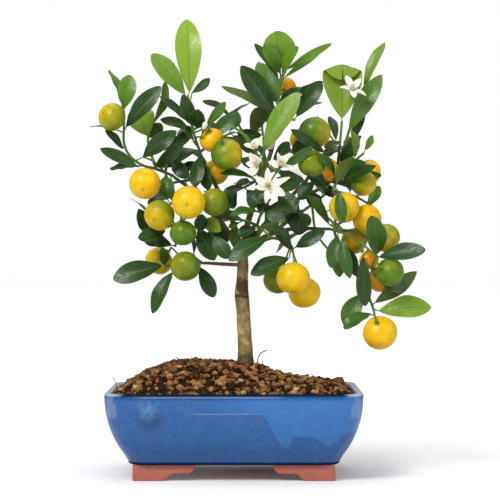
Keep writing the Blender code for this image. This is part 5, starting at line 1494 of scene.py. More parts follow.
class Heap:
    """Shapes gathered into one mesh, with a finish for each face and values for each point."""

    def __init__(self):
        self.points, self.faces, self.slots, self.uvs = [], [], [], []
        self.values = {}

    def add(self, points, faces, slot=0, uvs=None, **values):
        """Adds a shape. A value is one number for all its points, or a number for each."""
        first = len(self.points)
        self.points += points
        self.faces += [tuple(first + k for k in face) for face in faces]
        self.slots += [slot] * len(faces)
        self.uvs += uvs or [[(0.5, 0.5)] * len(face) for face in faces]
        for name, value in values.items():
            row = self.values.setdefault(name, [0.0] * first)
            row += value if isinstance(value, list) else [value] * len(points)
        for row in self.values.values():
            row += [0.0] * (len(self.points) - len(row))

    def make(self, name, finishes):
        """The mesh object, still in the pot's frame."""
        mesh = bpy.data.meshes.new(name)
        mesh.from_pydata([tuple(p) for p in self.points], [], self.faces)
        mesh.polygons.foreach_set("material_index", self.slots)
        layer = mesh.uv_layers.new(name="UVMap")
        layer.data.foreach_set("uv", [v for face in self.uvs for uv in face for v in uv])
        for title, row in self.values.items():
            mesh.attributes.new(title, "FLOAT", "POINT").data.foreach_set("value", row)
        for finish in finishes:
            mesh.materials.append(finish)
        obj = bpy.data.objects.new(name, mesh)
        bpy.context.scene.collection.objects.link(obj)
        return obj


def fitted(obj, slot, *nodes, angle=60):
    """Finishes a piece: smooth shading, its place on the plant, its body, and what it stands for."""
    pick(obj)
    bpy.ops.object.shade_smooth_by_angle(angle=math.radians(angle))
    obj.data.transform(Matrix.Translation(STAND))
    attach(obj, "root")
    if nodes:
        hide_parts(*nodes)
    return obj


def eased(points, pieces=4):
    """A smooth route through points."""
    route = [points[0] * 2 - points[1], *points, points[-1] * 2 - points[-2]]
    out = []
    for a, b, c, d in zip(route, route[1:], route[2:], route[3:]):
        for k in range(pieces):
            t = k / pieces
            out.append((b * 2 + (c - a) * t + (a * 2 - b * 5 + c * 4 - d) * t * t
                        + (b * 3 - a - c * 3 + d) * t ** 3) / 2)
    return [*out, points[-1]]


def eased_values(values, pieces=4):
    """Values that change smoothly, eased as a route is."""
    return [v.x for v in eased([Vector((value, 0, 0)) for value in values], pieces)]


def without_repeats(points, radii):
    """A route without places that lie on each other, which would leave a ring with no direction."""
    kept = [(points[0], radii[0])]
    for point, radius in zip(points[1:], radii[1:]):
        if (point - kept[-1][0]).length > SHORTEST_STEP:
            kept.append((point, radius))
    return [p for p, _ in kept], [r for _, r in kept]


# The age of a leaf as a tone, from old and dark to just opened. One tone is a dark leaf made a little
# lighter: a painted sheen where its gloss catches the light
TONES = {
    "dark": 0.06, "painted_sheen": 0.16, "mid": 0.38, "olive": 0.34, "fresh": 0.56, "young": 0.74, "light": 0.86,
    "pale": 0.97,
}
LEAF_ACROSS, LEAF_ALONG = 6, 16
LEAF_FACE, LEAF_BACK, TWIG = 0, 1, 2
TWIG_SIDES, PETIOLE_SIDES = 8, 6
TWIG_TONES, OLD_TWIG_TONE, STALK_TONE, CAP_TONE = (0.42, 0.7), 0.18, 0.72, 0.62
# A fruit's calyx: how far each of its rings lies before the stalk's end, and its share of the full radius
CAP_RINGS = ((1.35 * MM, 0.45), (0.85 * MM, 0.95), (0.25 * MM, 1.0), (0.0, 0.8))
CAP_SIDES, CAP_LOBES, LOBE_DEPTH = 20, 5, 0.256
# A broad leaf whose end folds over to the front: where its tip is seen, its width, and how much longer
# its blade is than it looks
FOLDED_TIP, FOLDED_WIDTH, FOLDED_STRETCH, FOLDED_BLUNT = (342, 66.5, 6), 39 * MM, 1.24, 0.85
BEND_FROM, BEND_RADIUS, BEND_MOST = 0.90, 5.0 * MM, math.radians(140)
# The bend starts this much earlier at the blade's edges than at its midrib, as a share of its length
BEND_SLANT = 0.13


def blade_outline(t, blunt):
    """A blade's half-width at a share of its length, as a share of the widest."""
    return max(0.035, math.sin(math.pi * t ** (0.96 + 0.46 * blunt)) ** (0.82 - 0.30 * blunt))


def bent_over(forward, length, u):
    """How far along the leaf and off its face a place on the folded end lies."""
    past = max(0.0, forward - (BEND_FROM - BEND_SLANT * u * u) * length)
    angle = min(past / BEND_RADIUS, BEND_MOST)
    rest = past - angle * BEND_RADIUS
    ahead = forward - past + BEND_RADIUS * math.sin(angle) + rest * math.cos(angle)
    return ahead, BEND_RADIUS * (1 - math.cos(angle)) + rest * math.sin(angle)


def leaf_sheet(heap, grid, blade, tone, turned, rng):
    """One blade as a sheet: folded at the midrib, arched, with a waved margin and a curled tip."""
    points, faces, uvs = grid
    folded = (blade.tip - seen(*FOLDED_TIP)).length < 1 * MM
    if folded:
        blade = blade._replace(width=FOLDED_WIDTH, axes=leaf_axes(blade.base, blade.tip, 0))
    along, across, face = blade.axes
    length = (blade.tip - blade.base).length
    blunt, phase = rng.uniform(0.25, 0.95), rng.uniform(0, math.tau)
    waves, wave, curl = rng.uniform(1.6, 3.2), rng.uniform(0.15, 0.6) * MM, rng.uniform(-0.03, 0.05)
    slant = rng.uniform(-0.05, 0.05)
    if folded:
        blunt, slant = FOLDED_BLUNT, 0.0
    out = []
    for p in points:
        u, t = p.x * 2, (1 - math.cos(math.pi * (p.y + 0.5))) / 2
        half = blade.width / 2 * blade_outline(t, blunt)
        fold = 1.35 * blade.fold * math.sin(math.pi * min(1.0, t * 1.15)) ** 0.6
        lift = blade.arch * length * 4 * t * (1 - t) - curl * length * t ** 4
        lift += abs(u) ** 1.15 * half * fold
        lift += wave * abs(u) ** 2 * math.sin(waves * math.tau * t + phase + (1.3 if u > 0 else 0))
        sway = slant * length * t * (1 - t)
        forward, off = length * t, 0.0
        if folded:
            forward, off = bent_over(forward * FOLDED_STRETCH, length, u)
        out.append(blade.base + along * forward + across * (u * half + sway) + face * (lift + off))
    if turned:
        faces = [tuple(reversed(f)) for f in faces]
        uvs = [list(reversed(row)) for row in uvs]
    heap.add(out, faces, LEAF_FACE, uvs, tone=tone, chance=rng.random())
    return [out[k] for k in midrib_of(points)]


def midrib_of(points):
    """Which points of the leaf's grid lie on its midrib, from the base to the tip."""
    middle = [k for k, p in enumerate(points) if abs(p.x) < 1e-6]
    return sorted(middle, key=lambda k: points[k].y)


def leaf_stalk(heap, blade, rib, tone, turned):
    """The petiole from the twig to the blade, which runs on under it as the raised midrib."""
    face = blade.axes[2] * (1 if turned else -1)
    start = [blade.root.lerp(blade.base, s) for s in (0.0, 0.5)]
    under = [p + face * 0.30 * MM for p in rib[1:11:3]]
    points = eased([*start, *under], 2)
    count = len(points)
    radii = [(0.78 - 0.5 * k / (count - 1)) * MM for k in range(count)]
    shape = tube(*without_repeats(points, radii), PETIOLE_SIDES)
    heap.add(*shape, TWIG, tone=0.45 + 0.5 * tone)


def stem_shape(heap, stem, base_tone, tip_tone):
    """A twig, eased, with slight swellings here and there along it."""
    points, radii = without_repeats(eased(stem.points), eased_values(stem.radii))
    radii = [r * (1.0 + 0.10 * noise.noise(p * 400)) for p, r in zip(points, radii)]
    shape = tube(points, radii, TWIG_SIDES)
    places = [min(1.0, (k // TWIG_SIDES) / len(points)) for k in range(len(shape[0]))]
    heap.add(*shape, TWIG, tone=[base_tone + (tip_tone - base_tone) * place for place in places])


def stalk_shape(heap, stem):
    """A fruit's or a bloom's stalk, ending in the small five-lobed button of the calyx."""
    start, bend, neck, end = stem.points
    cap = stem.radii[-1]
    axis = (end - neck).normalized()
    points = eased([start, bend, neck], 5)
    radii = [STALK_RADIUS * (1.0 + 0.25 * (k / (len(points) - 1)) ** 3) for k in range(len(points))]
    heap.add(*tube(*without_repeats(points, radii), TWIG_SIDES), TWIG, tone=STALK_TONE)
    rings = [[neck - axis * 0.5 * MM]]
    turns = [math.tau * k * CAP_LOBES / CAP_SIDES for k in range(CAP_SIDES)]
    for back, share in CAP_RINGS:
        middle = end - axis * back
        notches = [1.0 - LOBE_DEPTH / 2 * share * (1 - math.cos(turn)) for turn in turns]
        ring = circle(middle, axis, cap * share, CAP_SIDES)
        rings.append([middle + (p - middle) * notch for p, notch in zip(ring, notches)])
    rings.append([end])
    heap.add(*lofted(rings), TWIG, tone=CAP_TONE)


def build_spray(spray, grown, finishes, thickness):
    """One leafy spray: its blades, given their thickness, and its twigs and stalks."""
    rng = random.Random(SEED + sum(ord(letter) for letter in spray))
    add = bpy.ops.mesh.primitive_grid_add
    grid = blank(add, x_subdivisions=LEAF_ACROSS, y_subdivisions=LEAF_ALONG, size=1)
    sheets, woody = Heap(), Heap()
    for blade, tone_name in grown.leaves[spray]:
        tone = clamped(TONES[tone_name] + rng.uniform(-0.05, 0.05))
        turned = tone_name == "olive"
        rib = leaf_sheet(sheets, grid, blade, tone, turned, rng)
        leaf_stalk(woody, blade, rib, tone, turned)
    base_tone, tip_tone = TWIG_TONES
    for k, stem in enumerate(grown.twigs[spray]):
        stem_shape(woody, stem, OLD_TWIG_TONE if k == 0 else base_tone, tip_tone)
    for stem in grown.stalks[spray]:
        stalk_shape(woody, stem)
    leaves = sheets.make("foliage_" + spray, finishes)
    backs = {"material_offset": LEAF_BACK, "material_offset_rim": LEAF_BACK}
    worked(leaves, "SOLIDIFY", thickness=thickness, offset=0.0, **backs)
    twigs = woody.make("twigs_" + spray, finishes)
    return fitted(joined(leaves, twigs), "leaves", "spray_" + spray, angle=50)


# Fruit: how ripe, and towards which side (right, up, front) it is riper, by how much
RIPENESS = {
    "fruit_01": (0.40, (-0.7, 0.6, 0.5), 0.14), "fruit_02": (0.80, (0.2, 0.0, 0.3), 0.03),
    "fruit_03": (0.45, (-0.7, -0.6, 0.3), 0.18), "fruit_04": (0.75, (0.1, 0.9, 0.3), 0.13),
    "fruit_05": (0.30, (-0.7, 0.6, 0.2), 0.09), "fruit_06": (0.18, (0.0, 0.8, 0.2), 0.07),
    "fruit_07": (0.27, (-0.8, 0.1, 0.2), 0.13), "fruit_08": (0.57, (-0.8, 0.4, 0.2), 0.08),
    "fruit_09": (0.76, (0.3, 0.7, 0.4), 0.10), "fruit_10": (0.27, (0.8, 0.1, 0.3), 0.28),
    "fruit_11": (0.74, (0.4, 0.3, 0.6), 0.14), "fruit_12": (0.82, (0.0, 0.3, 0.8), 0.05),
    "fruit_13": (0.33, (0.9, -0.3, -0.4), 0.32), "fruit_14": (0.52, (-0.6, -0.6, 0.3), 0.14),
    "fruit_15": (0.26, (-0.2, 0.4, 0.3), 0.08), "fruit_16": (0.82, (0.2, -0.5, 0.4), 0.10),
    "fruit_17": (0.80, (0.7, 0.5, 0.2), 0.05), "fruit_18": (0.44, (0.8, -0.6, -0.3), 0.28),
    "fruit_19": (0.74, (0.2, 0.5, 0.3), 0.08), "fruit_20": (0.80, (0.3, 0.7, 0.2), 0.03),
    "fruit_21": (0.60, (-0.4, 0.7, 0.2), 0.15), "fruit_22": (0.46, (-0.5, -0.7, 0.2), 0.10),
    "fruit_23": (0.20, (0.0, 0.6, 0.3), 0.06), "fruit_24": (0.88, (0.3, -0.4, 0.4), 0.06),
    "fruit_25": (0.85, (0.0, 0.5, 0.5), 0.05), "fruit_26": (0.78, (0.1, -0.4, 0.5), 0.05),
    "fruit_27": (0.70, (0.7, 0.0, 0.2), 0.12), "fruit_28": (0.76, (0.4, -0.4, 0.3), 0.04),
    "fruit_29": (0.27, (-0.2, -0.6, 0.3), 0.08), "fruit_30": (0.80, (0.3, -0.5, -0.8), 0.08),
    "fruit_31": (0.92, (0.2, -0.3, -0.9), 0.05), "fruit_32": (0.70, (0.5, -0.3, -0.8), 0.14),
}
FRUIT_SECTORS, FRUIT_RINGS = 40, 24
# The dimples at a fruit's stalk and at its other end: how wide in radians, and how deep for its radius
TOP_WIDTH, TOP_DEPTH, BOTTOM_WIDTH, BOTTOM_DEPTH = 0.34, 0.035, 0.20, 0.022
# The furrows round the stalk: how far from it, how wide in radians, and how deep
FURROW_PLACE, FURROW_WIDTH, FURROW_DEPTH = 0.42, 0.3, 0.006
LUMP_DEPTH, PATCH_DEPTH, SCAR_WIDTH, SCAR_DEPTH = 0.022, 0.07, 0.10, 0.85


def bell(distance, width):
    """One at the middle, falling smoothly to nought."""
    return math.exp(-(distance / width) ** 2)


def scattered(rng, reach, count=3):
    """A random place, for noise that differs from piece to piece."""
    return Vector([rng.uniform(0, reach) for _ in range(count)] + [0] * (3 - count))


def fruit_skin(heap, ball, centre, radius, stem, ripeness, rng):
    """One fruit: a little flat, dimpled and furrowed at the stalk, with a scar at the other end."""
    points, faces, uvs = ball
    turn = stem.to_track_quat("Z", "Y").to_matrix() @ Matrix.Rotation(rng.uniform(0, math.tau), 3, "Z")
    base, side, swing = ripeness
    side = fruit_direction(side)
    offset = scattered(rng, 9)
    furrows = rng.randint(7, 10)
    out, ripe, scar = [], [], []
    for p in points:
        angle = math.atan2(p.xy.length, p.z)
        groove = bell(angle - FURROW_PLACE, FURROW_WIDTH) * (math.cos(math.atan2(p.y, p.x) * furrows) - 1)
        reach = 1.0 + noise.noise(p * 1.6 + offset) * LUMP_DEPTH + groove * FURROW_DEPTH
        reach -= TOP_DEPTH * bell(angle, TOP_WIDTH) + BOTTOM_DEPTH * bell(math.pi - angle, BOTTOM_WIDTH)
        local = Vector((p.x * reach, p.y * reach, p.z * FRUIT_SQUASH * reach))
        out.append(centre + turn @ local * radius)
        here = turn @ p
        patch = noise.noise(here * 1.9 + offset) * PATCH_DEPTH
        ripe.append(clamped(base + swing * here.dot(side) + patch))
        scar.append(SCAR_DEPTH * bell(math.pi - angle, SCAR_WIDTH))
    heap.add(out, faces, 0, uvs, ripe=ripe, scar=scar)


def build_fruit(fruit, grown, finish, ball):
    """One fruit in its place, as ripe as it is seen."""
    rng = random.Random(SEED + int(fruit.name[-2:]))
    heap = Heap()
    fruit_skin(heap, ball, *grown.fruits[fruit.name], RIPENESS[fruit.name], rng)
    return fitted(heap.make("calamondin" + fruit.name[-3:], [finish]), "peel_" + fruit.peel, fruit.name)


PETAL, ANTHER, CALYX = 0, 1, 2
PETAL_ACROSS, PETAL_ALONG = 6, 12
# The petals of the blooms that the front view shows: which way each points, anticlockwise from the right,
# and how far it opens from the bloom's axis, in degrees; then its length and width in mm
PETALS_SEEN = {
    "bloom_1": [
        (92, 80, 15.5, 6.4), (22, 82, 21, 5.0), (-28, 80, 17, 8.8), (-98, 76, 15, 5.6), (146, 74, 14, 7.4),
        (186, 72, 11, 7.0),
    ],
    "bloom_2": [
        (-4, 98, 23, 7.8), (104, 38, 12, 5.8), (55, 36, 13, 6.4), (168, 80, 10.5, 6.2), (78, 14, 10, 5.6),
    ],
    "bloom_3": [
        (62, 50, 13, 8.2), (104, 58, 13, 8.2), (152, 46, 11, 7.4), (18, 54, 10, 7.4), (-70, 40, 8, 6.4),
    ],
    "bloom_4": [
        (172, 60, 11, 6.4), (122, 54, 13, 7.6), (216, 70, 12, 5.8), (258, 72, 9, 5.6), (58, 50, 8, 5.6),
    ],
    "bloom_6": [
        (104, 60, 15, 7.0), (62, 60, 14, 7.0), (-32, 86, 13.5, 6.6), (-92, 84, 12, 6.6), (176, 80, 11, 6.4),
    ],
}
# Round forms on a bloom's axis: heights, then radii, in mm. A bud's heights are shares of its length.
CUP = (0.0, 0.5, 1.4, 2.2), (1.1, 1.9, 2.3, 1.7)
BUD = (0.05, 0.2, 0.38, 0.55, 0.72, 0.88, 1.0), (1.3, 1.8, 2.3, 2.6, 2.5, 1.7, 0.4)
STYLE = (1.0, 4.2, 5.0, 5.7), (0.55, 0.45, 0.9, 0.5)
CUP_SIDES, STYLE_SIDES, SEPAL_SIDES = 15, 8, 6
SEPAL_RADII, SEPAL_TIP = (0.9, 0.5, 0.1), 0.7
FILAMENT_RADII, FILAMENT_SIDES = (0.34, 0.28, 0.2), 5
# An anther: shares of the way along it, its radii there in mm, its length in mm
ANTHER_PLACES, ANTHER_RADII, ANTHER_LENGTH = (0.0, 0.3, 0.75, 1.0), (0.25, 0.5, 0.45, 0.12), 1.1
ANTHER_SIDES, STAMEN_HEIGHT = 6, 6.3 * MM


def petal_plan(bloom, axis):
    """Each petal's spoke, opening, length and width."""
    plan = []
    for turn, opening, length, width in PETALS_SEEN[bloom.name]:
        way = Vector((math.cos(math.radians(turn)), 0, math.sin(math.radians(turn))))
        spoke = (way - axis * way.dot(axis)).normalized()
        plan.append((spoke, math.radians(opening), length * MM, width * MM))
    return plan


def fine_petal(heap, grid, start, way, face, length, width, opening, rng):
    """One thick strap petal, hollowed like a spoon, crumpled a little and curled back towards its tip."""
    points, faces, uvs = grid
    across = way.cross(face).normalized()
    curl = rng.uniform(0.05, 0.20) if opening > 1 else rng.uniform(-0.02, 0.06)
    twist = rng.uniform(-0.4, 0.4)
    offset = rng.uniform(0, 50)
    out = []
    for p in points:
        u, t = p.x * 2, p.y + 0.5
        belly = 0.34 + 0.66 * math.sin(math.pi * min(1.0, 0.12 + t * 0.78)) ** 0.8
        half = width / 2 * belly * (1 - 0.72 * t ** 6)
        lift = 0.05 * length * math.sin(math.pi * t) - curl * length * t ** 2.2
        lift += abs(u) ** 2 * half * 0.34 * (1 - 0.6 * t)
        lift += u * half * twist * t + noise.noise(Vector((u, t * 2.6, offset))) * 0.7 * MM * t
        out.append(start + way * length * t + across * u * half + face * lift)
    heap.add(out, faces, PETAL, uvs)


def turned_form(base, axis, rows, sides):
    """A round form on an axis, from heights and radii in mm."""
    heights, radii = rows
    return tube([base + axis * h * MM for h in heights], [r * MM for r in radii], sides)


def stamen_ring(heap, base, axis, count, rng):
    """White filaments that stand in a ring round the style, each with a yellow tip."""
    for spoke in circle(Vector(), axis, 1.0, count):
        foot = base + axis * 1.4 * MM + spoke * 1.0 * MM
        tip = base + axis * (STAMEN_HEIGHT * rng.uniform(0.86, 1.0)) + spoke * rng.uniform(1.5, 2.0) * MM
        middle = foot.lerp(tip, 0.5) + spoke * 0.15 * MM
        heap.add(*tube([foot, middle, tip], [r * MM for r in FILAMENT_RADII], FILAMENT_SIDES), PETAL)
        end = tip + (tip - foot).normalized() * ANTHER_LENGTH * MM
        places = [tip.lerp(end, share) for share in ANTHER_PLACES]
        heap.add(*tube(places, [r * MM for r in ANTHER_RADII], ANTHER_SIDES), ANTHER)
    heap.add(*turned_form(base, axis, STYLE, STYLE_SIDES), ANTHER)


def calyx(heap, base, axis):
    """A bloom's green cup with its five sepals."""
    heap.add(*turned_form(base, axis, CUP, CUP_SIDES), CALYX)
    for spoke in circle(Vector(), axis, 1.0, PETALS):
        foot, bend = (base + axis * h * MM + spoke * out * MM for h, out in ((1.0, 1.7), (2.4, 2.5)))
        tip = bend + (axis + spoke * 0.4) * SEPAL_TIP * MM
        heap.add(*tube([foot, bend, tip], [r * MM for r in SEPAL_RADII], SEPAL_SIDES), CALYX)


def build_bloom(bloom, finishes, settings):
    """One bloom: calyx, petals and stamens, or a closed bud."""
    rng = random.Random(SEED + 50 + int(bloom.name[-1]))
    base, axis = seen(bloom.across, bloom.down, bloom.depth), fruit_direction(bloom.facing)
    petals, rest = Heap(), Heap()
    calyx(rest, base, axis)
    if bloom.kind == "bud":
        shares, radii = BUD
        points = [base + axis * bloom.petal * MM * t for t in shares]
        shape, faces = tube(eased(points, 3), eased_values([r * MM for r in radii], 3), CUP_SIDES)
        rest.add(shape, faces, PETAL, [[(0.5, 0.8)] * len(f) for f in faces])
        return fitted(rest.make("flower" + bloom.name[-2:], finishes), "petals", bloom.name, angle=70)
    add = bpy.ops.mesh.primitive_grid_add
    grid = blank(add, x_subdivisions=PETAL_ACROSS, y_subdivisions=PETAL_ALONG, size=1)
    for spoke, opening, long, wide in petal_plan(bloom, axis):
        way, face = petal_axes(axis, spoke, opening)
        start = base + axis * 1.3 * MM + spoke * 1.2 * MM
        fine_petal(petals, grid, start, way, face, long, wide, opening, rng)
    stamen_ring(rest, base, axis, settings.stamens, rng)
    flat = petals.make("flower" + bloom.name[-2:], finishes)
    worked(flat, "SOLIDIFY", thickness=settings.thickness, offset=0.0)
    middle = rest.make("flower_middle" + bloom.name[-2:], finishes)
    return fitted(joined(flat, middle), "petals", bloom.name, angle=60)


# Rows of the front view that the bark's marks follow, and the pixel across that they are read at
SCAR_TOP, SCAR_BOTTOM, MOSS_BELOW, SOIL_ROW, TRUNK_ACROSS = 276, 297, 292, 350, 243
SCAR_RING = 1.6 * MM
BARK_SIDES, LIMB_BARK_SIDES, BARK_STEPS, LIMB_STEPS = 28, 12, 9, 7
# How far over the scar the painted shade under the crown comes on, and how far up from the soil it is damp
CROWN_SHADE_FADE, DAMP_OVER, DAMP_FADE = 8 * MM, 2 * MM, 9 * MM
# The scale of the bark's ridges, knobs and ragged edges, across and along the trunk
RIDGES, KNOBS, RAGS = Vector((330, 330, 70)), Vector((60, 60, 90)), Vector((90, 90, 40))
KNOB_OFFSET = Vector((3, 1, 7))


def bark_marks(p, height, scar_low, scar_high, moss_top, soil):
    """The values that a place on the trunk carries. The height is ragged and the place isn't."""
    band = 1 - abs(height - (scar_low + scar_high) / 2) / (scar_high - scar_low) * 1.25
    ring = 1.4 - abs(height - scar_low) / SCAR_RING
    return {
        "scar": max(0.0, band * 0.85, ring),
        # upper: painted shade over the graft, where the crown shades the trunk
        "upper": clamped((height - scar_high) / CROWN_SHADE_FADE),
        "moss": 1.0 if p.z < moss_top else 0.15,
        "damp": 0.75 * clamped((soil + DAMP_OVER - p.z) / DAMP_FADE),
    }


def trunk_bark(heap, relief):
    """The trunk's skin, ridged and knobbed above the soil."""
    knots, radii = trunk_stem()
    points, spans = without_repeats(eased(knots, BARK_STEPS), eased_values(radii, BARK_STEPS))
    rows = (SCAR_BOTTOM, SCAR_TOP, MOSS_BELOW, SOIL_ROW)
    levels = [seen(TRUNK_ACROSS, row, 0).z for row in rows]
    soil = levels[-1]
    shape, faces = tube(points, spans, BARK_SIDES)
    out, marks = [], []
    for k, p in enumerate(shape):
        way = p - points[min(k // BARK_SIDES, len(points) - 1)]
        if p.z > soil - 20 * MM and way.length > 1 * MM:
            ridges = noise.noise(p * RIDGES) + 0.5 * noise.noise(p * 900)
            knob = noise.noise(p * KNOBS + KNOB_OFFSET) * 0.7
            p = p + way.normalized() * (ridges + knob) * relief
        out.append(p)
        marks.append(bark_marks(p, p.z + noise.noise(p * RAGS) * 3.5 * MM, *levels))
    heap.add(out, faces, 0, green=0.0, **{name: [row[name] for row in marks] for name in marks[0]})


def build_wood(finish, relief):
    """The trunk and limbs: eased stems with furrowed bark, a graft scar and a flared foot."""
    heap = Heap()
    trunk_bark(heap, relief)
    for route, first, last in LIMBS.values():
        knots = [seen(*p) for p in route]
        spans = eased_values(tapered(knots, first * MM, last * MM).radii, LIMB_STEPS)
        shape, faces = tube(*without_repeats(eased(knots, LIMB_STEPS), spans), LIMB_BARK_SIDES)
        shape = [p + (noise.noise(p * 300) * 0.12 * MM) * Vector((1, 1, 1)) for p in shape]
        green = [0.15 + 0.7 * (k / len(shape)) ** 1.3 for k in range(len(shape))]
        # every limb fully darkened: painted shade under the crown
        heap.add(shape, faces, 0, green=green, moss=0.3, upper=1.0)
    return fitted(heap.make("bark_of_trunk_and_limbs", [finish]), "bark", "trunk_and_limbs", angle=60)


GLAZE, CLAY = 0, 1
CORNER_STEPS, FOOT_BEVEL = 12, 1.3 * MM
# The bare clay round each drain hole, and the height of the bare band under the body
BORE_REACH, UNDER_BAND = 12 * MM, 0.6 * MM
# The heights between which the drain holes are cut, and the sides of each
CUT_FROM, CUT_TO, HOLE_SIDES = 5 * MM, 40 * MM, 32
# The dark lines where the glaze breaks: the height from the foot line or the rim and the half-width, in mm
FOOT_BREAK, RIM_BREAK = (1.6, 2.2), (-0.9, 2.3)
FOOT_BREAK_STRENGTH, RIM_BREAK_STRENGTH = 1.5, 1.6
# The rim turns pale round the corners with a painted reflection, from the first distance along the pot to the
# second, in mm
PALE_FROM, PALE_TO = 102, 113
# How strong the rim's painted reflection is at its ends, on its back and inside the wall
REFLECTION_AT_ENDS, REFLECTION_AT_BACK, REFLECTION_INSIDE = 0.9, 0.55, 0.20
# The pot's inside starts this far in from its outline, above the first height and under the rim, in mm
INSIDE_INSET, INSIDE_LOW, INSIDE_DROP = 3.4, 60, 1.2
# The lip's round, as millimetres below the rim and in from its outline
LIP_CURVE = [(1.1, 0.35), (0.3, 1.1), (0.0, 2.3), (0.0, 4.7), (0.4, 6.1), (1.6, 7.0)]
# Heights on the inside of the wall, and the foot line's height and inset, in mm
INNER_HEIGHTS = (78, 68, 55, 43, 33, 25.5)
FOOT_LINE_RISE, FOOT_LINE_INSET = 0.3, 1.0


def pot_profile():
    """The pot's wall from the foot line up, over the lip and down inside, as height and inset in mm."""
    rows = [Vector((inset, 0, z)) for z, inset in POT_SIDE]
    outer = [(p.z, p.x) for p in eased(rows, 3)]
    lip = [(RIM_HEIGHT / MM - drop, inset) for drop, inset in LIP_CURVE]
    inner = [(z, (side_inset(z * MM) + WALL) / MM) for z in INNER_HEIGHTS]
    foot_line = (FOOT_HEIGHT / MM + FOOT_LINE_RISE, POT_SIDE[0][1] + FOOT_LINE_INSET)
    floor = (FLOOR_TOP / MM, (side_inset(FLOOR_TOP) + WALL + FLOOR_ROUND) / MM)
    return [foot_line, *outer[1:], *lip, *inner, floor]


def build_pot_body():
    """The glazed body: a plane with rounded corners, pulled up ring by ring to the pot's profile."""
    start_clean()
    profile = pot_profile()
    low, inset = profile[0]
    bpy.ops.mesh.primitive_plane_add(size=2, location=(0, 0, low * MM))
    obj = bpy.context.object
    obj.name = "glazed_pot"
    obj.scale = (RIM_HALF_LENGTH - inset * MM, RIM_HALF_WIDTH - inset * MM, 1)
    bpy.ops.object.transform_apply(location=True, scale=True)
    bpy.ops.object.mode_set(mode="EDIT")
    bpy.ops.mesh.select_all(action="SELECT")
    corner = CORNER_RADIUS - inset * CORNER_LOSS * MM
    bpy.ops.mesh.bevel(offset=corner, segments=CORNER_STEPS, affect="VERTICES")
    bpy.ops.mesh.select_all(action="SELECT")
    for (z0, a), (z1, b) in zip(profile, profile[1:]):
        bpy.ops.mesh.extrude_region_move(TRANSFORM_OT_translate={"value": (0, 0, (z1 - z0) * MM)})
        now, then = RIM_HALF_LENGTH - a * MM, RIM_HALF_LENGTH - b * MM
        wide, wider = RIM_HALF_WIDTH - a * MM, RIM_HALF_WIDTH - b * MM
        bpy.ops.transform.resize(value=(then / now, wider / wide, 1), center_override=(0, 0, z1 * MM))
    faced_outwards(obj)
    return obj


def drill(obj, x, y, radius):
    """Cuts a round hole down through a piece."""
    start_clean()
    place = (x, y, (CUT_FROM + CUT_TO) / 2)
    rows = {"vertices": HOLE_SIDES, "radius": radius, "depth": CUT_TO - CUT_FROM}
    bpy.ops.mesh.primitive_cylinder_add(location=place, **rows)
    cutter = bpy.context.object
    worked(obj, "BOOLEAN", operation="DIFFERENCE", object=cutter)
    bpy.data.objects.remove(cutter)


def build_foot(sx, sy, finishes):
    """One bracket foot at a corner: an L of two cut legs under the body."""
    x0, y0 = RIM_HALF_LENGTH - FOOT_INSET, RIM_HALF_WIDTH - FOOT_INSET
    along, aside = [], []
    for x, y in ((x0 - FOOT_STEP, y0), (x0 - FOOT_THICKNESS, y0 - FOOT_THICKNESS)):
        along += [Vector((sx * (x0 - a * MM), sy * y, b * MM)) for a, b in FOOT_FACE]
        face = [(y0 - FOOT_STEP - a * SIDE_FOOT_SHARE * MM, b * MM) for a, b in FOOT_FACE]
        aside += [Vector((sx * x, sy * back, up)) for back, up in face]
    n = len(FOOT_FACE)
    faces = [tuple(range(n)), tuple(reversed(range(n, 2 * n)))]
    faces += [(k, k + n, (k + 1) % n + n, (k + 1) % n) for k in range(n)]
    heap = Heap()
    for points in (along, aside):
        heap.add(points, faces, CLAY)
    obj = heap.make("clay_foot", finishes)
    faced_outwards(obj)
    worked(obj, "BEVEL", width=FOOT_BEVEL, segments=3, limit_method="ANGLE")
    return obj


def build_pot(settings):
    """The whole pot: glazed body, drain holes, unglazed underside and four clay feet."""
    body = build_pot_body()
    for x in (-DRAIN_OFFSET, DRAIN_OFFSET):
        drill(body, x, 0, DRAIN_RADIUS)
    finishes = [glaze_finish(settings), clay_finish(settings)]
    for finish in finishes:
        body.data.materials.append(finish)
    for polygon in body.data.polygons:
        place = polygon.center
        by_hole = abs(abs(place.x) - DRAIN_OFFSET) < BORE_REACH and abs(place.y) < BORE_REACH
        bore = by_hole and place.z < FLOOR_TOP + 1 * MM and abs(polygon.normal.z) < 0.5
        polygon.material_index = CLAY if bore or place.z < FOOT_HEIGHT + UNDER_BAND else GLAZE
    mark_pot(body.data)
    feet = [build_foot(sx, sy, finishes) for sx in (1, -1) for sy in (1, -1)]
    return fitted(joined(body, *feet), "blue_glaze", "pot", angle=35)


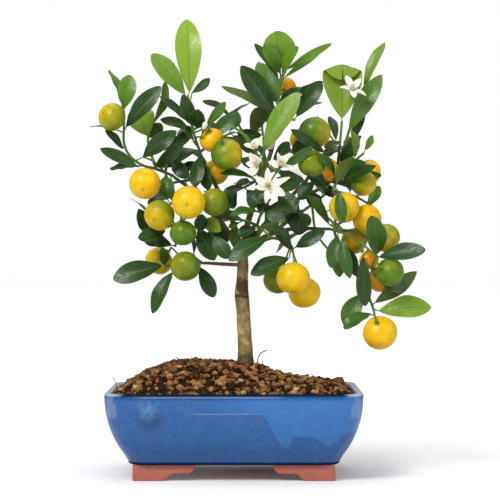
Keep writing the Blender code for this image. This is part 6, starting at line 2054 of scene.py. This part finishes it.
def mark_pot(mesh):
    """Values along the pot's edges: where the glaze breaks dark, and where the rim is pale with a painted
    reflection.
    """
    edge = mesh.attributes.new("edge", "FLOAT", "POINT")
    rim = mesh.attributes.new("rim", "FLOAT", "POINT")
    for k, vertex in enumerate(mesh.vertices):
        x, y, z = (abs(v) / MM for v in vertex.co)
        inset = min(RIM_HALF_LENGTH / MM - x, RIM_HALF_WIDTH / MM - y)
        inside = inset > INSIDE_INSET and INSIDE_LOW < z < RIM_HEIGHT / MM - INSIDE_DROP
        at_end = clamped((x - PALE_FROM) / (PALE_TO - PALE_FROM))
        foot_line = 1 - abs(z - FOOT_HEIGHT / MM - FOOT_BREAK[0]) / FOOT_BREAK[1]
        rim_line = 1 - abs(z - RIM_HEIGHT / MM - RIM_BREAK[0]) / RIM_BREAK[1]
        rim_line *= 0 if inside else RIM_BREAK_STRENGTH * (1 - 0.8 * at_end)
        edge.data[k].value = clamped(max(foot_line * FOOT_BREAK_STRENGTH, rim_line))
        # the rim's painted reflection: on its top, strongest at the ends, and faintly inside the wall
        top = z > RIM_HEIGHT / MM - (0.8 + 1.2 * at_end)
        away = REFLECTION_AT_BACK if vertex.co.y > 0 else 0.0
        rim.data[k].value = max(away, REFLECTION_AT_ENDS * at_end) if top else (REFLECTION_INSIDE if inside else 0.0)


def soil_top(x, y):
    """The mound's height over a place in the pot, above the solid soil's own crumbs."""
    foot = trunk_foot()
    point = Vector((x, y, 0))
    away = (point - foot).length
    if away < 1 * MM:
        return SOIL_EDGE + MOUND_RISE
    way = (point - foot) / away
    reach = edge_reach(foot, way)
    inward = 1 - (away - STEM_HOLE_RADIUS) / max(reach - STEM_HOLE_RADIUS, 1 * MM)
    return mound_height(point, clamped(inward))


def edge_reach(foot, way):
    """How far the soil runs from the trunk in a direction."""
    half_length = RIM_HALF_LENGTH - WALL - SOIL_TO_WALL
    half_width = RIM_HALF_WIDTH - WALL - SOIL_TO_WALL
    radius = CORNER_RADIUS - (WALL + SOIL_TO_WALL) * CORNER_LOSS
    reach = 1.0
    if abs(way.x) > 1e-6:
        reach = min(reach, (math.copysign(half_length, way.x) - foot.x) / way.x)
    if abs(way.y) > 1e-6:
        reach = min(reach, (math.copysign(half_width, way.y) - foot.y) / way.y)
    for _ in range(6):
        p = foot + way * reach
        dx, dy = abs(p.x) - (half_length - radius), abs(p.y) - (half_width - radius)
        over = math.hypot(dx, dy) - radius if dx > 0 and dy > 0 else 0.0
        if over <= 0:
            break
        reach -= over
    return reach


# The mound's skin: how many places round it and rings in to the trunk, how thick it is, and how rough
BED_TURNS, BED_RINGS, BED_DEPTH, BED_ROUGHNESS = 120, 26, 12 * MM, 0.9 * MM
UNDER_HUE = 0.1


def soil_bed(heap):
    """The mound itself: rings from the wall in to the trunk, rough all over, closed underneath."""
    foot = trunk_foot()
    low = Vector((0, 0, SOIL_EDGE - BED_DEPTH))
    turns = [math.tau * k / BED_TURNS for k in range(BED_TURNS)]
    ways = [Vector((math.cos(turn), math.sin(turn), 0)) for turn in turns]
    reaches = [edge_reach(foot, way) for way in ways]
    rings = [[foot + low], [foot + way * reach + low for way, reach in zip(ways, reaches)]]
    hues = [UNDER_HUE] * (1 + BED_TURNS)
    for step in range(BED_RINGS + 1):
        inward = step / BED_RINGS
        ring = []
        for way, reach in zip(ways, reaches):
            p = foot + way * (reach + (STEM_HOLE_RADIUS - 1.4 * MM - reach) * inward)
            rough = noise.noise(p * 420) * BED_ROUGHNESS
            ring.append(Vector((p.x, p.y, mound_height(p, inward) + rough)))
            hues.append(0.2 + 0.16 * noise.noise(p * 180))
        rings.append(ring)
    rings.append([foot + Vector((0, 0, SOIL_EDGE + MOUND_RISE - 4 * MM))])
    points, faces = lofted(rings)
    heap.add(points, faces, 0, hue=[*hues, UNDER_HUE])


# Shares of the loose pieces that are flakes of bark, and that are dark; the hues of each, from humus to tan
FLAKE_SHARE, DARK_SHARE = 0.45, 0.22
CHIP_HUES, DARK_HUES = {"granule": (0.60, 0.97), "flake": (0.02, 0.62)}, (0.0, 0.25)
# How far the middle of a piece stands off the mound, as a share of its half-width
CHIP_RISE = {"granule": 0.30, "flake": 0.22}
# How long, wide and thick a flake is for its half-width, and how wide and thick a granule is
FLAKE_SHAPE = (1.0, 1.7), (0.35, 0.8), (0.16, 0.34)
GRANULE_SHAPE = (0.62, 0.95), (0.5, 0.85)
# A loose piece is laid flat to the mound, give or take this much, and none lies this near the trunk
CHIP_TILT, CHIP_TO_TRUNK = 0.45, 7.5 * MM


def chip_shape(kind, ball, rng):
    """A chip about the origin, of half-width one: a rounded granule, or a flat flake of bark."""
    points, faces, _ = ball
    offset = scattered(rng, 50)
    stretch = [1.0, *(rng.uniform(*pair) for pair in GRANULE_SHAPE)]
    if kind == "flake":
        stretch = [rng.uniform(*pair) for pair in FLAKE_SHAPE]
    out = []
    for p in points:
        lump = 1 + noise.noise(p * 1.7 + offset) * 0.5
        out.append(Vector([p[k] * stretch[k] for k in range(3)]) * lump)
    return out, faces


def mound_slope(x, y):
    """The turn that lays a piece flat on the mound."""
    slope_x = (soil_top(x + MM, y) - soil_top(x - MM, y)) / (2 * MM)
    slope_y = (soil_top(x, y + MM) - soil_top(x, y - MM)) / (2 * MM)
    return Vector((-slope_x, -slope_y, 1)).normalized().to_track_quat("Z", "Y").to_matrix()


def scattered_chips(heap, settings, rng):
    """Granules and flakes of many sizes over the whole mound, laid flat to its slope."""
    rough = blank(bpy.ops.mesh.primitive_ico_sphere_add, subdivisions=1, radius=1)
    half_length, half_width = RIM_HALF_LENGTH - WALL - 2 * MM, RIM_HALF_WIDTH - WALL - 2 * MM
    foot = trunk_foot()
    for _ in range(settings.chips):
        x, y = rng.uniform(-half_length, half_length), rng.uniform(-half_width, half_width)
        half = settings.chip_size * (0.38 + 0.62 * rng.random() ** 1.6)
        away = Vector((x, y, 0)) - foot
        if away.length < CHIP_TO_TRUNK + half:
            continue
        if away.length > edge_reach(foot, away.normalized()) - half * 0.8:
            continue
        kind = "flake" if rng.random() < FLAKE_SHARE else "granule"
        points, faces = chip_shape(kind, rough, rng)
        turn = mound_slope(x, y) @ Matrix.Rotation(rng.uniform(0, math.tau), 3, "Z")
        turn = turn @ Matrix.Rotation(rng.gauss(0, CHIP_TILT), 3, "X")
        middle = Vector((x, y, soil_top(x, y) + half * CHIP_RISE[kind]))
        hue = rng.uniform(*CHIP_HUES[kind])
        if rng.random() < DARK_SHARE:
            hue = rng.uniform(*DARK_HUES)
        heap.add([middle + turn @ p * half for p in points], faces, 0, hue=hue)


# Single pieces that the front view shows on the mound: across, down, half-width in mm, hue, flatness
NAMED_CHIPS = [
    (222, 385.5, 6.2, 0.90, 0.80), (338, 379.5, 7.4, 0.56, 0.75), (345, 383, 4.2, 0.50, 0.6),
    (136, 391, 4.0, 0.97, 0.7), (170, 387, 4.0, 0.84, 0.7), (196, 388, 4.6, 0.86, 0.7),
    (237, 392, 2.7, 0.62, 0.6), (261, 388, 3.6, 0.90, 0.6), (296, 392, 3.6, 1.0, 0.8),
    (187, 376, 3.8, 0.76, 0.6), (226, 375, 4.2, 0.80, 0.6), (251, 376, 3.0, 0.86, 0.6),
    (282, 380, 4.2, 0.84, 0.6), (149, 387, 3.8, 0.80, 0.6), (154, 379, 4.4, 0.42, 0.5),
    (180, 391, 4.2, 0.88, 0.7), (206, 379, 4.0, 0.72, 0.5), (272, 375, 3.8, 0.78, 0.6),
]
# How far one may lean in radians, how wide it is for its length, and how far its middle is off the mound
NAMED_TILT, NAMED_WIDTH, NAMED_RISE = 0.35, 0.8, 0.45
# The depths in mm, from the front wall to the back, at which a line of sight is tried against the mound
SIGHT_DEPTHS, SIGHT_END = range(-78, 72, 2), 40


def on_mound(across, down):
    """Where a line of sight first meets the mound, from the front wall to the back."""
    for depth in SIGHT_DEPTHS:
        place = seen(across, down, depth)
        if soil_top(place.x, place.y) >= place.z:
            return place
    return seen(across, down, SIGHT_END)


def laid_chips(heap, rng):
    """The larger stones and chunks of bark that stand out."""
    points, faces, _ = blank(bpy.ops.mesh.primitive_ico_sphere_add, subdivisions=3, radius=1)
    for across, down, half, hue, flat in NAMED_CHIPS:
        place = on_mound(across, down)
        middle = Vector((place.x, place.y, soil_top(place.x, place.y) + half * NAMED_RISE * MM))
        offset = scattered(rng, 50, count=2)
        turn = Matrix.Rotation(rng.uniform(0, math.tau), 3, "Z")
        turn = turn @ Matrix.Rotation(rng.uniform(-NAMED_TILT, NAMED_TILT), 3, "X")
        shape = []
        for p in points:
            lump = 1 + noise.noise(p * 1.3 + offset) * 0.42 + noise.noise(p * 4 + offset) * 0.08
            shape.append(middle + turn @ Vector((p.x, p.y * NAMED_WIDTH, p.z * flat)) * lump * half * MM)
        heap.add(shape, faces, 0, hue=hue)


FIBRE_SIDES, FIBRE_STEPS, FIBRE_BEND = 4, 4, 1.2
# Where a lying fibre has its knots, as shares of its length from its middle, and how far it is off the mound
FIBRE_KNOTS, FIBRE_RISE = (-0.5, -0.15, 0.2, 0.5), 0.7 * MM
# Ranges of the loose fibres and of the tuft's: length, lift and thickness in mm, then hue
LOOSE_FIBRE = (5, 15), (0.4, 3.4), (0.16, 0.34), (0.36, 0.62)
TUFT_FIBRE = (7, 17), (1.0, 4.2), (0.18, 0.36), (0.40, 0.60)
# One loose fibre in three lies anywhere between these ends, and the others on the left: middles and
# spreads, in mm
ANYWHERE, BY_THE_LEFT = ((-95, 100), (-70, 60)), ((-38, 22), (-6, 22))
# None lies past these reaches or this near the trunk
FIBRE_REACH, FIBRE_TO_TRUNK = (100 * MM, 72 * MM), 13 * MM
# The tuft of coir on the left of the mound: how many fibres, and its middle and spread each way in mm
TUFT_FIBRES, TUFT = 230, ((-54, 15), (-12, 13))


def fibre(heap, points, radius, hue):
    """A thin fibre or root along an eased route."""
    route = eased(points, FIBRE_STEPS)
    heap.add(*tube(*without_repeats(route, [radius] * len(route)), FIBRE_SIDES), 0, hue=hue)


def laid_fibre(heap, x, y, ranges, rng):
    """A fibre that lies on the mound, bent a little and arched off it in the middle."""
    *sizes, hue = (rng.uniform(*pair) for pair in ranges)
    length, lift, thickness = (value * MM for value in sizes)
    turn = rng.uniform(0, math.tau)
    points = []
    for along in FIBRE_KNOTS:
        bend = turn + along * rng.uniform(-FIBRE_BEND, FIBRE_BEND)
        px, py = x + math.cos(bend) * length * along, y + math.sin(bend) * length * along
        arch = lift * (1 - (2 * along) ** 2) + FIBRE_RISE
        points.append(Vector((px, py, soil_top(px, py) + arch)))
    fibre(heap, points, thickness, hue)


def scattered_fibres(heap, count, rng):
    """Coir fibres and thin roots, most of them on the left of the mound, and a tuft there."""
    for k in range(count):
        if k % 3:
            x, y = (rng.gauss(*pair) * MM for pair in BY_THE_LEFT)
        else:
            x, y = (rng.uniform(*pair) * MM for pair in ANYWHERE)
        near = (Vector((x, y, 0)) - trunk_foot()).length < FIBRE_TO_TRUNK
        if near or abs(x) > FIBRE_REACH[0] or abs(y) > FIBRE_REACH[1]:
            continue
        laid_fibre(heap, x, y, LOOSE_FIBRE, rng)
    for _ in range(TUFT_FIBRES):
        x, y = (rng.gauss(*pair) * MM for pair in TUFT)
        laid_fibre(heap, x, y, TUFT_FIBRE, rng)


# Roots and dry stalks that stand out of the soil in the front view: route, radius in mm, hue
STRAYS = [
    ([(258, 372, -14), (257.5, 362, -14), (260, 354, -15), (267, 350, -17)], 0.55, 0.60),
    ([(261, 372, -12), (262.5, 366, -12), (262, 360, -10)], 0.4, 0.55),
    ([(118, 388, -12), (115, 381, -12), (112, 377, -12)], 0.45, 0.25),
    ([(183, 366, -4), (179, 360, -3), (176, 357, -2)], 0.5, 0.42),
    ([(150, 372, -20), (156, 366, -18), (165, 364, -16)], 0.4, 0.45),
]
# How deep the foot of one goes into the mound
ROOTED = 1 * MM


def build_soil(settings):
    """The dressed soil: mound, chips, fibres and stray roots."""
    rng = random.Random(SEED + 2)
    heap = Heap()
    soil_bed(heap)
    scattered_chips(heap, settings, rng)
    laid_chips(heap, rng)
    scattered_fibres(heap, settings.fibres, rng)
    for route, radius, hue in STRAYS:
        points = [seen(*p) for p in route]
        under = points[0].copy()
        under.z = min(under.z, soil_top(under.x, under.y) - ROOTED)
        fibre(heap, [under, *points[1:]], radius * MM, hue)
    return fitted(heap.make("dressed_soil", [soil_finish(settings)]), "soil", angle=40)


def dress(node_name, finish):
    """Gives a solid of the frame a finish of its own."""
    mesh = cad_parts[node_name].data
    mesh.materials.clear()
    mesh.materials.append(finish)


class BONSAI_OT_pot(bpy.types.Operator):
    """Model the glazed pot with its clay feet"""
    bl_idname = "bonsai.pot"
    bl_label = "Pot"

    def execute(self, context):
        build_pot(context.scene.bonsai_pot)
        return {"FINISHED"}


class BONSAI_OT_drain_meshes(bpy.types.Operator):
    """Finish the plastic meshes over the drain holes"""
    bl_idname = "bonsai.drain_meshes"
    bl_label = "Drain meshes"

    def execute(self, context):
        finish = plastic_finish()
        for side in ("left", "right"):
            dress("drain_mesh_" + side, finish)
        return {"FINISHED"}


class BONSAI_OT_soil(bpy.types.Operator):
    """Finish the soil and scatter its granules, bark, fibres and roots"""
    bl_idname = "bonsai.soil"
    bl_label = "Soil"

    def execute(self, context):
        obj = build_soil(context.scene.bonsai_soil)
        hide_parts("soil")
        return {"FINISHED"}


class BONSAI_OT_wood(bpy.types.Operator):
    """Model the trunk and limbs with their bark"""
    bl_idname = "bonsai.wood"
    bl_label = "Trunk and limbs"

    def execute(self, context):
        settings = context.scene.bonsai_wood
        build_wood(bark_finish(settings), settings.relief)
        return {"FINISHED"}


class BONSAI_OT_foliage(bpy.types.Operator):
    """Model every leafy spray with its twigs and stalks"""
    bl_idname = "bonsai.foliage"
    bl_label = "Foliage"

    def execute(self, context):
        settings = context.scene.bonsai_leaves
        finishes = [*(leaf_finish(settings, side) for side in LEAF_SIDES), twig_finish(settings)]
        for spray in TWIGS:
            build_spray(spray, plant(), finishes, settings.thickness)
        return {"FINISHED"}


class BONSAI_OT_fruit(bpy.types.Operator):
    """Model every fruit"""
    bl_idname = "bonsai.fruit"
    bl_label = "Fruit"

    def execute(self, context):
        finish = peel_finish(context.scene.bonsai_fruit)
        add = bpy.ops.mesh.primitive_uv_sphere_add
        ball = blank(add, segments=FRUIT_SECTORS, ring_count=FRUIT_RINGS, radius=1)
        for fruit in FRUITS:
            build_fruit(fruit, plant(), finish, ball)
        return {"FINISHED"}


class BONSAI_OT_blooms(bpy.types.Operator):
    """Model every bloom and bud"""
    bl_idname = "bonsai.blooms"
    bl_label = "Blooms"

    def execute(self, context):
        settings = context.scene.bonsai_blooms
        finishes = [petal_finish(settings), anther_finish(settings), twig_finish(context.scene.bonsai_leaves)]
        for bloom in BLOOMS:
            build_bloom(bloom, finishes, settings)
        return {"FINISHED"}


class BONSAI_OT_stage(bpy.types.Operator):
    """Set the pale floor, the soft light and the camera"""
    bl_idname = "bonsai.stage"
    bl_label = "Stage"

    def execute(self, context):
        settings = context.scene.bonsai_stage
        build_floor(settings)
        light_stage(settings)
        place_camera()
        return {"FINISHED"}


FLOOR_REACH, WALL_HEIGHT = 9.0, 5.0
# Where the floor starts to brighten into the white of the backdrop, and where it has, in metres from the pot
FADE_NEAR, FADE_FAR = -0.10, 0.75
BLACK, BACKDROP_GLOW = (0.0, 0.0, 0.0), (0.7, 0.7, 0.7)


def build_floor(settings):
    """A round pale floor that turns up into a wall all round and brightens to white away from the pot."""
    start_clean()
    bpy.ops.mesh.primitive_circle_add(vertices=64, radius=FLOOR_REACH, fill_type="NGON")
    obj = bpy.context.object
    obj.name = "floor"
    bpy.ops.object.mode_set(mode="EDIT")
    bpy.ops.mesh.select_mode(type="EDGE")
    bpy.ops.mesh.select_all(action="SELECT")
    bpy.ops.mesh.extrude_edges_move(TRANSFORM_OT_translate={"value": (0, 0, WALL_HEIGHT)})
    bpy.ops.object.mode_set(mode="OBJECT")
    material, tree, shader, given = new_finish("Pale floor", Roughness=0.9, Emission_Strength=1.0)
    shader.inputs["Base Color"].default_value = (*settings.floor, 1.0)
    away = node(tree, "ShaderNodeVectorMath", {0: given["Object"]}, operation="LENGTH").outputs["Value"]
    seen_by_eye = node(tree, "ShaderNodeLightPath").outputs["Is Camera Ray"]
    white = times(tree, spread(tree, away, FADE_NEAR, FADE_FAR), seen_by_eye)
    wired(tree, shader, Emission_Color=mixed(tree, white, BLACK, BACKDROP_GLOW))
    obj.data.materials.append(material)


# The lights: where each stands, and its size, in metres; and the point that they all face
LIGHTS = {
    "key": ((-0.80, -1.30, 1.45), 0.8), "fill": ((1.25, -1.0, 0.70), 1.2), "top": ((0.1, 0.4, 1.8), 1.2),
}
LIT_POINT = Vector((0, 0, 0.2))


def light_stage(settings):
    """Soft light from the upper left, with a weaker one from the right and one from above."""
    world = bpy.data.worlds.new("Studio")
    world.use_nodes = True
    background = world.node_tree.nodes["Background"]
    background.inputs["Color"].default_value = (1.0, 1.0, 1.0, 1.0)
    background.inputs["Strength"].default_value = settings.world
    bpy.context.scene.world = world
    powers = {"key": settings.key, "fill": settings.fill, "top": settings.fill}
    for name, (place, width) in LIGHTS.items():
        start_clean()
        turn = (LIT_POINT - Vector(place)).to_track_quat("-Z", "Y").to_euler()
        bpy.ops.object.light_add(type="AREA", location=place, rotation=turn)
        light = bpy.context.object
        light.name = name + "_light"
        light.data.energy = powers[name]
        light.data.size = width


# The camera's sensor in mm, and how far it sees in metres
SENSOR, FARTHEST_SEEN = 36.0, 20


def place_camera():
    """A level camera in front of the pot, as far off and as high as the photograph's."""
    start_clean()
    bpy.ops.object.camera_add(location=EYE + STAND, rotation=(math.pi / 2, 0, 0))
    camera = bpy.context.object
    camera.data.sensor_width = SENSOR
    camera.data.lens = SENSOR * PIXELS_PER_SLOPE / (2 * PICTURE_MIDDLE)
    camera.data.clip_end = FARTHEST_SEEN
    bpy.context.scene.camera = camera
    bpy.context.scene.view_settings.view_transform = "Standard"


class BONSAI_PT_sidebar(bpy.types.Panel):
    """The steps that dress the bonsai, and what each may change"""
    bl_label = "Citrus bonsai"
    bl_space_type = "VIEW_3D"
    bl_region_type = "UI"
    bl_category = "Bonsai"

    def draw(self, context):
        for operator, owner in STEPS:
            box = self.layout.box()
            box.operator(operator.bl_idname)
            settings = getattr(context.scene, owner, None) if owner else None
            for name in settings.__annotations__ if settings else ():
                box.prop(settings, name)


SETTINGS = {
    "bonsai_pot": PotSettings, "bonsai_soil": SoilSettings, "bonsai_wood": WoodSettings,
    "bonsai_leaves": LeafSettings, "bonsai_fruit": FruitSettings, "bonsai_blooms": BloomSettings,
    "bonsai_stage": StageSettings,
}
STEPS = [
    (BONSAI_OT_pot, "bonsai_pot"), (BONSAI_OT_drain_meshes, None), (BONSAI_OT_soil, "bonsai_soil"),
    (BONSAI_OT_wood, "bonsai_wood"), (BONSAI_OT_foliage, "bonsai_leaves"), (BONSAI_OT_fruit, "bonsai_fruit"),
    (BONSAI_OT_blooms, "bonsai_blooms"), (BONSAI_OT_stage, "bonsai_stage"),
]


def register():
    """Registers the groups of settings, the operators and the panel."""
    for group in SETTINGS.values():
        bpy.utils.register_class(group)
    for operator, _ in STEPS:
        bpy.utils.register_class(operator)
    bpy.utils.register_class(BONSAI_PT_sidebar)
    for name, group in SETTINGS.items():
        setattr(bpy.types.Scene, name, PointerProperty(type=group))


def unregister():
    """Takes away what register put in."""
    for name in SETTINGS:
        delattr(bpy.types.Scene, name)
    bpy.utils.unregister_class(BONSAI_PT_sidebar)
    for operator, _ in STEPS:
        bpy.utils.unregister_class(operator)
    for group in SETTINGS.values():
        bpy.utils.unregister_class(group)


def main():
    """Runs every step."""
    register()
    for operator, _ in STEPS:
        group, name = operator.bl_idname.split(".")
        getattr(getattr(bpy.ops, group), name)()
    start_clean()


if __name__ == "__main__":
    main()
